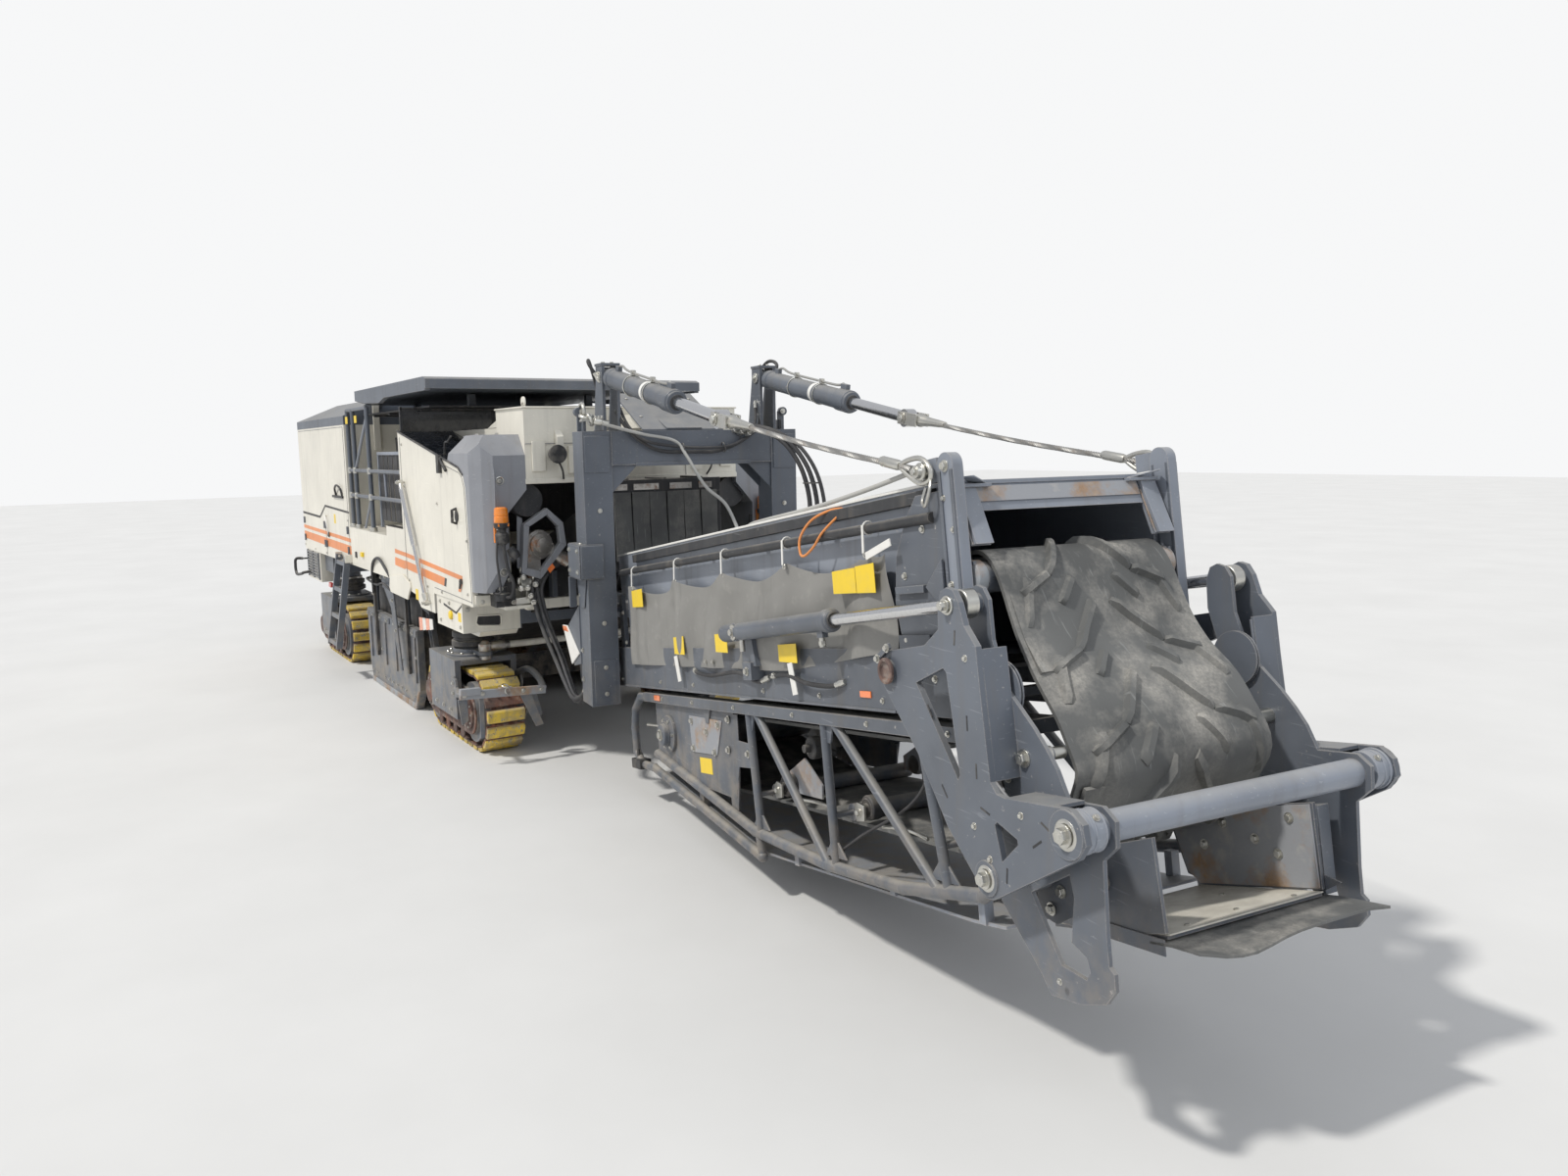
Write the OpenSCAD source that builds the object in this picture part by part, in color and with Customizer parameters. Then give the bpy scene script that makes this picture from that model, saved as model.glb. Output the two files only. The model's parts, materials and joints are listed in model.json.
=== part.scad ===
// Cold planer (road milling machine) with front discharge conveyor, parked with the conveyor folded.
// Millimetres. +X is forward, +Y is the machine's left, +Z is up, and Z = 0 is the ground under the tracks.
// Conveyor sections are drawn in their own side plane: s runs along the conveyor away from the machine,
// n runs up square to the belt, and both are 0 at the big hinge pin between the sections.

/* [Machine] */
// Half the width over the side panels
half_w = 1250; // [1150:10:1300]
// Rear end of the engine body, behind the milling drum's axis
rear_x = -3550; // [-3800:10:-3400]
// Front end of the engine body, where the platform starts
plat_x0 = -940; // [-1100:10:-850]
// Front end of the platform, where the front body starts
plat_x1 = 1200; // [1100:10:1350]
// Front face of the corner covers
front_x = 3300; // [3200:5:3320]
// Height of the side panels' lower edge
skirt_z = 1210; // [1190:5:1300]
// Height of the engine body's side walls
wall_z = 2640; // [2500:10:2700]
// Top of the hood
hood_z = 2905; // [2800:5:2950]
// Height of the platform's floor
floor_z = 1600; // [1500:10:1700]
// Thickness of the body's panels
panel_t = 40; // [20:5:50]
// Length of the hood's rear slope
hood_slope = 620; // [300:10:900]

/* [Front body] */
// Top of the front body at the platform
tank_z0 = 2530; // [2400:10:2600]
// Top of the front body's side panels at the front
tank_z1 = 2235; // [2150:5:2300]
// Where the side panels end and the corner covers start
cover_x = 2610; // [2500:10:2700]
// Width of each corner cover
cover_w = 370; // [340:10:380]
// Top of the corner covers
cover_z = 2470; // [2350:10:2500]

/* [Canopy] */
// Height of the roof's top
roof_z = 2950; // [2900:5:3050]
// Thickness of the roof at its edges
roof_t = 95; // [70:5:120]
// Rear edge of the roof
roof_x0 = -820; // [-900:10:-500]
// Front edge of the roof
roof_x1 = 2080; // [1900:10:2200]
// Half the width of the roof
roof_w = 1230; // [1150:10:1250]

/* [Milling drum] */
// Radius over the pick tips
drum_r = 490; // [460:5:495]
// Half the milling width
drum_w = 985; // [900:5:990]
// Height of the drum's axis
drum_z = 515; // [510:1:530]
// Radius of the drum's tube
tube_r = 390; // [350:5:400]
// Picks along each half helix
pick_n = 18; // [10:1:24]
// Length of the drum housing to each side of the axis
housing_x = 900; // [850:10:950]
// Top of the drum housing
housing_z = 1120; // [1080:5:1150]
// Height of the edge protection plates
plate_h = 760; // [700:10:800]
// How far the edge protection lifts
plate_lift = 250; // [200:10:300]

/* [Tracks] */
// Length of a track over its pads
track_l = 1640; // [1500:10:1700]
// Height of a track
track_h = 640; // [600:10:660]
// Width of the pads
track_w = 290; // [250:10:320]
// Thickness of a pad
pad_h = 45; // [30:1:50]
// Pads on one track
pad_n = 30; // [26:1:32]
// Thickness of the chain under the pads
chain_t = 38; // [25:1:45]
// Front track's centre
track_fx = 2080; // [2050:5:2100]
// Rear track's centre
track_rx = -2560; // [-2600:5:-2500]
// Track centre, out from the middle
track_y = 975; // [950:5:985]
// Top of the yokes
yoke_z = 715; // [705:5:740]
// Radius of the lifting columns
column_r = 125; // [100:5:140]
// Steering arm's length
arm_l = 300; // [250:10:320]

/* [Primary conveyor] */
// Rise of the primary conveyor
prim_rise = 19; // [17:0.5:20]
// Half the width of its frame
prim_w = 460; // [400:5:470]
// Height of its frame
prim_h = 560; // [450:10:600]

/* [Conveyor swing] */
// Swing axis of the discharge conveyor
swing_x = 3700; // [3690:1:3720]
// How far the conveyor is swung to the machine's right, as parked
swing_deg = 6; // [0:0.5:10]
// Outer half width of the gate
gate_w = 780; // [760:5:800]
// Width of a gate leg
leg_w = 195; // [150:5:200]
// Rear face of the gate, forward of the swing axis
gate_u = 455; // [440:5:470]
// Depth of the gate's legs
leg_d = 220; // [180:5:240]
// Foot of the gate
gate_z0 = 640; // [600:10:700]
// Top of the gate's beam
gate_z1 = 2470; // [2400:10:2500]
// Height of the gate's beam
beam_h = 225; // [180:5:250]

/* [Discharge conveyor] */
// Rise of the inner section, as parked
rise = 8.7; // [7:0.1:10]
// Big hinge pin between the sections, forward of the swing axis
pin_u = 4308; // [4250:2:4350]
// Height of the big hinge pin
pin_z = 1513; // [1490:1:1550]
// Half the width over the rails
rail_w = 550; // [540:5:560]
// Size of the rails
rail_a = 85; // [70:5:90]
// Bottom of the rails below the pins
rail_n = -195; // [-200:5:-185]
// Half the width of the hoods
hood_w = 500; // [450:5:510]
// Top of the hoods above the pins
hood_n = 675; // [600:5:700]
// Rear end of the inner section
tail_s = -4780; // [-4850:10:-4700]
// Start of the inner section's hood
hood_s = -3400; // [-3450:10:-3300]
// Front end of the inner section
nose_s = 180; // [150:5:200]
// Half the width of the belt
belt_w = 400; // [350:10:420]
// Thickness of the belt
belt_t = 16; // [10:1:20]
// Radius of the conveyor's drums
roll_r = 105; // [90:5:120]

/* [Hidden] */
$fn = 48;
slate = [0.30, 0.33, 0.36];
grey = [0.52, 0.55, 0.60];
cream = [0.87, 0.85, 0.79];
black = [0.09, 0.09, 0.10];
steel = [0.62, 0.63, 0.65];
yellow = [0.93, 0.74, 0.10];
orange = [0.87, 0.38, 0.12];
rubber = [0.20, 0.20, 0.20];
redbrown = [0.48, 0.22, 0.17];

run_gap = 6;        // free gap between pieces that move past each other
fit_gap = 0.3;      // gap between a piece and the seat that carries it
cos_r = cos(rise);
sin_r = sin(rise);

// Origin: the middle of the footprint
shift = [-2792.51, 104.305, 0];

// Luffing pin on the gate, and the pins on the inner section, in its own plane
luff_u = 545;
luff_z = 860;
luff_s = (luff_u - pin_u) * cos_r + (luff_z - pin_z) * sin_r;
luff_n = -(luff_u - pin_u) * sin_r + (luff_z - pin_z) * cos_r;
luff_pin_r = 40;

// Luffing cylinders: eye on the gate's horns, rod, and rope to the end posts
horn_u = 610;
horn_z = 2826;
horn_v = 570;
rope_rod_u = 2466;
rope_rod_z = 2497;
rope_s = 128;
rope_n = 729;

// Fold linkage in the side plane of the sections, at rest
lever_s = 416;
lever_n = 232;
turn_s = 509;
turn_n = -688;
boss_s = 936;
boss_n = -478;
link_v = 690;
link_t = 24;
fold_pin_r = 42;

// Fold cylinders
fold_s0 = -1532;
fold_n0 = 156;
fold_v = 640;
lever_v = 572;

// Block between two corners
module block(a, b) {
    translate(a)
        cube(b - a);
}

// Plate of the outline p in the XZ plane, between two Y values
module plate_y(p, y0, y1) {
    translate([0, y1, 0])
        rotate([90, 0, 0])
            linear_extrude(y1 - y0)
                polygon(p);
}

// Plate of the 2D children in the XZ plane, between two Y values
module slab_y(y0, y1) {
    translate([0, y1, 0])
        rotate([90, 0, 0])
            linear_extrude(y1 - y0)
                children();
}

// Round bar along Y at x, z
module bar_y(x, z, y0, y1, r) {
    translate([x, y1, z])
        rotate([90, 0, 0])
            cylinder(h = y1 - y0, r = r);
}

// Round bar between two points
module rod(a, b, r) {
    d = b - a;
    l = norm(d);
    translate(a)
        rotate([0, acos(d[2] / l), atan2(d[1], d[0])])
            cylinder(h = l, r = r);
}

// The same piece on both sides
module sides() {
    children();
    mirror([0, 1, 0])
        children();
}

// Strip of the width w between two points of the side plane, 2D
module strip(a, b, w) {
    d = b - a;
    translate(a)
        rotate(atan2(d[1], d[0]))
            translate([0, -w / 2])
                square([norm(d), w]);
}

// Moves pieces drawn about the milling drum's axis to the middle of the footprint
module machine() {
    translate(shift)
        children();
}

// Frame of the discharge conveyor: u forward from the swing axis, v to its left
module swung() {
    machine()
        translate([swing_x, 0, 0])
            rotate([0, 0, -swing_deg])
                children();
}

// Side plane of the conveyor's sections
module section() {
    swung()
        translate([pin_u, 0, pin_z])
            rotate([0, -rise, 0])
                children();
}

// Height of the primary conveyor's underside at x
function prim_z(x) = 1290 + (x - 3100) * tan(prim_rise);

// Chassis

lower_z0 = 1080;     // lower swing bracket
lower_z1 = 1250;
upper_z0 = 2500;     // upper swing bracket
upper_z1 = 2600;
swing_pin_r = 45;
swing_fit = 0.05;
box_x0 = 2096;       // cream boxes over the front tracks
box_x1 = 2775;
box_z0 = 977;
box_z1 = 1215;
tube_z1 = 1290;      // tops of the front columns' housings
beam_x = 2640;       // front cross beam
frame_y0 = 700;      // longitudinals
frame_y1 = 780;
frame_z1 = skirt_z + 240;

// Bore for a swing pin
module swing_bore(z0, z1) {
    translate([swing_x, 0, z0 - 1])
        cylinder(h = z1 - z0 + 2, r = swing_pin_r + swing_fit);
}

// Longitudinals, cross beams, column housings, the swing bracket below and the lashing eyes
module chassis_frame() {
    color(slate) machine() {
        difference() {
            union() {
                sides() {
                    block([rear_x + 60, frame_y0, skirt_z], [plat_x1 + 60, frame_y1, frame_z1]);
                    block([plat_x1 + 59, frame_y0, 1010], [box_x1, frame_y1, tube_z1]);
                    block([rear_x + 850, frame_y1 - 1, 1000], [rear_x + 1300, 1190, skirt_z + 40]);
                    translate([column_x[1], track_y, 1000])
                        cylinder(h = tube_z1 - 1000, r = column_r + 40);
                    block([column_x[1] - 100, frame_y1 - 1, 1000], [column_x[1] + 100, track_y, tube_z1]);
                    block([beam_x + 20, prim_w + fit_gap, 1050], [beam_x + 100, prim_w + 40, 1400]);
                }
                for (x = [rear_x + 60, -3100, -1500])
                    block([x, -frame_y0 - 1, skirt_z], [x + 120, frame_y0 + 1, frame_z1]);
                block([beam_x, -frame_y0 - 1, 1010], [box_x1, frame_y0 + 1, 1090]);
                plate_y([[beam_x, 1010], [3500, lower_z0], [swing_x, lower_z0], [swing_x, lower_z1],
                    [3120, lower_z1], [2800, 1140], [beam_x, 1090]], -160, 160);
                translate([swing_x, 0, lower_z0])
                    cylinder(h = lower_z1 - lower_z0, r = 160);
                sides() {
                    lash_eye(2710, 1012);
                    lash_eye(rear_x + 120, skirt_z + 2);
                }
            }
            swing_bore(lower_z0, lower_z1);
            column_bores();
        }
    }
    color(cream) machine()
        difference() {
            sides()
                block([box_x0, frame_y1, box_z0], [box_x1, half_w - 10, box_z1]);
            column_bores();
        }
}

steer_dx = 60;       // the column stands this far ahead of the track's middle
column_x = [track_rx + steer_dx, track_fx + steer_dx];
column_fit = 0.1;
lash_r = 35;
lash_t = 30;
lash_y = 560;

// Lashing eye hanging from the frame, with its plate's top at z
module lash_eye(x, z) {
    slab_y(lash_y - lash_t / 2, lash_y + lash_t / 2)
        difference() {
            union() {
                translate([x - 70, z - 75])
                    square([140, 75]);
                translate([x, z - 75])
                    circle(70);
            }
            translate([x, z - 75])
                circle(lash_r);
        }
}

// Bores the lifting columns turn in
module column_bores() {
    sides() {
        translate([column_x[0], track_y, 900])
            cylinder(h = skirt_z + 20 - 900, r = column_r + column_fit);
        translate([column_x[1], track_y, 900])
            cylinder(h = tube_z1 - 20 - 900, r = column_r + column_fit);
    }
}

// Engine, pump drive and tanks as one plain block
module engine_block() {
    color(black) machine()
        block([-3150, -480, frame_z1 + fit_gap], [-1400, 480, 2350]);
}

box_low = 860;       // cabinet under the right side, behind the rear track's column
box_l = 830;

// Walls of the engine body, open below and above, with the ladder's lugs and the cabinet
module engine_body() {
    color(cream) machine() {
        difference() {
            block([rear_x, -half_w, skirt_z], [plat_x0, half_w, wall_z]);
            block([rear_x + panel_t, -half_w + panel_t, skirt_z - 1],
                [plat_x0 - panel_t, half_w - panel_t, wall_z + 1]);
            block([rear_x - 1, -900, skirt_z + 200], [rear_x + panel_t + 1, 900, wall_z - 150]);
            sides()
                block([plat_x0 - panel_t - 1, frame_y0 - fit_gap, skirt_z - 1],
                    [plat_x0 + 1, frame_y1 + fit_gap, frame_z1 + fit_gap]);
        }
        for (x = [ladder_x0 - lug_t - 6, ladder_x1 + 6])
            translate([x, 0, 0])
                block([0, ladder_y - 30, ladder_z1 - 60], [lug_t, -half_w + 1, ladder_z1 + 20]);
        rod([ladder_x0 - 7, ladder_y, ladder_z1 - 20], [ladder_x0 + 41, ladder_y, ladder_z1 - 20],
            ladder_pin_r);
        rod([ladder_x1 - 41, ladder_y, ladder_z1 - 20], [ladder_x1 + 7, ladder_y, ladder_z1 - 20],
            ladder_pin_r);
        sides()
            hood_hinge_post();
        rear_grille();
        block([rear_x + 30, -half_w + 10, box_low], [rear_x + box_l, -900, skirt_z + 1]);
    }
}

hinge_x = plat_x0 + 25;
hinge_z = hood_z - 60;
hinge_r = 14;
hinge_y = 900;

// Post on the bulkhead with the hood's hinge pin
module hood_hinge_post() {
    difference() {
        block([plat_x0 - 1, hinge_y, wall_z - 260], [hinge_x + 20, hinge_y + 60, hinge_z + 12]);
        block([plat_x0 - 2, hinge_y - 1, wall_z], [hinge_x - 12, hinge_y + 61, hinge_z + 13]);
    }
    bar_y(hinge_x, hinge_z, hinge_y - 45, hinge_y + 1, hinge_r);
}

// Slats in the rear wall's opening
module rear_grille() {
    for (z = [skirt_z + 230 : 110 : wall_z - 220])
        block([rear_x + 5, -901, z], [rear_x + panel_t - 5, 901, z + 55]);
}

nose_x = 2700;       // raised middle of the front body
nose_z = 2660;

// Side panels, tank top, raised middle and the upper swing bracket
module front_body() {
    color(cream) machine() {
        sides() {
            plate_y([[plat_x1, 1180], [1500, 1150], [1650, 1055], [box_x0 - 30, 1055],
                [box_x0 - 30, box_z1 + 3],
                [cover_x - 2, box_z1 + 3], [cover_x - 2, tank_z1 + 50], [plat_x1, tank_z0]],
                    half_w - panel_t, half_w);
            plate_y([[plat_x1, tube_z1 + fit_gap], [cover_x - 2, tube_z1 + fit_gap],
                [cover_x - 2, tank_z1 + 50],
                [plat_x1, tank_z0]], frame_y1 + 5, half_w - panel_t + 1);
            plate_y(panel_tip(0), half_w - panel_t, half_w);
        }
        difference() {
            union() {
                block([plat_x1, -frame_y1 - 6, 2160], [front_x, frame_y1 + 6, tank_z0]);
                block([nose_x, -half_w + cover_w + fit_gap, 2110],
                    [front_x, half_w - cover_w - fit_gap, nose_z]);
                block([front_x - 1, -160, upper_z0], [swing_x, 160, upper_z1]);
                translate([swing_x, 0, upper_z0])
                    cylinder(h = upper_z1 - upper_z0, r = 160);
            }
            swing_bore(upper_z0, upper_z1);
        }
    }
}

cover_z0 = 1330;

cover_y = half_w - cover_w;

// Moulded cover: its side view, plan and front view cut one another
module corner_cover() {
    intersection() {
        plate_y([[cover_x, cover_z0], [front_x - 60, cover_z0], [front_x, cover_z0 + 160],
            [front_x, cover_z - 150],
            [front_x - 120, cover_z], [cover_x + 160, cover_z], [cover_x, tank_z1 + 20]], cover_y, half_w);
        linear_extrude(cover_z + 1)
            polygon([[cover_x, cover_y], [front_x, cover_y], [front_x, half_w - 130],
                [front_x - 50, half_w - 60],
                [front_x - 160, half_w], [cover_x, half_w]]);
        rotate([90, 0, 90])
            linear_extrude(front_x + 1)
                polygon([[cover_y, cover_z], [cover_y, 2070], [half_w - 220, 1900],
                    [half_w - 220, cover_z0 + 160],
                    [half_w - 160, cover_z0], [half_w, cover_z0], [half_w, cover_z - 130],
                        [half_w - 110, cover_z]]);
    }
}

// Front end of the side panels, drawn out by t, that laps into the corner covers
function panel_tip(t) = [[cover_x - 3, box_z1 + 3 - t], [3092 + t, box_z1 + 3 - t], [3045 + t, 2090],
    [3000 + t, 2180 + t], [2910 + t, tank_z1 - 5 + t], [cover_x - 3, tank_z1 + 50 + t]];

// Covers at both front corners, with their bolt recesses
module corner_covers() {
    color(grey) machine()
        sides()
            difference() {
                corner_cover();
                plate_y(panel_tip(fit_gap), half_w - panel_t - fit_gap, half_w + 1);
                for (z = [cover_z0 + 150, 2140])
                    translate([front_x - 12, half_w - 175, z])
                        rotate([0, 90, 0])
                            cylinder(h = 20, r = 26);
            }
}

step_x = 600;        // rear edge of the boxes beside the front body

// Floor, side skirts, the canopy's posts and the boxes one steps over
module platform_deck() {
    color(slate) machine() {
        block([plat_x0 + fit_gap, -half_w, floor_z - 60], [plat_x1 - fit_gap, half_w, floor_z]);
        sides()
            block([plat_x0 + fit_gap, half_w - 60, skirt_z], [plat_x1 - fit_gap, half_w, floor_z - 59]);
        block([-200, -600, frame_z1 + fit_gap], [600, 600, floor_z - 59]);
        for (x = leg_x)
            sides()
                canopy_leg(x);
    }
    color(cream) machine()
        sides()
            block([step_x, half_w - 380, floor_z - 1], [plat_x1 - fit_gap, half_w, floor_z + 90]);
}

rail_r = 21;

// Rails along both sides of the platform
post_x = [plat_x0 + 60, -640, -30];
rail_top = 2780;

module guard_rails() {
    color(slate) machine()
        sides() {
            for (x = post_x)
                rod([x, half_w - 30, floor_z], [x, half_w - 30, rail_top], rail_r);
            rod([post_x[0], half_w - 30, rail_top], [post_x[2], half_w - 30, rail_top], rail_r * 0.9);
            for (z = [1930, 2180])
                rod([post_x[0], half_w - 30, z], [plat_x1 - fit_gap, half_w - 30, z], rail_r * 0.9);
        }
}

// Console across the platform and a seat at each side
module operator_station() {
    color(slate) machine() {
        plate_y([[700, floor_z], [1000, floor_z], [1000, 2360], [850, 2500], [740, 2440], [700, 2300]],
            -700, 700);
        sides()
            plate_y([[-420, floor_z], [0, floor_z], [60, 2040], [20, 2090], [-330, 2060], [-420, 2500],
                [-510, 2500], [-450, 2000]], 350, 850);
    }
}

leg_x = [-700, 1100];
leg_y = 560;
leg_a = 90;
leg_in = 60;

// Post of the canopy, with the bore of its sliding leg
module canopy_leg(x) {
    difference() {
        block([x - leg_a / 2, leg_y - leg_a / 2, floor_z - 1], [x + leg_a / 2, leg_y + leg_a / 2, 2750]);
        block([x - leg_in / 2 - fit_gap, leg_y - leg_in / 2 - fit_gap, floor_z + 20],
            [x + leg_in / 2 + fit_gap, leg_y + leg_in / 2 + fit_gap, 2751]);
    }
}

tail_x = -440;        // where the roof starts to narrow
tail_w = 1000;

// Roof with its side skirts, on legs that slide in the posts
module canopy_roof() {
    color(slate) machine() {
        intersection() {
            plate_y([[roof_x0, roof_z - 120], [tail_x, roof_z - roof_t], [roof_x1, roof_z - roof_t],
                [roof_x1, roof_z - 20], [roof_x1 - 60, roof_z], [tail_x, roof_z], [roof_x0, roof_z - 70]],
                -roof_w, roof_w);
            linear_extrude(roof_z + 1)
                polygon([[roof_x0, -tail_w], [tail_x, -roof_w], [roof_x1, -roof_w], [roof_x1, roof_w],
                    [tail_x, roof_w], [roof_x0, tail_w]]);
        }
        sides()
            plate_y([[tail_x + 20, roof_z - roof_t + 1], [-60, roof_z - 130], [500, roof_z - 150],
                [720, roof_z - 110], [roof_x1 - 20, roof_z - 110], [roof_x1 - 20, roof_z - roof_t + 1]],
                roof_w - 40, roof_w);
        for (x = leg_x)
            sides()
                block([x - leg_in / 2, leg_y - leg_in / 2, floor_z + 30],
                    [x + leg_in / 2, leg_y + leg_in / 2, roof_z - roof_t + 1]);
    }
}

// Outer form of the hood, drawn in by t
module hood_form(t) {
    intersection() {
        plate_y([[rear_x + t, wall_z + fit_gap - t], [plat_x0 - t, wall_z + fit_gap - t],
            [plat_x0 - t, hood_z - t],
            [rear_x + hood_slope, hood_z - t], [rear_x + t, wall_z + 90 - t]], -half_w, half_w);
        rotate([90, 0, 90])
            translate([0, 0, rear_x - 1])
                linear_extrude(plat_x0 - rear_x + 2)
                    polygon([[-half_w + t, wall_z - 50], [half_w - t, wall_z - 50],
                        [half_w - t, wall_z + 90 - t],
                        [half_w - 350, hood_z - t], [-half_w + 350, hood_z - t],
                            [-half_w + t, wall_z + 90 - t]]);
    }
}

// Hollow hood with the knuckles of its hinge
module engine_hood() {
    color(slate) machine() {
        difference() {
            hood_form(0);
            hood_form(panel_t);
        }
        sides()
            difference() {
                union() {
                    bar_y(hinge_x, hinge_z, hinge_y - 46, hinge_y - 6, 24);
                    block([plat_x0 - 1, hinge_y - 46, hinge_z - 24], [hinge_x, hinge_y - 6, hinge_z + 24]);
                }
                bar_y(hinge_x, hinge_z, hinge_y - 47, hinge_y - 5, hinge_r + pin_fit);
            }
    }
}

// Milling drum and its housing

// Drum tube with its tools in two helices
module milling_drum() {
    color(redbrown) machine()
        translate([0, 0, drum_z]) {
            difference() {
                bar_y(0, 0, -drum_w, drum_w, tube_r);
                bar_y(0, 0, -drum_w - 1, drum_w + 1, 46);
            }
            for (i = [0 : pick_n - 1], k = [0 : 2], sd = [-1, 1])
                translate([0, sd * (40 + i * (drum_w - 80) / (pick_n - 1)), 0])
                    rotate([0, i * 34 + k * 120 + 20 * sd, 0])
                        translate([tube_r - 10, -25, -28])
                            cube([drum_r - tube_r + 10, 50, 56]);
        }
}

// Housing open below, with the drum's axle, the scraper door's knuckles and the lift cylinders
module drum_housing() {
    color(black) machine() {
        difference() {
            plate_y([[-housing_x, 180], [-housing_x, housing_z], [housing_x, housing_z], [housing_x, 180]],
                -drum_w - 65, drum_w + 65);
            plate_y([[-housing_x + 40, 0], [-housing_x + 40, housing_z - 40],
                [housing_x - 40, housing_z - 40],
                [housing_x - 40, 0]], -drum_w - 25, drum_w + 25);
            block([housing_x - 41, -430, 420], [housing_x + 1, 430, 1000]);
            block([-housing_x - 1, -drum_w - 24, 0], [-housing_x + 41, drum_w + 24, housing_z - 60]);
        }
        bar_y(0, drum_z, -drum_w - 25.5, drum_w + 25.5, 45.95);
        sides()
            difference() {
                union() {
                    bar_y(door_x, door_z, drum_w + 16, drum_w + 40, 45);
                    block([door_x, drum_w + 16, door_z - 45], [-housing_x + 20, drum_w + 40, door_z + 45]);
                }
                bar_y(door_x, door_z, drum_w, drum_w + 41, 22 + pin_fit);
            }
        sides()
            block([-500, 300, housing_z - 1], [500, frame_y0, frame_z1]);
        plate_cylinders();
    }
}

plate_y0 = 1070;
plate_t = 60;

// Skid plate beside the drum, with the rods of its cylinders
module edge_plate() {
    plate_y([[-housing_x + 60, 2], [housing_x - 60, 2], [housing_x + 80, 200], [housing_x + 80, plate_h],
        [-housing_x - 40, plate_h], [-housing_x - 40, 200]], plate_y0, plate_y0 + plate_t);
    for (x = plate_rod_x)
        translate([x, plate_rod_y, plate_h - 1])
            cylinder(h = plate_lift + 160, r = 20);
}

module edge_plate_right() {
    color(slate) machine()
        mirror([0, 1, 0])
            edge_plate();
}

module edge_plate_left() {
    color(slate) machine()
        edge_plate();
}

plate_rod_x = [-600, 600];
plate_rod_y = plate_y0 + plate_t / 2;

guide_dx = 110;
guide_y = plate_y0 + plate_t + run_gap;

// Barrels of the edge protection's cylinders and its guides, on brackets of the drum housing
module plate_cylinders() {
    sides()
        for (x = plate_rod_x) {
            difference() {
                union() {
                    translate([x, plate_rod_y, plate_h + plate_lift + 20])
                        cylinder(h = 480, r = 38);
                    block([x - 60, drum_w + 64, housing_z - 100], [x + 60, plate_rod_y, housing_z - 10]);
                }
                translate([x, plate_rod_y, plate_h + plate_lift + 5])
                    cylinder(h = 454, r = 20 + pin_fit);
            }
            translate([x + guide_dx, 0, 0]) {
                block([-30, drum_w + 64, plate_h + plate_lift + 20],
                    [30, guide_y + 24, plate_h + plate_lift + 90]);
                block([-30, guide_y, 320], [30, guide_y + 24, plate_h + plate_lift + 400]);
                bar_y(0, plate_h + plate_lift + 400, guide_y, guide_y + 24, 30);
            }
        }
}

door_x = -housing_x - 30;
door_z = housing_z - 110;
door_t = 28;

// Door behind the drum, on its hinge bar
module scraper_door() {
    color(slate) machine() {
        block([door_x - door_t / 2, -drum_w - 10, 60], [door_x + door_t / 2, drum_w + 10, door_z]);
        bar_y(door_x, door_z, -drum_w - 40, drum_w + 40, 22);
    }
}

// Primary conveyor

prim_x0 = housing_x + fit_gap;
prim_t = 40;         // wall of its frame
bend_x = 3400;       // where the belt starts to curve over the head
hood_x0 = 3330;      // the head's hood
hood_x1 = 3780;
hood_top = 2125;
mouth_x = 3560;      // rear edge of the mouth under the head
motor_r = 80;

// Frame from the drum housing up to the hooded head, and the motor at its right side
module primary_conveyor() {
    color(slate) machine() {
        difference() {
            plate_y([[prim_x0, prim_z(prim_x0)], [3500, prim_z(3500)], [hood_x1, prim_z(3500) + 40],
                [hood_x1, hood_top], [hood_x0 + 120, hood_top], [hood_x0, prim_z(hood_x0) + prim_h],
                [prim_x0, prim_z(prim_x0) + prim_h]], -prim_w, prim_w);
            plate_y([[prim_x0 - 4, prim_z(prim_x0 - 4) + prim_t], [3500, prim_z(3500) + prim_t],
                [mouth_x, prim_z(3500) - 30], [hood_x1 - prim_t, prim_z(3500) - 30],
                [hood_x1 - prim_t, hood_top - prim_t], [hood_x0 + 140, hood_top - prim_t],
                [hood_x0 + 20, prim_z(hood_x0 + 20) + prim_h - prim_t - 10],
                [prim_x0 - 4, prim_z(prim_x0 - 4) + prim_h - prim_t - 10]],
                -prim_w + prim_t, prim_w - prim_t);
        }
        bar_y(3550, prim_z(bend_x) + 160, -prim_w - 90, -prim_w + 1, motor_r);
    }
}

// Belt inside the frame, as one solid
module primary_belt() {
    color(rubber) machine()
        plate_y([[prim_x0 + 20, prim_z(prim_x0 + 20) + prim_t + fit_gap],
            [bend_x, prim_z(bend_x) + prim_t + fit_gap], [3530, prim_z(bend_x) + 110],
            [3560, prim_z(bend_x) + 190], [3480, prim_z(bend_x) + 260],
                [prim_x0 + 20, prim_z(prim_x0 + 20) + 240]],
            -prim_w + prim_t + 20, prim_w - prim_t - 20);
}

// Tracks

loop_r = track_h / 2 - pad_h;
loop_c = track_l / 2 - track_h / 2;
loop_p = 4 * loop_c + 2 * PI * loop_r;

// Point of the track's loop at the length t along it, h out from the chain's face
function loop_at(t, h) =
    t < 2 * loop_c ? [t - loop_c, loop_r + h] :
    t < 2 * loop_c + PI * loop_r ? let (a = 90 - (t - 2 * loop_c) / loop_r * 180 / PI)
        [loop_c + (loop_r + h) * cos(a), (loop_r + h) * sin(a)] :
    t < 4 * loop_c + PI * loop_r ? [loop_c - (t - 2 * loop_c - PI * loop_r), -loop_r - h] :
    let (a = -90 - (t - 4 * loop_c - PI * loop_r) / loop_r * 180 / PI)
        [-loop_c + (loop_r + h) * cos(a), (loop_r + h) * sin(a)];

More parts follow.
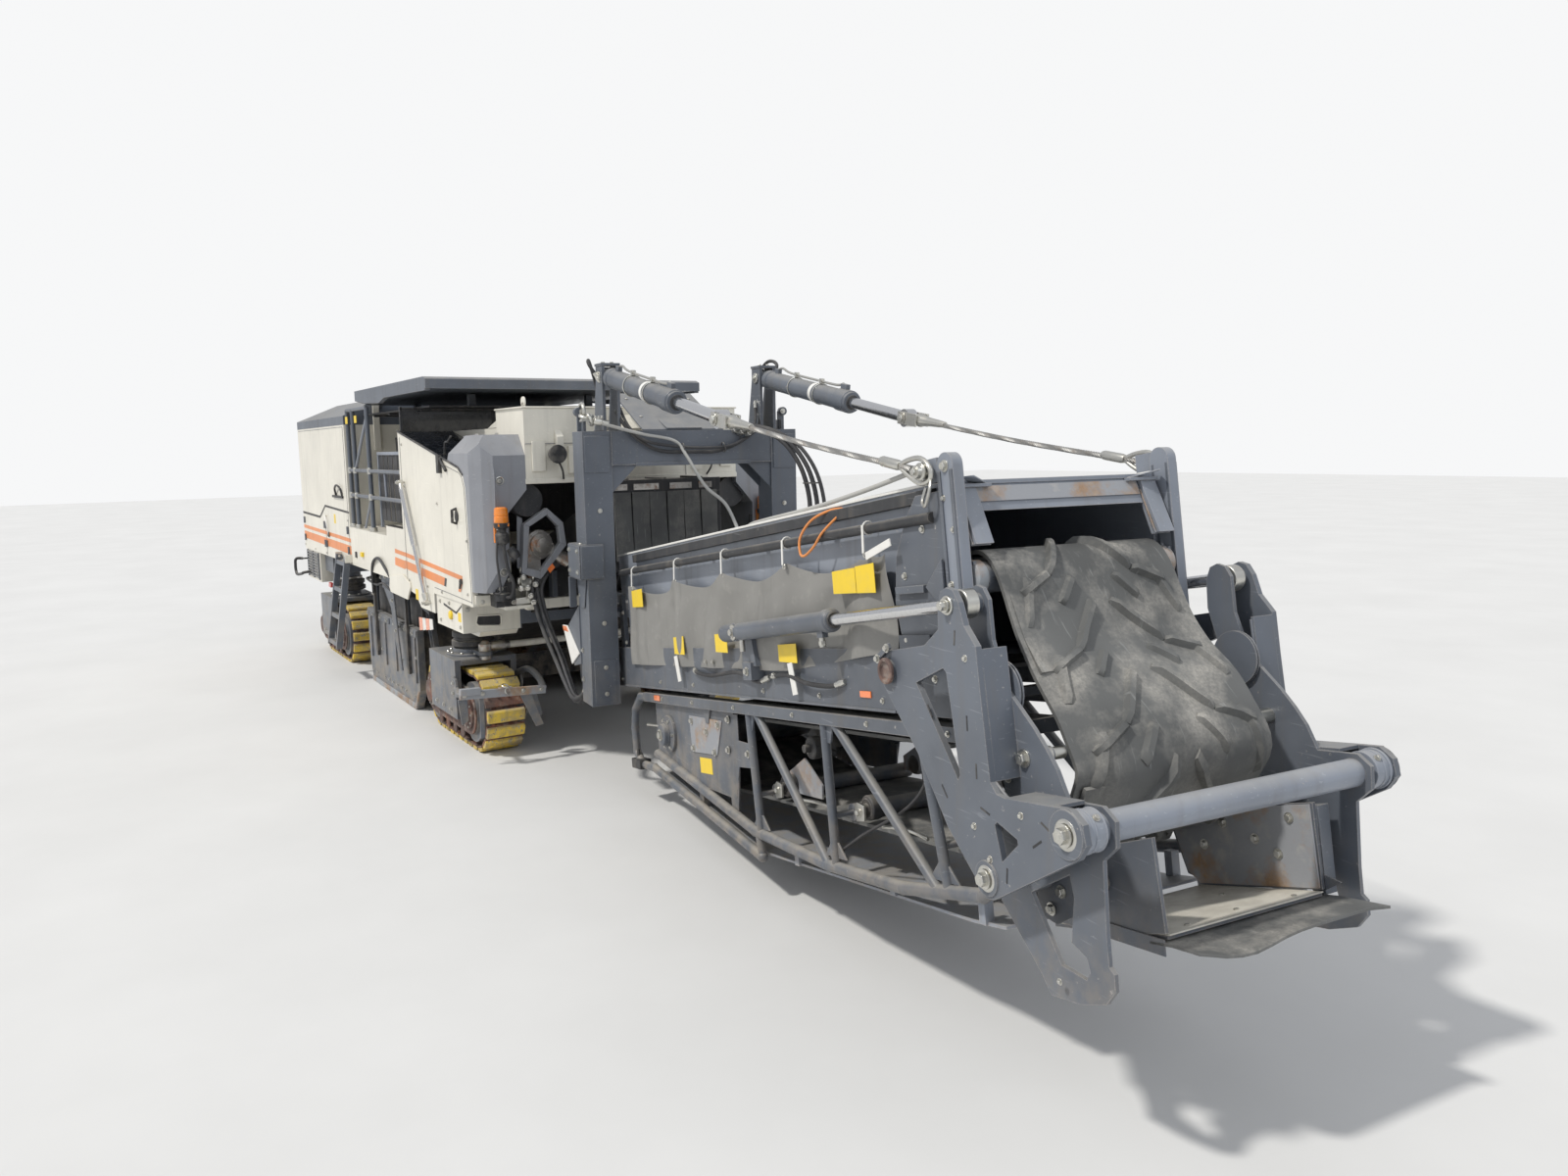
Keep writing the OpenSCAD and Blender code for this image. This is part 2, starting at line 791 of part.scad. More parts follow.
pad_gap = 0.13;     // gap beside each pad, as a share of the pitch

// Chain and pads of one track as one loop
module track_loop() {
    color(yellow)
        translate([0, 0, track_h / 2])
            slab_y(-track_w / 2, track_w / 2)
                difference() {
                    polygon([for (i = [0 : pad_n - 1], j = [0 : 3])
                        let (e = [0.02, pad_gap, 1 - pad_gap, 0.98][j], h = [0, pad_h, pad_h, 0][j])
                            loop_at((i + e) / pad_n * loop_p, h)]);
                    stadium(loop_r - chain_t, loop_c);
                }
}

// Two discs of the radius r joined, with centres at +c and -c, 2D
module stadium(r, c) {
    square([2 * c, 2 * r], center = true);
    for (x = [-c, c])
        translate([x, 0])
            circle(r);
}

yoke_w = 250;       // half the width of a yoke
yoke_t = 45;

front_top = tube_z1 - 40;     // tops of the columns
rear_top = skirt_z;

// Column, yoke and track frame; arm adds the steering arm
module yoke(top, arm) {
    in_r = loop_r - chain_t - fit_gap;
    color(slate) {
        if (arm)
            difference() {
                union() {
                    block([steer_dx, -55, 735], [steer_dx + arm_l, 55, 765]);
                    translate([steer_dx + arm_l, 0, 735])
                        cylinder(h = 30, r = 55);
                    translate([steer_dx, 0, 735])
                        cylinder(h = 30, r = column_r + 40);
                }
                translate([steer_dx + arm_l, 0, 734])
                    cylinder(h = 32, r = ball_r + pin_fit);
            }
        difference() {
            block([-360, -yoke_w, 240], [360, yoke_w, yoke_z]);
            block([-361, -yoke_w + yoke_t, 239], [361, yoke_w - yoke_t, yoke_z - yoke_t]);
        }
        translate([steer_dx, 0, yoke_z - 1])
            cylinder(h = top - yoke_z + 1, r = column_r);
        for (y = [-track_w / 2 - 42, track_w / 2 + 12])
            translate([0, 0, track_h / 2])
                slab_y(y, y + 30)
                    stadium(in_r - 55, loop_c);
        for (x = [-loop_c, loop_c])
            bar_y(x, track_h / 2, -track_w / 2 - 20, track_w / 2 + 20, in_r);
        bar_y(0, 300, -yoke_w + 5, yoke_w - 5, 60);
        sides()
            block([-180, track_w / 2 + 41, 260], [180, yoke_w - yoke_t + 1, 400]);
    }
}

// Sets a piece at a track's centre
module track_place(x, sd) {
    machine()
        translate([x, sd * track_y, 0])
            children();
}

module yoke_front_right() {
    track_place(track_fx, -1) yoke(front_top, true);
}

module yoke_front_left() {
    track_place(track_fx, 1) yoke(front_top, true);
}

module yoke_rear_right() {
    track_place(track_rx, -1) yoke(rear_top, false);
}

module yoke_rear_left() {
    track_place(track_rx, 1) yoke(rear_top, false);
}

module track_front_right() {
    track_place(track_fx, -1) track_loop();
}

module track_front_left() {
    track_place(track_fx, 1) track_loop();
}

module track_rear_right() {
    track_place(track_rx, -1) track_loop();
}

module track_rear_left() {
    track_place(track_rx, 1) track_loop();
}

tie_z = 800;
ball_r = 20;

// Rod across the front steering arms
module tie_rod() {
    x = track_fx + steer_dx + arm_l;
    color(cream) machine() {
        rod([x, -track_y, tie_z], [x, track_y, tie_z], 28);
        sides()
            translate([x, track_y, 736])
                cylinder(h = tie_z - 736 + 28, r = ball_r);
    }
}

beacon_y = half_w - 150;
beacon_z = 1840;

// Beacons on brackets of the corner covers
module lamps() {
    color(orange) machine()
        sides() {
            block([front_x + fit_gap, beacon_y - 40, beacon_z - 140],
                [front_x + 30, beacon_y + 40, beacon_z]);
            block([front_x + 29, beacon_y - 40, beacon_z - 20], [front_x + 110, beacon_y + 40, beacon_z]);
            translate([front_x + 62, beacon_y, beacon_z - 1])
                cylinder(h = 110, r = 46);
        }
}

ladder_x0 = -1420;
ladder_x1 = -968;
ladder_lean = 8.5;   // its foot stands out this many degrees
ladder_z1 = 1290;
ladder_z0 = 330;
ladder_y = -half_w - 40;
ladder_pin_r = 12;
lug_t = 20;
pin_fit = 0.05;

// Ladder hanging at the right side
module ladder() {
    color(slate) machine()
        translate([0, ladder_y, ladder_z1 - 20])
            rotate([-ladder_lean, 0, 0])
                translate([0, -ladder_y, 20 - ladder_z1]) {
                    for (x = [ladder_x0, ladder_x1 - 40])
                        difference() {
                            block([x, ladder_y - 30, ladder_z0], [x + 40, ladder_y + 30, ladder_z1]);
                            rod([x - 1, ladder_y, ladder_z1 - 20], [x + 41, ladder_y, ladder_z1 - 20],
                                ladder_pin_r + pin_fit);
                        }
                    for (z = [ladder_z0 + 20 : 280 : ladder_z1 - 60])
                        block([ladder_x0 + 39, ladder_y - 25, z], [ladder_x1 - 39, ladder_y + 25, z + 40]);
                }
}

// Conveyor swing gate

// Gate with its pins, plates, cylinder horns and the pins the inner section luffs on
module swing_gate() {
    color(slate) swung() {
        difference() {
            block([gate_u, -gate_w, gate_z0], [gate_u + leg_d, gate_w, gate_z1]);
            block([gate_u - 1, -gate_w + leg_w, gate_z0 - 1], [gate_u + leg_d + 1, gate_w - leg_w,
                gate_z1 - beam_h]);
        }
        plate_y([[gate_u + 20, gate_z1 - 60], [gate_u + 60, gate_z1 + 20], [60, upper_z1 + 60],
            [-100, upper_z1 + 60],
            [-100, upper_z1 + 5], [175, upper_z1 + 5]], -130, 130);
        translate([0, 0, upper_z0 + 1])
            cylinder(h = upper_z1 - upper_z0 + 5, r = swing_pin_r);
        translate([0, 0, lower_z1 + 5])
            linear_extrude(35)
                polygon([[-110, -110], [-110, 110], [60, 150], [gate_u + 60, gate_w - leg_w + 5],
                    [gate_u + 160, gate_w - leg_w + 5], [gate_u + 100, 500], [150, 90], [150, -90],
                    [gate_u + 100, -500], [gate_u + 160, -gate_w + leg_w - 5],
                    [gate_u + 60, -gate_w + leg_w - 5], [60, -150]]);
        translate([0, 0, lower_z0 + 1])
            cylinder(h = lower_z1 - lower_z0 + 5, r = swing_pin_r);
        sides() {
            for (v = [horn_v - 60, horn_v + 40])
                plate_y([[horn_u - 150, gate_z1 - 1], [horn_u + 60, gate_z1 - 1], [horn_u + 60, horn_z + 75],
                    [horn_u - 70, horn_z + 75], [horn_u - 70, horn_z]], v, v + 20);
            bar_y(horn_u, horn_z, horn_v - 41, horn_v + 41, 24.95);
        }
        sides() {
            bar_y(luff_u, luff_z, rail_w - 60, gate_w - leg_w + 1, luff_pin_r);
            block([horn_u - 75, horn_v - 65, horn_z + 68], [horn_u + 65, horn_v + 65, horn_z + 84]);
            block([gate_u + 20, gate_w - 60, gate_z1 - 1], [gate_u + 120, gate_w - 40, gate_z1 + 70]);
        }
        block([gate_u - 25, -gate_w - 50, 1500], [gate_u + leg_d + 15, -gate_w + 110, 1730]);
    }
}

// Inner section

belt_n = 395;          // top of the belt over the head roller
head_s = 230;
head_r = 60;
tail_c = [tail_s + 150, -20];
wall_s = -3760;        // rear end of the hood's side walls
wall_n = 400;
post_s = nose_s + fit_gap;
post_l = 100;
idler_r = 34;

function arc(c, r, a0, a1, n) = [for (i = [0 : n]) c + r * [cos(a0 + (a1 - a0) * i / n),
    sin(a0 + (a1 - a0) * i / n)]];
function unit(d) = d / norm(d);

// Normal of the path p at its point i
function turned(p, i) =
    let (k = len(p) - 1, a = unit(p[max(i, 1)] - p[max(i, 1) - 1]),
        b = unit(p[min(i + 1, k)] - p[min(i, k - 1)]),
        m = unit(a + b))
    [-m[1], m[0]] / (m * a);

// Band of the thickness t on the left of the path p, 2D
module band(p, t) {
    polygon(concat(p, [for (i = [len(p) - 1 : -1 : 0]) p[i] + t * turned(p, i)]));
}

// Top of the inner section's belt at s
function carry_n(s) = s < hood_s ? tail_c[1] + roll_r + (s - tail_c[0]) / (hood_s - tail_c[0]) * 150 :
    235 + (s - hood_s) / (head_s - hood_s) * (belt_n - 235);

// Rails, cheeks, drums and pins of the inner section
module inner_frame() {
    color(slate) section() {
        sides() {
            difference() {
                union() {
                    block([tail_s, rail_w - rail_a, rail_n], [-90, rail_w - 4, rail_n + rail_a]);
                    block([tail_s, rail_w - 24, rail_n], [nose_s, rail_w - 4, rail_n + 260]);
                    plate_y([[-150, rail_n + 259], [nose_s, rail_n + 259], [nose_s, 650], [20, 650],
                        [-70, 560],
                        [-150, 430], [-185, 250]], rail_w - 24, rail_w - 4);
                    block([hood_s, hood_w - 30, rail_n + 180], [nose_s, rail_w - 23, rail_n + 200]);
                }
                bar_y(luff_s, luff_n, rail_w - 200, rail_w + 1, luff_pin_r + 0.05);
            }
            bar_y(0, 0, rail_w - 15, link_v + link_t + 12, fold_pin_r - pin_fit);
            bar_y(fold_s0, fold_n0, rail_w - 5, fold_v + 30, 24);
            block([fold_s0 - 60, rail_w - 24, rail_n + 200], [fold_s0 + 60, rail_w - 4, fold_n0 + 60]);
        }
        for (s = [tail_s + 30 : 900 : -200])
            block([s, -rail_w + rail_a - 1, rail_n], [s + 60, rail_w - rail_a + 1, rail_n + 40]);
        bar_y(tail_c[0], tail_c[1], -rail_w + 20, rail_w - 20, 32);
        bar_y(tail_c[0], tail_c[1], -belt_w - 20, belt_w + 20, roll_r - 2);
        bar_y(head_s, belt_n - belt_t - head_r, -hood_w + 13, hood_w - 13, 24);
        bar_y(head_s, belt_n - belt_t - head_r, -belt_w - 30, belt_w + 30, head_r - 1);
    }
}

// Cover over the inner section, with the mouth plate at its front
module inner_hood() {
    color(grey) section() {
        difference() {
            block([hood_s, -hood_w, rail_n + 200 + fit_gap], [nose_s, hood_w, hood_n]);
            block([hood_s - 1, -hood_w + 12, rail_n + 199], [nose_s + 1, hood_w - 12, hood_n - 12]);
        }
        sides() {
            block([wall_s, hood_w - 12, wall_n], [hood_s + 1, hood_w, hood_n]);
            block([wall_s, hood_w - 40, hood_n - 30], [nose_s, hood_w, hood_n + 12]);
        }
        difference() {
            plate_y([[nose_s - 1, hood_n], [nose_s + 11, hood_n], [nose_s + 91, belt_n + 40],
                [nose_s + 79, belt_n + 40]], -hood_w + 12, hood_w - 12);
            block([nose_s - 2, -hood_w + 100, belt_n], [nose_s + 95, hood_w - 100, hood_n - 110]);
        }
    }
}

// Upper run and front loop of the belt, up to the gap between the sections
function belt_path() = concat(
    [[-60, -40], [tail_c[0], tail_c[1] - roll_r]],
    arc(tail_c, roll_r, -110, -260, 8),
    [for (s = [-4200, hood_s, -1500]) [s, carry_n(s) - belt_t]],
    arc([head_s, belt_n - belt_t - head_r], head_r, 90, 35, 5),
    [[345, 235], [402, 84], [462, -10], [486, -40]]);

// Slack loop where the belt hangs over the fold
loop_path = [[500, -58], [527, -92], [582, -168], [649, -272]];

// Belt from the tail drum over the head roller
module inner_belt() {
    color(rubber) section()
        slab_y(-belt_w, belt_w)
            band(belt_path(), belt_t);
}

// Part of the belt that hangs past the fold
module belt_loop() {
    color(rubber) section()
        slab_y(-belt_w + 8, belt_w - 8)
            band(loop_path, belt_t);
}

// Rounded posts at the nose, with the ropes' eyes
module end_posts() {
    color(grey) section()
        sides() {
            block([post_s, hood_w + fit_gap, rail_n + 60], [post_s + post_l, rail_w - 4, 735]);
            bar_y(post_s + post_l / 2, 735, hood_w + fit_gap, rail_w - 4, post_l / 2);
            block([rope_s - 45, rail_w - 30, rope_n - 45], [post_s + 1, rail_w - 4, rope_n + 45]);
            bar_y(rope_s, rope_n, rail_w - 5, horn_v + 22, 20);
        }
}

// Fold links

// Outer plate of a link, from the lever's eye over the big pin down to the boss of the cross tube
function link_outline() = [[-60, 45], [-20, 72], [250, 95], [345, 150], [356, 235], [380, 282], [416, 294],
    [452, 282], [478, 240], [500, 160], [556, 90], [560, -80], [572, -360], [600, -395], [640, -403],
    [880, -400], [960, -400], [1010, -440], [1018, -500], [975, -550], [535, -757], [495, -757], [415, -670],
    [300, -545], [150, -303], [-60, -45], [-76, 0]];

// Inner plate, with the curved gusset and the hook below
function gusset_outline() = [[356, 235], [380, 282], [416, 294], [452, 282], [478, 240], [480, 100],
    [530, -60],
    [600, -130], [660, -190], [715, -255], [760, -320], [800, -410], [960, -410], [1010, -450], [1005, -530],
    [940, -580], [926, -816], [926, -909], [946, -927], [945, -980], [899, -1031], [781, -1065], [634, -1074],
    [592, -1011], [405, -806], [430, -640], [480, -400], [400, -60], [350, 120]];

hook_hole = [[575, -745], [778, -650], [791, -721], [759, -871], [826, -903], [838, -947], [816, -977],
    [699, -959], [618, -822]];
plate_holes = [[[176, -40], [355, 15], [372, 0], [402, -350], [390, -372]],
    [[577, -500], [590, -488], [690, -530], [692, -548], [600, -618]]];
disc = [480, -75];
stay = [600, -295];

// Big pivoting plates between the sections, with lever, pins and pulley
module fold_links() {
    color(slate) section()
        sides() {
            difference() {
                plate_y(link_outline(), link_v, link_v + link_t);
                for (p = plate_holes)
                    plate_y(p, link_v - 1, link_v + link_t + 1);
                bar_y(0, 0, link_v - 1, link_v + link_t + 1, fold_pin_r);
                bar_y(turn_s, turn_n, link_v - 1, link_v + link_t + 1, fold_pin_r);
            }
            difference() {
                plate_y(gusset_outline(), lever_v, lever_v + 16);
                plate_y(hook_hole, lever_v - 1, lever_v + 17);
                bar_y(turn_s, turn_n, lever_v - 1, lever_v + 17, fold_pin_r);
                bar_y(boss_s, boss_n, lever_v - 1, lever_v + 17, tube_r2 + fit_gap);
            }
            plate_y([[544, 80], [556, 80], [572, -360], [560, -360]], lever_v + 15, link_v + 1);
            plate_y([[640, -415], [640, -403], [880, -400], [880, -412]], lever_v + 15, link_v + 1);
            bar_y(lever_s, lever_n, fold_v + 32, link_v + 1, 34);
            bar_y(lever_s, lever_n, lever_v + 15, fold_v - 32, 34);
            bar_y(disc[0], disc[1], rail_w + 2, lever_v + 1, 30);
            for (v = [rail_w + 2, rail_w + 14])
                bar_y(disc[0], disc[1], v, v + 6, 105);
            bar_y(stay[0], stay[1], chute_v1 + chute_t + 15, lever_v + 1, 28);
        }
}

tube_r2 = 50;

// Tube between the two links
module cross_tube() {
    color(grey) section()
        bar_y(boss_s, boss_n, -link_v + fit_gap, link_v - fit_gap, tube_r2);
    color(grey) section()
        sides()
            bar_y(boss_s, boss_n, link_v - 75, link_v - fit_gap, 68);
}

// Outer section, folded upside down under the inner one

out_tail = -3362;      // end at the machine
out_rail = -228;       // top of its rails, next to the inner section's
out_rail_h = 56;
out_v = 520;           // middle of the truss tubes
tube_r1 = 22;
chord_r = 28;
return_n = -345;       // runs of the belt, inner faces
carry_out = -745;
drum_c = [-3002, -475];
drum_r2 = 130;

// Lower chord as folded, from the machine's end to the hinge
chord = [[-3230, -620], [-1800, -905], [-1001, -944], [-354, -924], [205, -845], [turn_s, turn_n]];
// Tube that guards the machine's end, and the low guard under it
bumper = [[-3340, -256], [-3480, -262], [-3610, -350], [-3655, -480], [-3650, -640], [-3560, -715],
    [-3329, -717],
    [-1740, -1030]];
stays = [[[-1761, out_rail - 40], [-1727, -915]], [[-930, out_rail - 40], [-923, -940]],
    [[-1671, out_rail - 40], [-997, -943]], [[-840, out_rail - 40], [-89, -886]],
        [[-127, out_rail - 40], [-18, -875]],
    [[-1740, -1030], [-1760, -905]]];

// Bent tube through the points p of the side plane
module tube(p, r) {
    for (i = [0 : len(p) - 2])
        rod([p[i][0], out_v, p[i][1]], [p[i + 1][0], out_v, p[i + 1][1]], r);
    for (i = [0 : len(p) - 1])
        translate([p[i][0], out_v, p[i][1]])
            sphere(r + 2);
}

// Truss of tubes, rails, drum and idlers of the outer section
module outer_frame() {
    color(slate) section() {
        sides() {
            block([out_tail, rail_w - rail_a, out_rail - out_rail_h], [250, rail_w - 4, out_rail]);
            tube(chord, chord_r);
            tube(bumper, chord_r - 2);
            for (p = stays)
                tube(p, tube_r1);
            plate_y([[-3230, out_rail - 40], [-2000, out_rail - 40], [-2000, -440], [-2098, -766],
                [-2849, -735],
                [-3230, -600]], out_v - 20, out_v - 8);
            bar_y(drum_c[0], drum_c[1], out_v - 19, out_v + 30, 78);
            bar_y(turn_s, turn_n, rail_w - 60, link_v + link_t, fold_pin_r - pin_fit);
            bar_y(turn_s, turn_n, rail_w - 60, rail_w - 10, 75);
        }
        block([out_tail + 20, -rail_w + rail_a - 1, out_rail - out_rail_h],
            [out_tail + 80, rail_w - rail_a + 1, out_rail]);
        block([190, -rail_w + rail_a - 1, out_rail - out_rail_h], [250, rail_w - rail_a + 1, out_rail]);
        bar_y(drum_c[0], drum_c[1], -out_v, out_v, 30);
        bar_y(drum_c[0], drum_c[1], -belt_w - 20, belt_w + 20, drum_r2 - 3);
        for (s = [-1740, -926, -50]) {
            bar_y(s, carry_out + idler_r + 6, -out_v, out_v, 14);
            bar_y(s, carry_out + idler_r + 6 + fit_gap, -belt_w - 15, belt_w + 15, idler_r + 6);
        }
    }
}

cover_w2 = 480;
cover_t = 12;
cover_path = [[-3300, -760], [-1803, -1030], [70, -982], [271, -964]];

// Cover plate under the folded section, on its supports
module outer_hood() {
    color(grey) section() {
        slab_y(-cover_w2, cover_w2)
            band(cover_path, cover_t);
        sides()
            for (c = [[-2600, -900, -750], [-1400, -1022, -930], [-500, -990, -928], [140, -972, -862]])
                block([c[0] - 20, cover_w2 - 30, c[1]], [c[0] + 20, out_v - chord_r - 1, c[2]]);
    }
}

// Walls and floor that pass the material on between the sections
chute_v0 = -280;
chute_v1 = 450;
chute_t = 14;

module transfer_chute() {
    color(grey) section() {
        plate_y([[560, -650], [845, -572], [868, -880], [600, -945], [300, -960]], chute_v0 - chute_t,
            chute_v0);
        plate_y([[243, -935], [150, -690], [858, -574], [868, -880], [290, -975], [284, -942]], chute_v1,
            chute_v1 + chute_t);
        plate_y([[300, -985], [864, -903], [864, -891], [300, -973]], chute_v0 - 1, chute_v1 + 1);
        plate_y([[470, -720], [640, -655], [720, -800], [560, -880], [470, -860]], -cover_w2,
            -cover_w2 + chute_t);
        bar_y(600, -760, -cover_w2 + 1, chute_v0 - 1, 28);
        bar_y(540, -830, -cover_w2 + 1, chute_v0 - 1, 28);
        block([turn_s - 30, chute_v1 + 1, turn_n - 30], [turn_s + 30, rail_w - 60 - fit_gap, turn_n + 30]);
        block([turn_s - 30, -rail_w + 60 + fit_gap, turn_n - 30], [turn_s + 30, -cover_w2 + 1, turn_n + 30]);
    }
}

function out_path() = concat(
    [[660, -415], [645, -440], [600, -510], [520, -590], [400, -670], [250, -725], [100, carry_out],
    [-2400, carry_out]],
    arc(drum_c, drum_r2, -105, -270, 10),
    [[-2700, return_n], [-100, return_n]]);

// Belt around the outer section
module outer_belt() {
    color(rubber) section()
        slab_y(-belt_w, belt_w)
            band(out_path(), belt_t);
}

// Cylinders

// Barrels of the cylinders that raise the conveyor
module luff_barrels() {
    a = [horn_u, 0, horn_z];
    b = [rope_rod_u, 0, rope_rod_z];
    d = (b - a) / norm(b - a);
    color(slate) swung()
        sides()
            translate([0, horn_v, 0])
                difference() {
                    union() {
                        rod(a + 100 * d, a + 1250 * d, 62);
                        rod(a, a + 110 * d, 28);
                        bar_y(a[0], a[2], -33, 33, 60);
                    }
                    bar_y(a[0], a[2], -34, 34, 25);
                    rod(a + 160 * d, a + 1260 * d, 34);
                }
}

// Their rods
module luff_rods() {
    a = [horn_u, 0, horn_z];
    b = [rope_rod_u, 0, rope_rod_z];
    d = (b - a) / norm(b - a);
    color(steel) swung()
        sides()
            translate([0, horn_v, 0]) {
                rod(a + 700 * d, b - 20 * d, 33.9);
                bar_y(b[0], b[2], -30, 30, 50);
            }
}

// Wire ropes from the rods to the end posts, with their clevises
module luff_ropes() {
    b = [rope_rod_u, 0, rope_rod_z];
    e = [pin_u + rope_s * cos_r - rope_n * sin_r, 0, pin_z + rope_s * sin_r + rope_n * cos_r];
    d = (e - b) / norm(e - b);
    color(steel) swung()
        sides()
            translate([0, horn_v, 0])
                difference() {
                    union() {
                        rod(b + 90 * d, e, 14);
                        for (v = [-46, 36])
                            translate([0, v, 0])
                                slab_y(0, 10)
                                    strip([b[0], b[2]] - 40 * [d[0], d[2]],
                                        [b[0], b[2]] + 140 * [d[0], d[2]], 70);
                        rod(b + 100 * d, b + 140 * d, 37);
                        bar_y(e[0], e[2], -14, 14, 40);
                    }
                    bar_y(e[0], e[2], -20, 20, 20.05);
                }
}

fold_barrel = 990;   // from its pin to the gland
fold_tail = 160;     // behind its pin

// Barrels of the fold cylinders
module fold_barrels() {
    a = [fold_s0, 0, fold_n0];
    b = [lever_s, 0, lever_n];
    d = (b - a) / norm(b - a);
    color(slate) section()
        sides()
            translate([0, fold_v, 0])
                difference() {
                    union() {
                        rod(a - fold_tail * d, a + fold_barrel * d, 44);
                        bar_y(a[0], a[2], -28, 28, 46);
                    }
                    rod(a + 60 * d, a + (fold_barrel + 1) * d, 26);
                    bar_y(a[0], a[2], -45, 45, 24.05);
                }
}

// Their rods
module fold_rods() {
    a = [fold_s0, 0, fold_n0];
    b = [lever_s, 0, lever_n];
    d = (b - a) / norm(b - a);
    color(steel) section()
        sides()
            translate([0, fold_v, 0]) {
                rod(a + 570 * d, b - 20 * d, 25.9);
                bar_y(b[0], b[2], -26, 26, 42);
            }
}

chassis_frame();
engine_block();
engine_body();
front_body();
corner_covers();
platform_deck();
guard_rails();
operator_station();
drum_housing();
primary_conveyor();
primary_belt();
lamps();
canopy_roof();
engine_hood();
milling_drum();
edge_plate_right();
edge_plate_left();
scraper_door();
ladder();
yoke_front_right();
yoke_front_left();
yoke_rear_right();
yoke_rear_left();
track_front_right();
track_front_left();
track_rear_right();
track_rear_left();
tie_rod();
swing_gate();
inner_frame();
inner_hood();
inner_belt();
belt_loop();
end_posts();
fold_links();
cross_tube();
outer_frame();
outer_hood();
transfer_chute();
outer_belt();
luff_barrels();
luff_rods();
luff_ropes();
fold_barrels();
fold_rods();
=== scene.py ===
import json
import math

import bmesh
import bpy
from mathutils import Matrix, Vector


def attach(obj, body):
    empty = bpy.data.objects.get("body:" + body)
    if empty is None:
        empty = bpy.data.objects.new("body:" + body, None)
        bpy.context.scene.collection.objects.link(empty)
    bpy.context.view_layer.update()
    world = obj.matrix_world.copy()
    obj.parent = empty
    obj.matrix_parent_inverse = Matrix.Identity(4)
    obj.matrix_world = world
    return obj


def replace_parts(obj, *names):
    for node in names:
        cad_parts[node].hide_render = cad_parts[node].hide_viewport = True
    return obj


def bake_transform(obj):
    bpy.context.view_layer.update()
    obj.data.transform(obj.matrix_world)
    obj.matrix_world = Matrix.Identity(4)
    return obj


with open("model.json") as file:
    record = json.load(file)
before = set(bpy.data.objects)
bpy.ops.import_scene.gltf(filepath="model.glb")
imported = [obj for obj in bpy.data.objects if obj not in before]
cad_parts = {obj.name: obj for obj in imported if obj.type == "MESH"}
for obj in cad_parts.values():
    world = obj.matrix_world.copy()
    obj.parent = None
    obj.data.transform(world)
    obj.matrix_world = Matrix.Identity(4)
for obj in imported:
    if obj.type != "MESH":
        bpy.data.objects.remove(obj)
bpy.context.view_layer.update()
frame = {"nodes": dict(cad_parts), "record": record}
X, Y, Z = (1, 0, 0), (0, 1, 0), (0, 0, 1)

# Frames: the machine's own, the swung conveyor's, and the conveyor section's; bodies not named use MACH
MACH = Matrix.Translation((-2.79251, 0.104305, 0))
SWUNG = MACH @ Matrix.Translation((3.7, 0, 0)) @ Matrix.Rotation(math.radians(-6), 4, "Z")
SECT = SWUNG @ Matrix.Translation((4.308, 0, 1.513)) @ Matrix.Rotation(math.radians(-8.7), 4, "Y")
FRAME_OF = {"swing": SWUNG, "luff_rope": SWUNG, "luff_barrel": SWUNG, "inner": SECT, "outer": SECT,
            "link": SECT, "fold_barrel": SECT, "fold_rod": SECT}

# Points of the fold link, in the section's x and z: hinge of the outer section, cross tube, fold rod's eye
TURN = (0.509, -0.688)
BOSS = (0.936, -0.478)
LEVER = (0.416, 0.232)

# From each frame's middle out: the machine's side, both conveyor sections' sides, the cylinders' lines
MACH_SIDE = 1.25
SECT_SIDE = 0.546
OUTER_SIDE = 0.513
LUFF_Y = 0.57
FOLD_Y = 0.64

# Camera, at the photograph's place
YAW, PITCH, ROLL = (math.radians(a) for a in (147.412, -7.291, -1.042))
fwd = Vector((math.cos(PITCH) * math.cos(YAW), math.cos(PITCH) * math.sin(YAW), math.sin(PITCH)))
flat_right = Vector((math.sin(YAW), -math.cos(YAW), 0))
flat_up = flat_right.cross(fwd)
right = math.cos(ROLL) * flat_right + math.sin(ROLL) * flat_up
up = -math.sin(ROLL) * flat_right + math.cos(ROLL) * flat_up
camera = bpy.data.objects.new("camera", bpy.data.cameras.new("camera"))
camera.data.sensor_width = 36
camera.data.lens = 25.81
camera.data.clip_end = 200
camera.matrix_world = Matrix.Translation(MACH @ Vector((11.197, -3.726, 2.364))) @ Matrix(
    (right, up, -fwd)).transposed().to_4x4()
bpy.context.scene.collection.objects.link(camera)
bpy.context.scene.camera = camera


# Materials

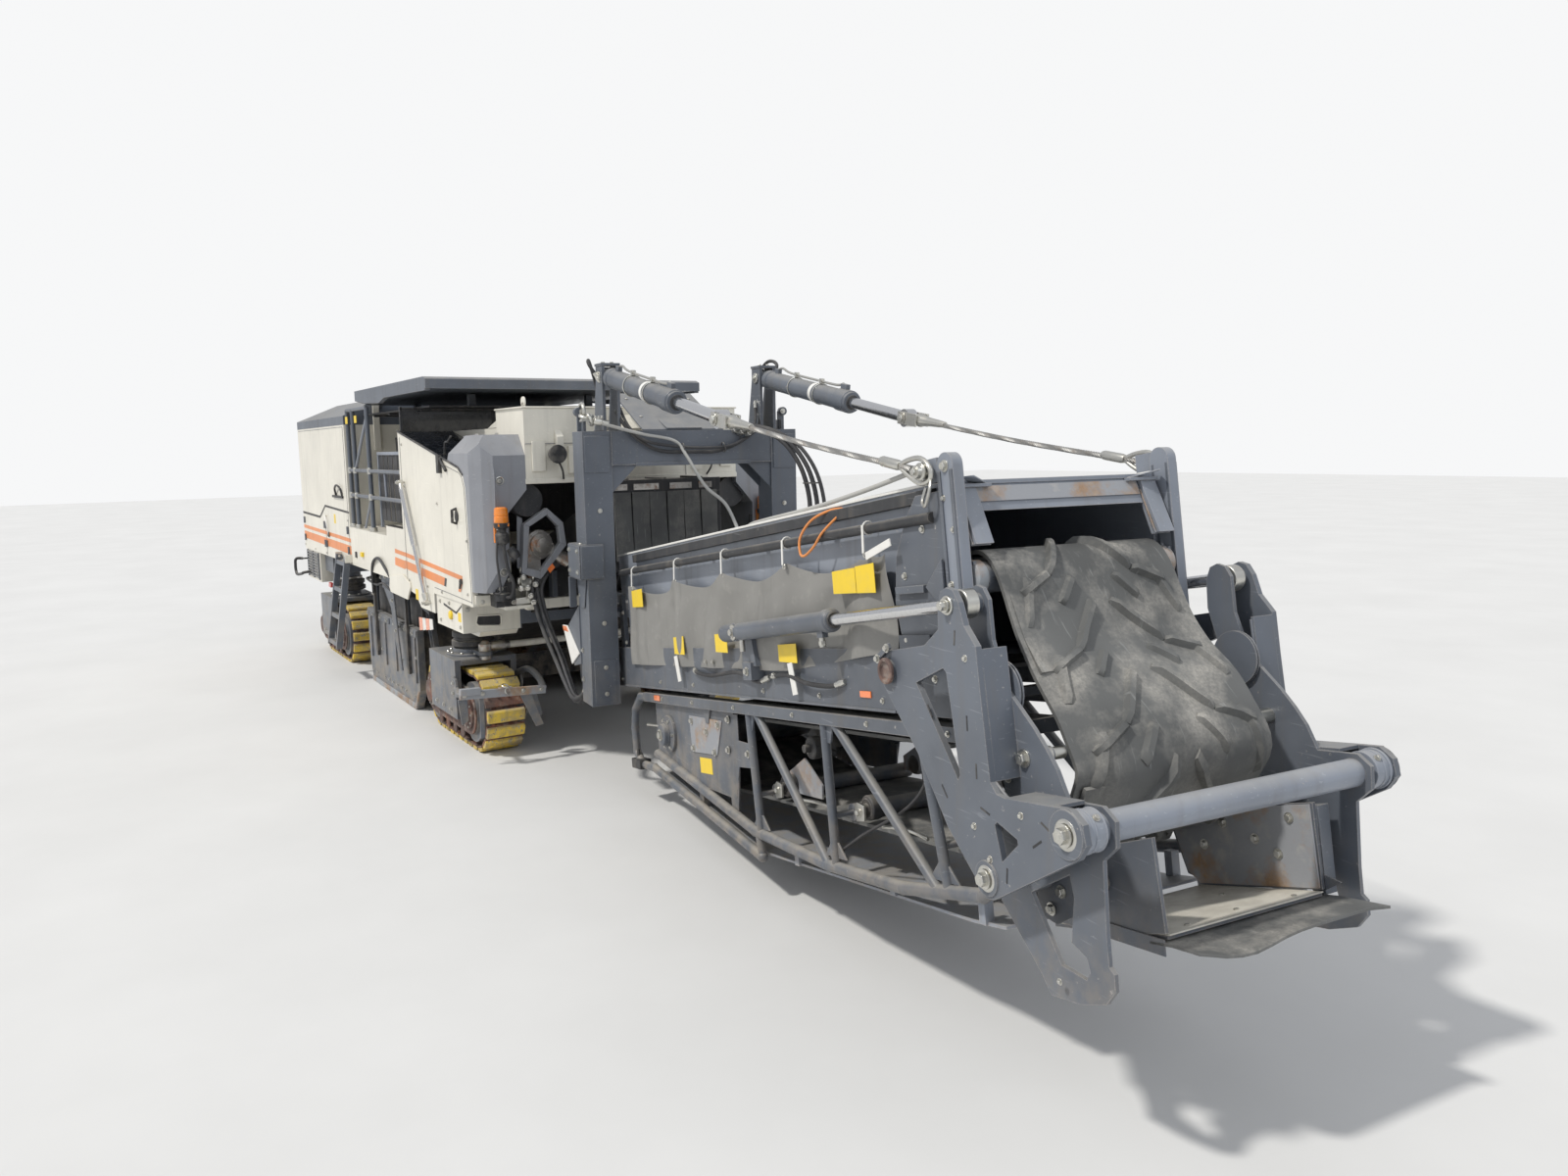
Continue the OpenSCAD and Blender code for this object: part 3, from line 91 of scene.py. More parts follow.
class Nodes:
    """Short calls for a material's node tree."""

    def __init__(self, name):
        self.mat = bpy.data.materials.new(name)
        self.mat.use_nodes = True
        self.tree = self.mat.node_tree
        self.bsdf = self.tree.nodes["Principled BSDF"]
        self.at = self.new("TexCoord").outputs["Object"]
        self.geo = self.new("NewGeometry")

    def new(self, kind, **values):
        node = self.tree.nodes.new("ShaderNode" + kind)
        for key, value in values.items():
            setattr(node, key, value)
        return node

    def put(self, socket, value):
        if isinstance(value, bpy.types.NodeSocket):
            self.tree.links.new(value, socket)
        elif isinstance(value, tuple) and len(value) == 3 and socket.type == "RGBA":
            socket.default_value = (*value, 1)
        else:
            socket.default_value = value

    def math(self, op, a, b):
        node = self.new("Math", operation=op)
        self.put(node.inputs[0], a)
        self.put(node.inputs[1], b)
        return node.outputs[0]

    def noise(self, scale, detail, rough=0.6, stretch=None):
        node = self.new("TexNoise")
        node.inputs["Scale"].default_value = scale
        node.inputs["Detail"].default_value = detail
        node.inputs["Roughness"].default_value = rough
        at = self.at
        if stretch:
            place = self.new("Mapping")
            place.inputs["Scale"].default_value = stretch
            self.put(place.inputs["Vector"], at)
            at = place.outputs[0]
        self.put(node.inputs["Vector"], at)
        return node.outputs[0]

    def ramp(self, value, lo, hi, out_lo=0.0, out_hi=1.0):
        node = self.new("MapRange", clamp=True)
        self.put(node.inputs["Value"], value)
        for key, v in (("From Min", lo), ("From Max", hi), ("To Min", out_lo), ("To Max", out_hi)):
            node.inputs[key].default_value = v
        return node.outputs[0]

    def mix(self, fac, a, b):
        node = self.new("Mix", data_type="RGBA")
        self.put(node.inputs[0], fac)
        self.put(node.inputs[6], a)
        self.put(node.inputs[7], b)
        return node.outputs[2]

    def axis(self, vector, name):
        node = self.new("SeparateXYZ")
        self.put(node.inputs[0], vector)
        return node.outputs[name]

    def bump(self, height, strength, distance):
        node = self.new("Bump")
        node.inputs["Strength"].default_value = strength
        node.inputs["Distance"].default_value = distance
        self.put(node.inputs["Height"], height)
        self.put(self.bsdf.inputs["Normal"], node.outputs[0])

    def edges(self, radius):
        """How near an edge a point is, from the difference of the rounded and the real normal."""
        bevel = self.new("Bevel", samples=4)
        bevel.inputs["Radius"].default_value = radius
        dot = self.new("VectorMath", operation="DOT_PRODUCT")
        self.put(dot.inputs[0], bevel.outputs[0])
        self.put(dot.inputs[1], self.geo.outputs["Normal"])
        return self.math("SUBTRACT", 1.0, dot.outputs["Value"])

    def end(self, color, rough, metal=0.0):
        self.put(self.bsdf.inputs["Base Color"], color)
        self.put(self.bsdf.inputs["Roughness"], rough)
        self.put(self.bsdf.inputs["Metallic"], metal)
        return self.mat


def paint(name, rgb, rough, dust, wear=0.5, under=(0.33, 0.3, 0.28), grime=0.4, chips=0.66, tint=0.1):
    """Sprayed paint: faded patches, dust on top, mud low down, worn edges, chips and scratches."""
    n = Nodes(name)
    big = n.noise(1.7, 3)
    mid = n.noise(9, 5)
    fine = n.noise(120, 3)
    low = tuple(c * (1 - tint) for c in rgb)
    high = tuple(min(1, c * (1 + tint)) for c in rgb)
    color = n.mix(n.ramp(big, 0.35, 0.65), low, high)
    color = n.mix(n.ramp(mid, 0.45, 0.75, 0, 0.35), color, tuple(c * 0.8 + 0.05 for c in rgb))
    streak = n.noise(14, 4, stretch=(1, 1, 0.06))
    grime_at = n.math("MULTIPLY", n.ramp(streak, 0.52, 0.72), grime)
    color = n.mix(grime_at, color, (0.16, 0.145, 0.125))
    height = n.axis(n.at, "Z")
    mud = n.math("MULTIPLY", n.ramp(height, 1.0, 0.1), n.ramp(mid, 0.4, 0.62, 0, 0.8))
    color = n.mix(mud, color, (0.27, 0.23, 0.18))
    top = n.ramp(n.axis(n.geo.outputs["Normal"], "Z"), 0.4, 0.95)
    dusty = n.math("MULTIPLY", top, n.ramp(mid, 0.3, 0.7, dust * 0.5, dust))
    color = n.mix(dusty, color, (0.47, 0.44, 0.38))
    near = n.ramp(n.math("MULTIPLY", n.edges(0.006), n.ramp(mid, 0.3, 0.62, 0.1, 1.6)), 0.03, 0.2)
    spots = n.ramp(n.noise(33, 6, 0.7), chips, chips + 0.02)
    worn = n.math("MULTIPLY", n.math("MAXIMUM", near, spots), wear)
    color = n.mix(worn, color, n.mix(n.ramp(fine, 0.4, 0.6), under, (0.5, 0.47, 0.43)))
    scratch = n.ramp(n.noise(40, 2, 0.5, stretch=(0.12, 1, 2.5)), 0.68, 0.7, 0, 0.25)
    color = n.mix(scratch, color, tuple(min(1, c + 0.22) for c in rgb))
    gloss = n.math("ADD", rough, n.math("MULTIPLY", n.math("MAXIMUM", dusty, grime_at), 0.4))
    n.bump(n.math("ADD", n.math("MULTIPLY", fine, 0.25), n.math("MULTIPLY", worn, -0.6)), 0.12, 0.003)
    return n.end(color, gloss)


def metal(name, rgb, rough, dirt=0.4, scale=26, rust=0.0):
    """Bare metal: brushed grain, stains and a little rust."""
    n = Nodes(name)
    mid = n.noise(scale, 5)
    grain = n.noise(160, 3, stretch=(1, 0.05, 1))
    color = n.mix(n.ramp(grain, 0.3, 0.7, 0, 0.4), rgb, tuple(c * 0.7 for c in rgb))
    spots = n.math("MULTIPLY", n.ramp(mid, 0.5, 0.68), dirt)
    color = n.mix(spots, color, (0.22, 0.17, 0.13))
    if rust:
        at = n.ramp(n.noise(7, 6, 0.7), 0.62 - rust * 0.3, 0.72 - rust * 0.25)
        color = n.mix(at, color, n.mix(n.noise(60, 3), (0.23, 0.1, 0.05), (0.5, 0.25, 0.12)))
        spots = n.math("MAXIMUM", spots, at)
    n.bump(n.math("ADD", grain, mid), 0.08, 0.002)
    return n.end(color, n.ramp(spots, 0, 1, rough, 0.75), n.ramp(spots, 0, 1, 1.0, 0.25))


def rubber(name, rgb, pale=(0.36, 0.34, 0.3), dust=0.6, bump=0.25):
    """Used rubber: dusty patches, scuffs along the run and cracks."""
    n = Nodes(name)
    patch = n.noise(4.5, 5, 0.62)
    fine = n.noise(85, 5, 0.7)
    color = n.mix(n.ramp(n.noise(1.8, 2), 0.3, 0.7), rgb, tuple(c * 1.9 for c in rgb))
    at = n.math("MULTIPLY", n.ramp(patch, 0.45, 0.66), n.ramp(fine, 0.3, 0.6, 0.35, 1))
    top = n.ramp(n.axis(n.geo.outputs["Normal"], "Z"), 0.0, 0.9, 0.35, 1)
    color = n.mix(n.math("MULTIPLY", n.math("MULTIPLY", at, top), dust), color, pale)
    scuff = n.ramp(n.noise(22, 3, stretch=(0.3, 3, 0.3)), 0.64, 0.7, 0, 0.3)
    color = n.mix(scuff, color, tuple(min(1, c * 4) for c in rgb))
    n.bump(n.math("ADD", fine, patch), bump, 0.003)
    return n.end(color, n.ramp(patch, 0.3, 0.7, 0.55, 0.85))


def rusty(name, paint_rgb=(0.33, 0.35, 0.37), left=0.35, base=(0.27, 0.18, 0.115)):
    """Steel worn by the stone: rust in patches, the rest of the paint, and pale dust."""
    n = Nodes(name)
    big = n.noise(3.2, 6, 0.65)
    fine = n.noise(55, 6, 0.7)
    rust = n.mix(fine, tuple(c * 0.55 for c in base), tuple(min(1, c * 1.9) for c in base))
    rust = n.mix(n.ramp(n.noise(18, 4), 0.5, 0.65, 0, 0.6), rust, (0.47, 0.37, 0.27))
    rough_edge = n.math("ADD", big, n.math("MULTIPLY", fine, 0.12))
    keep = n.ramp(rough_edge, 0.62 - left * 0.4, 0.76 - left * 0.4, 1, 0)
    color = n.mix(keep, rust, paint_rgb)
    color = n.mix(n.ramp(n.noise(11, 5), 0.55, 0.75, 0, 0.5), color, (0.55, 0.5, 0.44))
    n.bump(n.math("ADD", fine, n.math("MULTIPLY", keep, 0.6)), 0.3, 0.003)
    return n.end(color, n.ramp(fine, 0.3, 0.7, 0.6, 0.9), n.ramp(keep, 0, 1, 0.35, 0.0))


def plastic(name, rgb, rough, dust=0.35, grain=0.1, **extra):
    """Moulded plastic or a lens, with dust in its grain."""
    n = Nodes(name)
    mid = n.noise(15, 5)
    color = n.mix(n.ramp(mid, 0.45, 0.75, 0, dust), rgb, (0.42, 0.39, 0.34))
    n.bump(n.noise(180, 2), grain, 0.001)
    for key, value in extra.items():
        n.bsdf.inputs[key.replace("_", " ")].default_value = value
    return n.end(color, n.ramp(mid, 0.35, 0.75, rough, rough + 0.3))


def cloth(name, rgb):
    """Coated tarpaulin: a fine weave, folds' wear and dust."""
    n = Nodes(name)
    weave = []
    for way in ("X", "Z"):
        wave = n.new("TexWave", bands_direction=way)
        wave.inputs["Scale"].default_value = 52
        n.put(wave.inputs["Vector"], n.at)
        weave.append(wave.outputs[1])
    patch = n.noise(2.1, 4, 0.55)
    color = n.mix(n.ramp(patch, 0.35, 0.7), tuple(c * 0.9 for c in rgb), tuple(c * 1.1 for c in rgb))
    color = n.mix(n.ramp(n.noise(17, 5), 0.56, 0.76, 0, 0.3), color, (0.4, 0.385, 0.35))
    streak = n.noise(7, 3, stretch=(2, 2, 0.15))
    color = n.mix(n.ramp(streak, 0.6, 0.72, 0, 0.25), color, (0.13, 0.13, 0.125))
    n.bump(n.math("ADD", n.math("MULTIPLY", *weave), n.noise(60, 4)), 0.12, 0.002)
    return n.end(color, n.ramp(patch, 0.3, 0.7, 0.42, 0.6))


SLATE = paint("slate_coat", (0.115, 0.13, 0.155), 0.36, dust=0.4, grime=0.25, tint=0.16)
SLATE2 = paint("slate_frame", (0.105, 0.118, 0.14), 0.42, dust=0.55, wear=0.7, grime=0.4, tint=0.18)
GREY = paint("grey_coat", (0.24, 0.265, 0.31), 0.36, dust=0.35, wear=0.7, grime=0.25, tint=0.12)
COVER = paint("cover_coat", (0.265, 0.275, 0.3), 0.28, dust=0.3, wear=0.15, grime=0.3, chips=0.72)
CREAM = paint("cream_coat", (0.76, 0.73, 0.64), 0.36, dust=0.3, wear=0.25, grime=0.14, chips=0.7, tint=0.05)
BLACK = paint("black_coat", (0.03, 0.031, 0.034), 0.5, dust=0.4, wear=0.35)
YELLOW = paint("pad_yellow", (0.75, 0.53, 0.06), 0.6, dust=0.5, wear=0.9, under=(0.12, 0.1, 0.08),
               grime=0.5, chips=0.58)
ORANGE = plastic("lens_orange", (0.85, 0.25, 0.02), 0.15, dust=0.15, Coat_Weight=0.6)
STEEL = metal("bare_metal", (0.52, 0.5, 0.47), 0.38, rust=0.25)
ZINC = metal("zinc_plated", (0.66, 0.65, 0.6), 0.32, dirt=0.3)
CHROME = metal("chrome", (0.72, 0.72, 0.72), 0.12, dirt=0.1, scale=60)
RUST = rusty("rusted_steel")
RUST2 = rusty("rusted_plate", (0.3, 0.31, 0.33), 0.16, (0.3, 0.205, 0.135))
CHAIN = rusty("chain_steel", (0.12, 0.08, 0.07), 0.2, (0.2, 0.09, 0.06))
BELT = rubber("belt_rubber_worn", (0.085, 0.087, 0.085), (0.42, 0.4, 0.36), 0.85)
HOSE = rubber("hose_rubber", (0.03, 0.03, 0.032), dust=0.3, bump=0.1)
TARP = cloth("tarp_cloth", (0.245, 0.24, 0.225))
DARK = plastic("dark_plastic", (0.028, 0.028, 0.03), 0.45)
WHITE = plastic("white_plastic", (0.8, 0.79, 0.75), 0.4, dust=0.2)
STICKER = plastic("sticker_yellow", (0.85, 0.6, 0.02), 0.3, dust=0.2)
STRIPE = paint("stripe_orange", (0.78, 0.25, 0.06), 0.35, dust=0.2, wear=0.2, grime=0.15, chips=0.72)
REFLECT = plastic("reflector", (0.9, 0.22, 0.05), 0.12, dust=0.1, Coat_Weight=1.0)
RED = plastic("red_lens", (0.6, 0.03, 0.02), 0.15, dust=0.15, Coat_Weight=0.6)
GLASS = plastic("screen_glass", (0.008, 0.01, 0.014), 0.1, 0.03, 0.0, Coat_Weight=0.3)
ROPE = plastic("fibre_rope", (0.42, 0.42, 0.4), 0.75, dust=0.4)
WIRE = metal("rope_wire", (0.4, 0.395, 0.38), 0.55, dirt=0.5)
CORD = plastic("orange_cord", (0.75, 0.28, 0.08), 0.7, dust=0.2)

SLOTS = {
    "slate_paint": SLATE, "grey_paint": GREY, "cream_paint": CREAM, "black_paint": BLACK,
    "bare_steel": CHROME, "yellow_pads": YELLOW, "orange_lens": ORANGE, "belt_rubber": BELT,
    "rusty_steel": RUST, "steel_rope": ZINC}
OWN = {"corner_covers": COVER, "platform_deck": CREAM, "primary_conveyor": BLACK, "outer_frame": SLATE2,
       "inner_frame": SLATE2, "transfer_chute": SLATE2}
for row in frame["record"]["subparts"]:
    for slot in frame["nodes"][row["node"]].material_slots:
        slot.material = OWN.get(row["node"], SLOTS[row["material_slot"]])

# The record's slot that each material of the added pieces belongs to, unless a piece says another
SLOT_OF = {m.name: slot for slot, group in {
    "slate_paint": (SLATE, SLATE2), "grey_paint": (GREY, COVER, WHITE), "cream_paint": (CREAM,),
    "black_paint": (BLACK, DARK, GLASS), "yellow_pads": (YELLOW,), "rusty_steel": (RUST, RUST2, CHAIN),
    "orange_lens": (ORANGE, REFLECT, STRIPE, RED, STICKER), "bare_steel": (STEEL, ZINC, CHROME),
    "belt_rubber": (BELT, HOSE, CORD), "steel_rope": (ROPE, WIRE)}.items() for m in group}


# Building

def smooth(points, steps):
    """Catmull-Rom curve through the points."""
    p = [Vector(q) for q in points]
    last = len(p) - 1
    out = []
    for i in range(last):
        a, b, c, d = (p[min(max(i + j, 0), last)] for j in (-1, 0, 1, 2))
        for j in range(steps):
            t = j / steps
            out.append(0.5 * ((2 * b) + (c - a) * t + (2 * a - 5 * b + 4 * c - d) * t * t
                              + (3 * b - a - 3 * c + d) * t ** 3))
    return out + [p[-1]]


def around(n, r, phase=0.0):
    """Points round a circle, in its own plane."""
    return [(r * math.cos(a), r * math.sin(a)) for a in ((i + phase) * math.tau / n for i in range(n))]


class Part:
    """Gathers solids into one mesh, in one frame."""

    def __init__(self, name, material, body="machine", bevel=0.002, where=None, slot=None):
        self.bm = bmesh.new()
        self.name, self.material, self.body, self.bevel = name, material, body, bevel
        self.where = where or FRAME_OF.get(body, MACH)
        self.slot = slot or SLOT_OF[material.name]

    def face(self, verts):
        try:
            return self.bm.faces.new(verts)
        except ValueError:
            return None

    def rings(self, rings, closed=False):
        rows = [[self.bm.verts.new(p) for p in ring] for ring in rings]
        k = len(rows[0])
        for i in range(len(rows) if closed else len(rows) - 1):
            a, b = rows[i], rows[(i + 1) % len(rows)]
            for j in range(k):
                self.face((a[j], a[(j + 1) % k], b[(j + 1) % k], b[j]))
        if not closed:
            self.face(list(reversed(rows[0])))
            self.face(rows[-1])
        return self

    def prism(self, outline, y0, y1):
        """Outline in x and z, from y0 to y1."""
        return self.rings([[(x, y, z) for x, z in outline] for y in (y0, y1)])

    def plate(self, outline, x0, x1):
        """Outline in y and z, from x0 to x1."""
        return self.rings([[(x, y, z) for y, z in outline] for x in (x0, x1)])

    def box(self, a, b):
        return self.prism([(a[0], a[2]), (b[0], a[2]), (b[0], b[2]), (a[0], b[2])], *sorted((a[1], b[1])))

    def beam(self, p, q, w, h, roll=(0, 0, 1)):
        """Bar of w by h from p to q."""
        p, q = Vector(p), Vector(q)
        d = (q - p).normalized()
        s = d.cross(Vector(roll)).normalized()
        t = s.cross(d)
        s, t = s * w / 2, t * h / 2
        ring = [s + t, t - s, -s - t, s - t]
        return self.rings([[p + v for v in ring], [q + v for v in ring]])

    def turn(self, p, axis, profile, n):
        """Solid of revolution: profile gives (along, radius)."""
        p, d = Vector(p), Vector(axis).normalized()
        s = d.orthogonal().normalized()
        t = d.cross(s)
        spokes = [s * a + t * b for a, b in around(n, 1)]
        return self.rings([[p + d * a + v * max(r, 1e-4) for v in spokes] for a, r in profile])

    def cyl(self, p, q, r, n=20):
        p, q = Vector(p), Vector(q)
        return self.turn(p, q - p, [(0, r), ((q - p).length, r)], n)

    def tube(self, points, r, n, closed=False):
        pts = [Vector(p) for p in points]
        k = len(pts)
        side = None
        rings = []
        for i, p in enumerate(pts):
            a = pts[(i - 1) % k] if closed else pts[max(i - 1, 0)]
            b = pts[(i + 1) % k] if closed else pts[min(i + 1, k - 1)]
            d = (b - a).normalized()
            side = d.orthogonal() if side is None else side - d * side.dot(d)
            side.normalize()
            t = d.cross(side)
            rings.append([p + side * a + t * b for a, b in around(n, r)])
        return self.rings(rings, closed)

    def pipe(self, points, r, n, steps=5):
        """Tube along a smooth line."""
        return self.tube(smooth(points, steps), r, n)

    def bolt(self, p, axis, r, h, washer=True):
        """Hexagon head on a washer."""
        d = Vector(axis).normalized()
        p = Vector(p)
        if washer:
            self.cyl(p, p + d * h * 0.25, r * 1.45, 16)
        self.turn(p + d * h * 0.2, d, [(0, r), (h * 0.85, r), (h, r * 0.86)], 6)
        return self.cyl(p + d * h * 0.9, p + d * h * 1.25, r * 0.45, 8)

    def bolts(self, places, y, r, h):
        """Bolts that face +Y, at each (x, z)."""
        for x, z in places:
            self.bolt((x, y, z), Y, r, h)
        return self

    def ring(self, c, axis, r, thick, n=28, m=8):
        """Wire ring of radius r and the wire's radius thick."""
        c, d = Vector(c), Vector(axis).normalized()
        s = d.orthogonal().normalized()
        t = d.cross(s)
        return self.tube([c + s * a + t * b for a, b in around(n, r)], thick, m, True)

    def twice(self):
        """Adds the mirror image across the frame's own middle."""
        geom = self.bm.verts[:] + self.bm.edges[:] + self.bm.faces[:]
        copy = bmesh.ops.duplicate(self.bm, geom=geom)["geom"]
        verts = [g for g in copy if isinstance(g, bmesh.types.BMVert)]
        for v in verts:
            v.co.y = -v.co.y
        bmesh.ops.reverse_faces(self.bm, faces=[g for g in copy if isinstance(g, bmesh.types.BMFace)])
        return self

    def done(self, angle=35):
        bmesh.ops.recalc_face_normals(self.bm, faces=self.bm.faces)
        mesh = bpy.data.meshes.new(self.name)
        self.bm.to_mesh(mesh)
        self.bm.free()
        mesh.transform(self.where)
        if self.where.determinant() < 0:
            mesh.flip_normals()
        mesh.materials.append(self.material)
        for p in mesh.polygons:
            p.use_smooth = True
        mesh.set_sharp_from_angle(angle=math.radians(angle))
        obj = bpy.data.objects.new(self.name, mesh)
        bpy.context.scene.collection.objects.link(obj)
        if self.bevel:
            mod = obj.modifiers.new("bevel", "BEVEL")
            mod.width, mod.segments, mod.limit_method = self.bevel, 2, "ANGLE"
            mod.angle_limit = math.radians(40)
        if self.body:
            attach(obj, self.body)
        return obj


def hose(name, points, r, body, material=HOSE, n=10, ends=True, to=None):
    """A hose or cable along a smooth line; it may end on a second body."""
    line = [FRAME_OF.get(body, MACH) @ p for p in smooth(points, 6)]
    part = Part(name, material, None if to else body, 0, Matrix())
    part.tube(line, r, n)
    obj = part.done(60)
    if ends:
        for a, b, mark, on in ((line[0], line[1], "_fitting_a", body),
                               (line[-1], line[-2], "_fitting_b", to or body)):
            d = (b - a).normalized()
            profile = [(r * x, r * y) for x, y in ((0, 1.1), (1.5, 1.5), (3, 1.5), (3.2, 1.25), (6, 1.25))]
            Part(name + mark, ZINC, on, 0, Matrix()).turn(a - d * r, d, profile, 8).done()
    if to:
        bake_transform(obj)


def strand_rope(name, points, r, body):
    """Steel wire rope of six laid strands round a line."""
    pitch = 0.1
    line = [FRAME_OF[body] @ p for p in smooth(points, 12)]
    part = Part(name, WIRE, body, 0, Matrix())
    dist = [0.0]
    for a, b in zip(line, line[1:]):
        dist.append(dist[-1] + (b - a).length)
    total = dist[-1]
    steps = int(total / pitch * 10)
    j = 0
    centre = []
    for i in range(steps + 1):
        d = total * i / steps
        while j < len(line) - 2 and dist[j + 1] < d:
            j += 1
        centre.append(line[j].lerp(line[j + 1], (d - dist[j]) / (dist[j + 1] - dist[j])))
    run = (centre[-1] - centre[0]).normalized()
    s = run.orthogonal().normalized()
    t = run.cross(s)
    for k in range(6):
        strand = []
        for i, p in enumerate(centre):
            a = total * i / steps / pitch * math.tau + k * math.tau / 6
            strand.append(p + (s * math.cos(a) + t * math.sin(a)) * r * 0.62)
        part.tube(strand, r * 0.4, 5)
    return part.done(60), line, total


# Floor and light

world = bpy.data.worlds.new("world")
bpy.context.scene.world = world
world.use_nodes = True
tree = world.node_tree
back = tree.nodes["Background"]
back.inputs["Color"].default_value = (0.93, 0.95, 1, 1)
back.inputs["Strength"].default_value = 0.62
shown = tree.nodes.new("ShaderNodeBackground")
shown.inputs["Color"].default_value = (0.93, 0.935, 0.94, 1)
rays = tree.nodes.new("ShaderNodeLightPath")
seen = tree.nodes.new("ShaderNodeMath")
seen.operation = "MAXIMUM"
pick = tree.nodes.new("ShaderNodeMixShader")
tree.links.new(rays.outputs["Is Camera Ray"], seen.inputs[0])
tree.links.new(rays.outputs["Is Transmission Ray"], seen.inputs[1])
tree.links.new(seen.outputs[0], pick.inputs[0])
tree.links.new(back.outputs[0], pick.inputs[1])
tree.links.new(shown.outputs[0], pick.inputs[2])
tree.links.new(pick.outputs[0], tree.nodes["World Output"].inputs[0])
bpy.context.scene.view_settings.view_transform = "Standard"

floor_mesh = bpy.data.meshes.new("floor")
floor_mesh.from_pydata([(-60, -60, 0), (60, -60, 0), (60, 60, 0), (-60, 60, 0)], [], [(0, 1, 2, 3)])
floor = bpy.data.objects.new("floor", floor_mesh)
bpy.context.scene.collection.objects.link(floor)
ground = Nodes("floor_pale")
patches = ground.ramp(ground.noise(0.7, 4), 0.3, 0.7)
ground.end(ground.mix(patches, (0.64, 0.64, 0.63), (0.68, 0.68, 0.67)), 0.9)
floor_mesh.materials.append(ground.mat)


def lamp(name, energy, towards, angle, color):
    """Sun lamp that shines from the given side."""
    data = bpy.data.lights.new(name, "SUN")
    data.energy, data.angle, data.color = energy, angle, color
    obj = bpy.data.objects.new(name, data)
    obj.location = towards
    obj.rotation_euler = towards.to_track_quat("Z", "Y").to_euler()
    bpy.context.scene.collection.objects.link(obj)


lamp("sun", 2.4, -8 * flat_right - 3.5 * fwd + Vector((0, 0, 11)), 0.07, (1, 0.97, 0.92))
lamp("fill", 0.5, 6 * flat_right - 8 * fwd + Vector((0, 0, 6)), 0.6, (0.9, 0.95, 1))

# Belt over the fold

BELT_W = 0.42
BELT_THICK = 0.015
LOOP = smooth([(s / 1000, n / 1000, 0) for s, n in (
    (60, 396), (180, 402), (240, 392), (290, 345), (330, 262), (368, 160), (402, 84), (462, -10),
    (527, -92), (582, -168), (632, -246), (668, -310), (680, -370), (645, -440), (600, -510),
    (520, -590), (400, -670), (250, -725), (100, -748), (-60, -752))], 5)
LOOP_AT = [0.0]
for a, b in zip(LOOP, LOOP[1:]):
    LOOP_AT.append(LOOP_AT[-1] + (b - a).length)


def belt_point(t, v, out=0.0):
    """Point of the belt's outer face, t metres along the loop and v across."""
    t = min(max(t, 0), LOOP_AT[-1] - 1e-5)
    i = max(j for j in range(len(LOOP) - 1) if LOOP_AT[j] <= t)
    a, b = LOOP[max(i - 1, 0)], LOOP[min(i + 2, len(LOOP) - 1)]
    p = LOOP[i].lerp(LOOP[i + 1], (t - LOOP_AT[i]) / (LOOP_AT[i + 1] - LOOP_AT[i]))
    d = (b - a).normalized()
    n = Vector((-d.y, d.x, 0))
    swell = math.exp(-((t - 1.02) / 0.36) ** 2)
    wave = 0.006 * math.sin(v * 17 + t * 9) + 0.005 * math.sin(t * 21 - v * 6)
    edge = max(0, abs(v) / BELT_W - 0.72) / 0.28
    step = 1 / (1 + math.exp(-(v + 0.315) / 0.012))
    lift = 0.02 + swell * (0.05 * (v / BELT_W + 1) / 2 + 0.02 * (1 - (v / BELT_W) ** 2) + wave
                           - 0.012 * edge * edge + 0.03 * (step - 1)) + out
    q = p + n * lift
    return Vector((q.x, v, q.y))


def belt_rib(part, t0, v0, t1, v1, h):
    """Arm of a chevron on the belt, h high, from t0, v0 to t1, v1."""
    w = 0.021
    rings = []
    for i in range(9):
        k = i / 8
        t, v = t0 + (t1 - t0) * k, v0 + (v1 - v0) * k
        taper = min(1, 6 * k + 0.25, 6 * (1 - k) + 0.25)
        d = Vector((t1 - t0, v1 - v0)).normalized()
        side = Vector((-d.y, d.x))
        ring = []
        for off, rise in ((-w, -0.004), (-w * 0.45, h * taper), (w * 0.45, h * taper), (w, -0.004)):
            ring.append(belt_point(t + side.x * off, v + side.y * off, rise))
        rings.append(ring)
    part.rings(rings)


def belt_piece(name, t0, t1, body=None):
    """The belt from t0 to t1 along the loop, with its chevrons."""
    part = Part(name, BELT, body, 0, SECT)
    k = max(4, int((t1 - t0) / 0.025))
    across = [-BELT_W + 2 * BELT_W * j / 44 for j in range(45)]
    rings = []
    for i in range(k + 1):
        t = t0 + (t1 - t0) * i / k
        rings.append([belt_point(t, v) for v in across]
                     + [belt_point(t, v, -BELT_THICK) for v in reversed(across)])
    part.rings(rings)
    row = 0
    t = 0.1
    while t < LOOP_AT[-1]:
        long_arm = row % 2 == 0
        for side in (-1, 1):
            arms = [(t, 0.045, t + 0.2, 0.2), (t + 0.2, 0.2, t + 0.27, 0.345)] if long_arm else [
                (t + 0.06, 0.1, t + 0.16, 0.185), (t + 0.05, 0.3, t + 0.24, 0.36)]
            for a, va, b, vb in arms:
                if t0 <= (a + b) / 2 < t1:
                    belt_rib(part, a, side * va, b, side * vb, 0.027 if long_arm else 0.02)
        t += 0.16
        row += 1
    return part.done(50)


def at_loop(s, n):
    """How far along the loop its point nearest to s, n lies."""
    return LOOP_AT[min(range(len(LOOP)), key=lambda i: (LOOP[i] - Vector((s, n, 0))).length)]


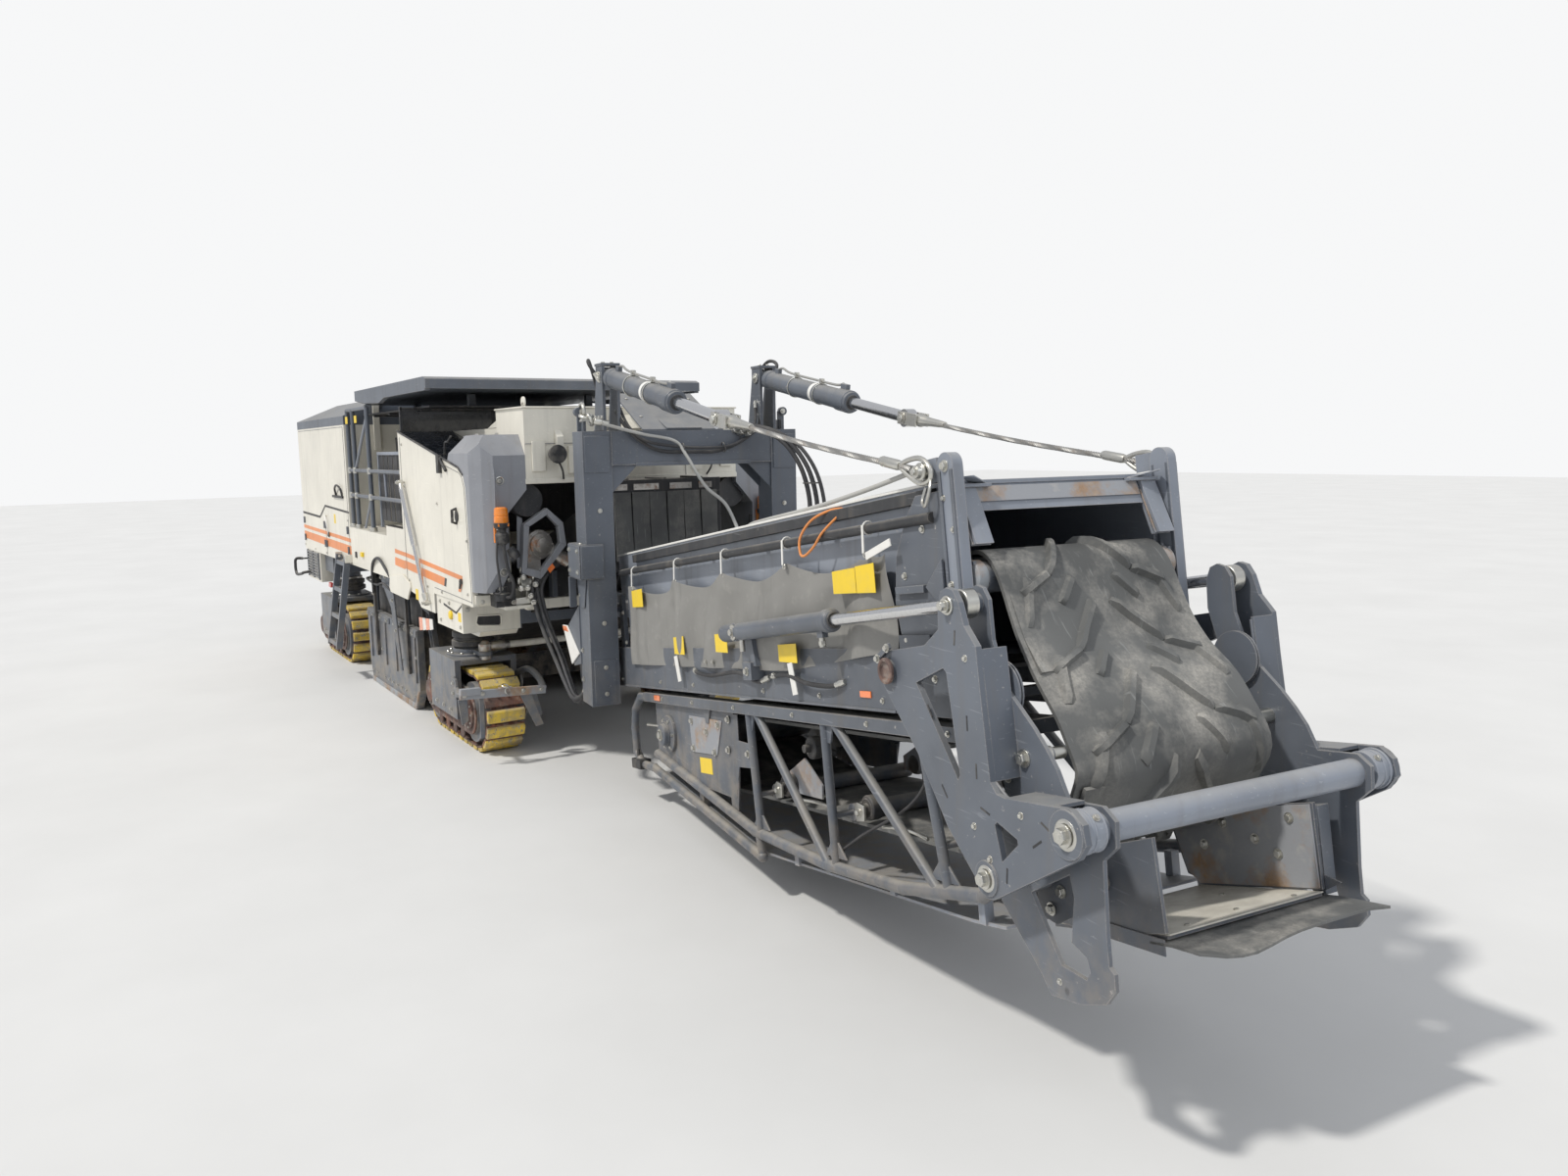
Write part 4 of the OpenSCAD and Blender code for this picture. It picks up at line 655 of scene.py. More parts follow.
marks = [at_loop(*p) for p in ((0.462, -0.01), (0.649, -0.272), (0.62, -0.48))]
belt_piece("belt_head", 0, marks[0], "inner")
part = belt_piece("belt_fold", marks[0], marks[1])
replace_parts(part, "belt_loop")
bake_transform(part)
part = belt_piece("belt_bend", marks[1], marks[2])
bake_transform(part)
belt_piece("belt_under", marks[2], LOOP_AT[-1], "outer")

# Fold links

part = Part("link_hardware", ZINC, "link", 0.0015)
for s, n, r in ((*LEVER, 0.034), (*TURN, 0.046), (*BOSS, 0.05)):
    part.turn((s, 0.712, n), Y, [(0, r), (0.008, r), (0.011, r * 0.9), (0.011, r * 0.62),
        (0.016, r * 0.62)], 28)
    part.bolt((s, 0.727, n), Y, r * 0.52, 0.02)
part.bolts(((0.49, 0.05), (0.535, -0.62), (0.72, -0.45), (0.46, -0.52)), 0.713, 0.009, 0.008)
part.bolt((0.6, 0.588, -0.295), Y, 0.022, 0.02)
part.cyl((0.6, 0.485, -0.295), (0.6, 0.573, -0.295), 0.0295)
part.cyl((0.6, 0.425, -0.295), (0.6, 0.486, -0.295), 0.022)
part.cyl((0.48, 0.557, -0.075), (0.48, 0.574, -0.075), 0.034)
part.bolt((0.48, 0.589, -0.075), Y, 0.02, 0.016)
part.bolt((0.505, 0.589, -0.37), Y, 0.012, 0.01)
part.bolt((0.72, 0.617, -1.0), Y, 0.008, 0.006)
part.bolts(((0.86, -0.44), (0.79, -0.5)), 0.588, 0.012, 0.01)
part.twice().done()

(Part("big_pins", CHAIN, "inner")
 .turn((0, 0.725, 0), Y, [(0, 0.05), (0.012, 0.05), (0.014, 0.045), (0.014, 0.036), (0.003, 0.032),
     (0.003, 0)], 30)
 .twice().done())
(Part("pin_keepers", SLATE, "link")
 .prism([(-0.075, 0.03), (0.03, 0.085), (0.02, 0.105), (-0.085, 0.05)], 0.714, 0.726).twice().done())
(Part("keeper_bolts", ZINC, "link", 0)
 .bolt((-0.06, 0.726, 0.045), Y, 0.012, 0.011).bolt((0.012, 0.726, 0.085), Y, 0.012, 0.011)
 .twice().done())

part = Part("link_slots", DARK, "link", 0)
for s, n, a in ((0.44, 0.12, 78), (0.47, -0.17, 86), (0.5, -0.33, 86), (0.53, -0.46, -20),
        (0.84, -0.47, -30), (0.79, -0.53, 30), (0.62, -0.66, 80), (0.25, -0.14, -62), (0.3, -0.42, -58)):
    d = Vector((math.cos(math.radians(a)), 0, math.sin(math.radians(a)))) * 0.026
    part.beam(Vector((s, 0.7135, n)) - d, Vector((s, 0.7135, n)) + d, 0.007, 0.003, Y)
part.twice().done()

(Part("link_welds", SLATE, "link", 0)
 .tube([(0.548, 0.689, 0.07), (0.564, 0.689, -0.36), (0.63, 0.689, -0.41), (0.87, 0.689, -0.41)], 0.006,
     6)
 .tube([(0.544, 0.588, 0.07), (0.56, 0.588, -0.36)], 0.006, 6)
 .turn((BOSS[0], 0.714, BOSS[1]), Y, [(0, 0.078), (0.006, 0.076), (0.006, 0.055)], 36)
 .turn((TURN[0], 0.714, TURN[1]), Y, [(0, 0.062), (0.006, 0.06), (0.006, 0.05)], 36)
 .ring((LEVER[0], 0.7, LEVER[1]), Y, 0.05, 0.006).twice().done())

part = Part("cross_tube_collars", GREY, "link")
for v, r, w in ((0.688, 0.074, 0.012), (0.66, 0.071, 0.008), (0.62, 0.07, 0.008)):
    part.turn((BOSS[0], v - w, BOSS[1]), Y, [(0, r - 0.002), (0.002, r), (w - 0.002, r), (w, r - 0.002)],
        40)
part.twice().done()
(Part("collar_bolts", ZINC, "link", 0)
 .bolt((BOSS[0] + 0.05, 0.64, BOSS[1] + 0.046), (0.73, 0, 0.68), 0.009, 0.009).twice().done())

# End posts, mouth and rope gear of the inner section

part = Part("post_hardware", ZINC, "inner", 0.001)
part.bolt((0.23, SECT_SIDE, 0.735), Y, 0.016, 0.014)
part.bolt((0.205, SECT_SIDE, 0.62), Y, 0.009, 0.008)
part.bolt((0.25, SECT_SIDE, 0.5), Y, 0.009, 0.008)
for n in (0.3, 0.15, 0.0):
    part.bolt((0.21, SECT_SIDE, n), Y, 0.011, 0.009)
part.turn((0.128, 0.58, 0.729), Y, [(0, 0.032), (0.01, 0.032), (0.012, 0.026), (0.03, 0.024),
    (0.032, 0.012)], 24)
part.bolt((0.128, 0.61, 0.729), Y, 0.014, 0.012)
part.pipe([(0.16, 0.56, 0.71), (0.18, 0.585, 0.66), (0.15, 0.59, 0.6), (0.11, 0.575, 0.62),
    (0.12, 0.56, 0.67)], 0.007, 7)
part.twice().done()

part = Part("post_gussets", SLATE, "inner")
part.prism([(0.178, 0.42), (0.178, 0.66), (0.03, 0.62), (-0.07, 0.5)], 0.505, 0.517)
part.prism([(0.178, 0.2), (0.178, 0.4), (0.06, 0.3)], 0.55, 0.562)
part.prism([(-0.15, 0.28), (0.05, 0.28), (0.05, 0.31), (-0.15, 0.31)], 0.545, 0.566)
for s in (0.195, 0.268):
    part.box((s - 0.008, 0.5, -0.1), (s + 0.008, 0.553, 0.72))
part.twice().done()

(Part("mouth_brackets", GREY, "inner", 0.0015)
 .prism([(0.2, 0.655), (0.285, 0.44), (0.3, 0.44), (0.215, 0.662)], 0.405, 0.485)
 .box((0.185, 0.34, 0.655), (0.23, 0.49, 0.668))
 .beam((0.19, 0.36, 0.668), (0.26, 0.47, 0.69), 0.05, 0.006).twice()
 .box((0.178, -0.49, 0.668), (0.2, 0.49, 0.684)).done())
part = Part("mouth_wear", RUST2, "inner", 0.001)
for v0, v1, n0, n1 in ((-0.395, 0.395, 0.6, 0.66), (-0.49, -0.4, 0.44, 0.62), (0.4, 0.49, 0.44, 0.62)):
    sa, sb = 0.194 + (0.668 - n0) * 0.36, 0.194 + (0.668 - n1) * 0.36
    part.prism([(sa, n0), (sa + 0.005, n0), (sb + 0.005, n1), (sb, n1)], v0, v1)
part.done()

part = Part("head_roller", RUST, "inner")
for v in (-1, 1):
    part.turn((0.23, 0.43 * v, 0.32), (0, v, 0), [(0, 0.058), (0.012, 0.066), (0.05, 0.066),
        (0.056, 0.055), (0.056, 0.03), (0.09, 0.03)], 28)
part.done()
(Part("roller_bearings", SLATE, "inner").box((0.16, 0.47, 0.26), (0.27, 0.485, 0.38))
 .turn((0.215, 0.47, 0.32), (0, -1, 0), [(0, 0.05), (0.02, 0.05), (0.028, 0.036)], 24).twice().done())

# Wire ropes between the luffing rods and the end posts
rod_end = Vector((2.466, 0, 2.497))
post_end = SWUNG.inverted() @ SECT @ Vector((0.128, 0, 0.729))
post_end.y = 0
d = (post_end - rod_end).normalized()
for side, name in ((-1, "right"), (1, "left")):
    v = Vector((0, LUFF_Y * side, 0))
    a, b = rod_end + v, post_end + v
    sag = a.lerp(b, 0.5) - Vector((0, 0, 0.012))
    rope, line, long = strand_rope(
        "luff_rope_" + name, [a + d * 0.07, sag, b - d * 0.08], 0.013, "luff_rope")
    gear = Part("rope_gear_" + name, ZINC, "luff_rope", 0.0015, slot="steel_rope")
    for off in (-0.044, 0.034):
        o = Vector((0, off, 0))
        gear.beam(a - d * 0.045 + o + Vector((0, 0.005, 0)), a + d * 0.14 + o + Vector((0, 0.005, 0)),
            0.07, 0.01, Y)
    gear.turn(a + d * 0.1, d, [(0, 0.034), (0.03, 0.038), (0.06, 0.03), (0.12, 0.024), (0.2, 0.02),
        (0.26, 0.016)], 20)
    gear.bolt(a + Vector((0, 0.045, 0)), Y, 0.024, 0.016)
    gear.bolt(a - Vector((0, 0.045, 0)), (0, -1, 0), 0.024, 0.016)
    gear.turn(b - d * 0.3, d, [(0, 0.017), (0.015, 0.021), (0.12, 0.021), (0.14, 0.017)], 20)
    loop = [b - d * 0.16 + Vector((0, 0, 0.004)), b - d * 0.1 + Vector((0, 0, 0.03)),
        b - d * 0.02 + Vector((0, 0, 0.046)), b + d * 0.04 + Vector((0, 0, 0.02)),
        b + d * 0.045 - Vector((0, 0, 0.02)), b - d * 0.02 - Vector((0, 0, 0.046)),
        b - d * 0.1 - Vector((0, 0, 0.03)), b - d * 0.16 - Vector((0, 0, 0.004))]
    gear.pipe(loop, 0.011, 7, 4)
    gear.turn(b - Vector((0, 0.02, 0)), Y, [(0, 0.034), (0.006, 0.034), (0.008, 0.027), (0.032, 0.027),
        (0.034, 0.034), (0.04, 0.034)], 20)
    gear_obj = gear.done()
    if side < 0:
        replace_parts(rope, "luff_ropes")

# Luffing cylinders, made at the left one and mirrored

HORN = Vector((0.61, 0, 2.826))
LUFF_AXIS = (rod_end - HORN).normalized()
LUFF_UP = Vector((-LUFF_AXIS.z, 0, LUFF_AXIS.x))


def luff(along, rise=0.0):
    """Point along the left luffing cylinder's line from its horn, and above it."""
    return HORN + Vector((0, LUFF_Y, 0)) + LUFF_AXIS * along + LUFF_UP * rise


(Part("luff_glands", SLATE, "luff_barrel")
 .turn(luff(1.1), LUFF_AXIS, [(0, 0.063), (0.004, 0.07), (0.13, 0.07), (0.136, 0.062), (0.152, 0.062),
     (0.156, 0.04), (0.156, 0.036)], 36)
 .turn(luff(0.09), LUFF_AXIS, [(0, 0.05), (0.01, 0.067), (0.06, 0.067), (0.066, 0.062)], 36)
 .beam(luff(0.2, 0.066), luff(0.25, 0.066), 0.05, 0.03, Y)
 .beam(luff(1.12, 0.075), luff(1.19, 0.075), 0.05, 0.03, Y).twice().done())
(Part("luff_bands", WHITE, "luff_barrel", 0, slot="bare_steel")
 .turn(luff(0.78), LUFF_AXIS, [(0, 0.0622), (0, 0.0632), (0.035, 0.0632), (0.035, 0.0622)], 36)
 .twice().done())
part = Part("luff_pipes", ZINC, "luff_barrel", 0)
part.pipe([luff(0.24, 0.09), luff(0.3, 0.1), luff(0.42, 0.082), luff(0.8, 0.08), luff(1.05, 0.082),
    luff(1.13, 0.1)], 0.008, 8, 4)
for k in (0.5, 0.85):
    part.ring(luff(k), LUFF_AXIS, 0.066, 0.004, 28, 6)
    part.beam(luff(k - 0.012, 0.082), luff(k + 0.012, 0.082), 0.03, 0.026, Y)
part.twice().done()
(Part("luff_wipers", BLACK, "luff_barrel", 0)
 .turn(luff(1.252), LUFF_AXIS, [(0, 0.045), (0.006, 0.045), (0.01, 0.036)], 30).twice().done())
part = Part("horn_hardware", ZINC, "swing", 0.0015)
for e in (-1, 1):
    part.turn(luff(0) + Vector((0, 0.06 * e, 0)), (0, e, 0), [(0, 0.036), (0.01, 0.036), (0.012, 0.028)],
        24)
    part.bolt(luff(0) + Vector((0, 0.072 * e, 0)), (0, e, 0), 0.014, 0.012)
    part.bolt(luff(0) + Vector((0, 0.03 * e, 0.084)), Z, 0.012, 0.01)
part.twice().done()

# Inner section's side: tube rail, clips, tarpaulin, plates and reflectors

CLIPS = (-3.29, -2.52, -1.82, -1.088, -0.34)
for side, name in ((-1, "right"), (1, "left")):
    part = Part("rail_" + name, BLACK, "inner", 0)
    part.pipe([(-3.79, 0.54 * side, 0.5), (-3.7, 0.55 * side, 0.55), (-3.45, 0.55 * side, 0.566),
        (-2.4, 0.55 * side, 0.563), (-1.1, 0.55 * side, 0.56), (0.13, 0.55 * side, 0.557)], 0.022, 12, 4)
    for s in (-3.62, -2.9, -2.1, -1.4, -0.7, -0.02):
        part.box((s - 0.02, 0.5 * side, 0.545), (s + 0.02, 0.545 * side, 0.568))
    part.done()
    rows, cols = 26, 150
    verts, faces = [], []
    for i in range(cols + 1):
        a = i / cols
        s = -3.47 + a * 3.27
        near = [abs(s - c) for c in CLIPS]
        k = near.index(min(near))
        gaps = sorted(CLIPS + (-3.47, -0.2))
        lo = max([g for g in gaps if g <= s] or [-3.47])
        hi = min([g for g in gaps if g > s] or [-0.2])
        span = hi - lo
        part_way = (s - lo) / max(span, 0.001)
        scallop = 0.11 * span * math.sin(math.pi * part_way) ** 0.8 if 0 < part_way < 1 else 0
        top = (0.472 if s < -0.4 else 0.452) - scallop * (0.9 if s > -3.28 else 0.3)
        low = -0.045 + max(0, s + 1.2) * 0.1 if s > -1.2 else -0.045
        for j in range(rows + 1):
            b = j / rows
            n = low + (top - low) * b
            pull = math.exp(-(near[k] / 0.16) ** 2) * b ** 2
            hollow = math.sin(math.pi * part_way) * b * 0.03
            wavy = s * 9.3 + 2.2 * math.sin(s * 2.7) + 1.5 * (1 - b)
            drape = 0.03 * math.sin(wavy) * math.sin(math.pi * min(1, b + 0.15))
            fan = (s - CLIPS[k]) * 22 * (0.4 + 0.9 * (1 - b)) + 1.3 * k
            crease = 0.018 * math.sin(fan) * (0.25 + 0.75 * b) * math.exp(-near[k] * 2.2)
            v = 0.556 + 0.02 * pull - hollow * 0.6 + drape + crease
            verts.append(SECT @ Vector((s, max(v, 0.532) * side, n)))
    for i in range(cols):
        for j in range(rows):
            q = i * (rows + 1) + j
            faces.append((q, q + 1, q + rows + 2, q + rows + 1))
    mesh = bpy.data.meshes.new("tarp_" + name)
    mesh.from_pydata(verts, [], faces)
    mesh.materials.append(TARP)
    tarp = bpy.data.objects.new("tarp_" + name, mesh)
    bpy.context.scene.collection.objects.link(tarp)
    mod = tarp.modifiers.new("cloth_thickness", "SOLIDIFY")
    mod.thickness, mod.offset = 0.002, 0
    tarp.modifiers.new("fine", "SUBSURF").levels = 1
    tarp.modifiers["fine"].render_levels = 1
    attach(tarp, "inner")
    part = Part("tarp_ties_" + name, WHITE, "inner", 0, slot="cream_paint")
    eyes = Part("tarp_eyes_" + name, ZINC, "inner", 0)
    for s in CLIPS:
        y = 0.575 * side
        part.beam((s - 0.004, y, 0.575), (s + 0.006, y + 0.012 * side, 0.46), 0.014, 0.004, Y)
        part.tube([(s, (0.55 + a) * side, 0.562 + b) for a, b in around(14, 0.027)], 0.004, 6, True)
        eyes.ring((s + 0.004, 0.578 * side, 0.452), Y, 0.011, 0.004, 14, 6)
    for s, n in ((-2.6, 0.02), (-1.1, 0.0)):
        part.beam((s, 0.585 * side, n), (s + 0.02, 0.578 * side, n - 0.15), 0.05, 0.004, Y)
    part.beam((-0.31, 0.59 * side, 0.445), (-0.1, 0.6 * side, 0.487), 0.03, 0.005, Y)
    eyes.bolt((-2.16, 0.577 * side, -0.01), (0, side, 0), 0.009, 0.006)
    eyes.bolt((-2.06, 0.577 * side, -0.01), (0, side, 0), 0.009, 0.006)
    hems = [part.done(), eyes.done()]

    part = Part("tarp_stickers_" + name, STICKER, "inner", 0, slot="yellow_pads")
    for s0, n0, s1, n1 in ((-3.3, 0.325, -3.1, 0.434), (-2.61, 0.028, -2.45, 0.13),
            (-1.98, 0.043, -1.82, 0.142), (-1.21, 0.0, -1.02, 0.085), (-0.615, 0.3, -0.42, 0.4),
            (-0.415, 0.295, -0.265, 0.41)):
        part.prism([(s0, n0 + 0.004), (s1, n0), (s1, n1 + 0.006), (s0, n1)], 0.584 * side, 0.586 * side)
    hems.append(part.done())

part = Part("section_reflectors", REFLECT, "inner")
for s in (-3.94, -0.48):
    part.box((s - 0.045, SECT_SIDE, -0.142), (s + 0.045, 0.552, -0.114))
part.twice().done()
part = Part("rail_bolts", ZINC, "inner", 0)
for s in (-4.3, -3.75, -3.0, -2.45, -1.5, -0.9, -0.35, -0.1):
    part.bolt((s, SECT_SIDE, -0.15), Y, 0.009, 0.008)
part.bolts(((-3.62, 0.3), (-3.6, 0.1), (-0.12, 0.1), (-0.1, 0.35), (0.05, 0.52), (0.05, -0.05)),
    SECT_SIDE, 0.011, 0.009)
part.twice().done()
part = Part("section_ribs", SLATE, "inner")
for s in (-3.72, -3.52):
    part.prism([(s - 0.05, -0.1), (s + 0.05, -0.1), (s + 0.03, 0.42), (s - 0.03, 0.42)], 0.5, 0.53)
part.box((-4.75, SECT_SIDE, -0.196), (-0.25, 0.552, -0.185))
part.prism([(-3.9, -0.11), (-3.5, -0.11), (-3.55, -0.02), (-3.8, 0.0)], 0.53, 0.545)
part.box((-0.17, SECT_SIDE, 0.06), (0.05, 0.556, 0.12))
part.twice().done()
Part("hood_lip", WHITE, "inner").beam((-3.76, 0.5, 0.69), (0.18, 0.5, 0.69), 0.012, 0.012).twice().done()
(Part("hood_seal", BLACK, "inner", 0.004).beam((-3.4, 0.512, 0.645), (0.1, 0.512, 0.645), 0.03, 0.05)
 .twice().done())

# Fold cylinders, made at the left one and mirrored

FOLD_FOOT = Vector((-1.532, FOLD_Y, 0.156))
FOLD_EYE = Vector((LEVER[0], FOLD_Y, LEVER[1]))
FOLD_AXIS = (FOLD_EYE - FOLD_FOOT).normalized()


def fold_at(along, drop=0.0):
    """Point along the left fold cylinder's line from its foot, and below it."""
    return FOLD_FOOT + FOLD_AXIS * along - Vector((0, 0, drop))


(Part("fold_glands", SLATE, "fold_barrel")
 .turn(fold_at(0.93), FOLD_AXIS, [(0, 0.046), (0.004, 0.051), (0.05, 0.051), (0.056, 0.044),
     (0.064, 0.04), (0.066, 0.027)], 32)
 .turn(fold_at(-0.16), FOLD_AXIS, [(0, 0.03), (0.002, 0.046), (0.16, 0.046)], 32)
 .beam(fold_at(0.86, 0.05), fold_at(0.91, 0.05), 0.03, 0.04).twice().done())
(Part("fold_wipers", BLACK, "fold_barrel", 0)
 .turn(fold_at(-0.161), FOLD_AXIS, [(0, 0), (0, 0.036), (0.002, 0.036)], 28)
 .ring(fold_at(0.997), FOLD_AXIS, 0.031, 0.005).twice().done())
(Part("fold_ports", ZINC, "fold_barrel", 0).cyl(fold_at(0.88, 0.04), fold_at(0.88, 0.11), 0.014, 12)
 .bolt(fold_at(0.88, 0.08), (0, 0, -1), 0.017, 0.02, False)
 .cyl(fold_at(0.03, 0.04), fold_at(0.03, 0.1), 0.014, 12).twice().done())
(Part("fold_eyes", ZINC, "fold_rod")
 .turn(FOLD_EYE - Vector((0, 0.027, 0)), Y, [(0, 0.036), (0, 0.05), (0.004, 0.053), (0.05, 0.053),
     (0.054, 0.05), (0.054, 0.036)], 30)
 .turn(FOLD_EYE - FOLD_AXIS * 0.085, FOLD_AXIS, [(0, 0.026), (0.005, 0.033), (0.045, 0.033)], 24)
 .twice().done())
(Part("fold_mounts", SLATE, "inner")
 .prism([(-1.6, -0.02), (-1.44, -0.02), (-1.47, 0.12), (-1.5, 0.2), (-1.56, 0.2), (-1.59, 0.12)], 0.556,
     0.604)
 .prism([(-1.57, -0.09), (-1.47, -0.09), (-1.47, 0.0), (-1.57, 0.0)], SECT_SIDE, 0.62).twice().done())
(Part("fold_mount_bolts", ZINC, "inner", 0)
 .turn((FOLD_FOOT.x, 0.668, FOLD_FOOT.z), Y, [(0, 0.04), (0.008, 0.04), (0.01, 0.03)], 22)
 .bolt((FOLD_FOOT.x, 0.678, FOLD_FOOT.z), Y, 0.018, 0.014)
 .bolt((-1.52, 0.62, -0.045), Y, 0.016, 0.014).twice().done())
hose("fold_hose_rear", [(-1.4, -0.56, -0.08), (-1.5, -0.575, -0.1), (-1.75, -0.575, -0.06),
    (-2.1, -0.57, -0.085), (-2.32, -0.565, -0.075), (-2.4, -0.55, -0.06)], 0.011, "inner")
hose("fold_hose_front", [(-1.35, -0.56, -0.07), (-1.15, -0.575, -0.06), (-0.95, -0.585, -0.09),
    (-0.75, -0.57, -0.1), (-0.65, -0.555, -0.08)], 0.011, "inner")

# Outer section

(Part("outer_plates", RUST2, "outer")
 .prism([(-2.64, -0.34), (-2.15, -0.345), (-2.25, -0.545), (-2.63, -0.556)], OUTER_SIDE, 0.519)
 .prism([(-1.7, -0.62), (-1.46, -0.51), (-1.29, -0.63), (-1.3, -0.7), (-1.7, -0.7)], 0.36, 0.372)
 .twice().done())
part = Part("outer_sides", SLATE2, "outer")
part.prism([(-3.14, -0.31), (-1.94, -0.298), (-1.95, -0.44), (-1.77, -0.448), (-1.79, -0.575),
    (-1.965, -0.584), (-2.04, -0.775), (-2.97, -0.6), (-3.15, -0.566)], 0.506, OUTER_SIDE)
part.prism([(-2.12, -0.6), (-1.98, -0.6), (-2.04, -0.86), (-2.12, -0.84)], 0.5, 0.51)
part.box((-2.62, 0.44, -0.88), (-2.56, 0.5, -0.66))
for s in (-2.35, -1.75, -0.9, -0.1):
    part.prism([(s - 0.05, -0.29), (s + 0.05, -0.29), (s + 0.02, -0.37), (s - 0.02, -0.37)], 0.514, 0.524)
for s, n in ((-1.73, -0.9), (-0.93, -0.915), (-0.05, -0.86)):
    part.prism([(s - 0.1, n + 0.015), (s + 0.1, n + 0.02), (s + 0.03, n + 0.09), (s - 0.03, n + 0.09)],
        0.51, 0.52)
part.twice().done()
(Part("outer_bearings", SLATE2, "outer")
 .turn((-3.0, OUTER_SIDE, -0.475), Y, [(0, 0.115), (0.018, 0.115), (0.022, 0.1), (0.03, 0.07),
     (0.06, 0.066), (0.066, 0.055)], 36)
 .twice().done())
part = Part("outer_bolts", ZINC, "outer", 0)
for s, n in around(6, 0.092):
    part.bolt((s - 3.0, 0.532, n - 0.475), Y, 0.011, 0.01)
part.bolt((-3.0, 0.58, -0.475), Y, 0.026, 0.014)
part.bolts(((-2.38, -0.42), (-2.08, -0.5), (-2.6, -0.37), (-2.2, -0.37), (-2.6, -0.53), (-2.28, -0.53),
    (-2.05, -0.33), (-1.82, -0.5)), 0.519, 0.015, 0.013)
part.turn((-3.19, 0.5, -0.44), (-1, 0.1, 0), [(0, 0.01), (0.2, 0.01)], 10)
for s in (-3.0, -2.5, -1.9, -1.2, -0.5, 0.1):
    part.bolt((s, SECT_SIDE, -0.255), Y, 0.009, 0.008)
part.twice().done()
part = Part("idlers", BLACK, "outer")
for s, n in ((-1.6, -0.66), (-0.77, -0.665), (-1.28, -0.437)):
    part.turn((s, 0.36, n), Y, [(0, 0.052), (0.02, 0.057), (0.06, 0.057), (0.066, 0.05), (0.066, 0.022),
        (0.1, 0.02)], 26)
    part.ring((s, 0.425, n), Y, 0.04, 0.004)
part.twice().done()
part = Part("idler_brackets", ZINC, "outer")
for s, n in ((-1.6, -0.66), (-0.77, -0.665)):
    part.prism([(s - 0.04, n - 0.06), (s + 0.03, n - 0.05), (s + 0.035, n + 0.02), (s - 0.02, n + 0.03),
        (s - 0.05, n)], 0.45, 0.462)
    part.bolt((s - 0.01, 0.462, n - 0.015), Y, 0.015, 0.014)
    part.cyl((s, 0.42, n), (s, 0.452, n), 0.018)
part.pipe([(-1.45, 0.45, -0.7), (-1.2, 0.45, -0.69), (-1.05, 0.45, -0.7)], 0.009, 8, 4)
part.pipe([(-0.6, 0.45, -0.72), (-0.4, 0.45, -0.705), (-0.25, 0.45, -0.72)], 0.009, 8, 4)
part.twice().done()
(Part("outer_reflectors", REFLECT, "outer").box((-3.14, SECT_SIDE, -0.27), (-3.04, 0.552, -0.236))
 .twice().done())
(Part("outer_stickers", STICKER, "outer", 0, slot="yellow_pads")
 .prism([(-2.53, -0.67), (-2.35, -0.665), (-2.35, -0.575), (-2.53, -0.58)], OUTER_SIDE, 0.5145)
 .twice().done())
(Part("tail_lamps", DARK, "outer", 0.004).box((-3.67, 0.48, -0.745), (-3.5, 0.56, -0.68))
 .cyl((-3.6, 0.53, -0.7), (-3.6, 0.53, -0.62), 0.012).twice().done())
hose("outer_cable", [(-0.25, -0.47, -0.3), (-0.2, -0.46, -0.45), (-0.35, -0.47, -0.6),
    (-0.75, -0.48, -0.78), (-1.0, -0.52, -0.925)], 0.007, "outer", ends=False)
part = Part("cover_bolts", ZINC, "outer", 0)
for s in (-2.2, -1.4, -0.7, -0.1):
    low = -1.035 + 0.0256 * (s + 1.8) if s > -1.8 else -0.765 - 0.1804 * (s + 3.3)
    part.bolt((s, 0.4, low), (0, 0, -1), 0.012, 0.01)
part.twice().done()

# Chute

# Painted highlight: the chute's floor is rusty steel, painted pale cream here for the light that falls on
# it
(Part("chute_floor_painted_light", CREAM, "outer", 0.001, slot="rusty_steel")
 .prism([(0.31, -0.9725), (0.872, -0.8895), (0.872, -0.884), (0.31, -0.967)], -0.279, 0.449).done())
(Part("chute_wear", RUST2, "outer", 0.001)
 .prism([(0.25, -0.92), (0.17, -0.69), (0.85, -0.58), (0.862, -0.876), (0.31, -0.96)], 0.442, 0.4495)
 .prism([(0.58, -0.66), (0.67, -0.64), (0.72, -0.7), (0.66, -0.82), (0.6, -0.86), (0.5, -0.84)], -0.2795,
     -0.272)
 .done())
part = Part("chute_bolts", ZINC, "outer", 0)
for s, n in ((0.45, -0.7), (0.6, -0.74), (0.76, -0.64), (0.7, -0.78), (0.35, -0.8)):
    part.bolt((s, 0.442, n), (0, -1, 0), 0.014, 0.01)
for s, v in ((0.83, 0.35), (0.8, 0.1), (0.82, -0.15), (0.55, 0.3)):
    part.bolt((s, v, -0.884 - (0.872 - s) * 0.148), (-0.14, 0, 1), 0.01, 0.004, False)
part.bolt((0.62, -0.275, -0.72), Y, 0.016, 0.012)
part.bolt((0.6, -0.482, -0.76), (0, -1, 0), 0.016, 0.014)
part.bolt((0.54, -0.482, -0.83), (0, -1, 0), 0.016, 0.014)
part.done()
(Part("chute_rollers", STEEL, "outer").cyl((0.6, -0.46, -0.76), (0.6, -0.3, -0.76), 0.034, 24)
 .cyl((0.54, -0.46, -0.83), (0.54, -0.3, -0.83), 0.034, 24).done())
(Part("chute_feet", SLATE, "outer")
 .prism([(0.78, -0.6), (0.868, -0.585), (0.872, -0.9), (0.84, -0.905)], 0.464, 0.52)
 .prism([(0.82, -0.915), (0.935, -0.845), (0.87, -0.83), (0.8, -0.83)], 0.464, 0.472)
 .box((0.4, -0.3, -0.955), (0.865, -0.294, -0.9)).done())
part = Part("chute_flap", BELT, "outer", 0.001)
rows = []
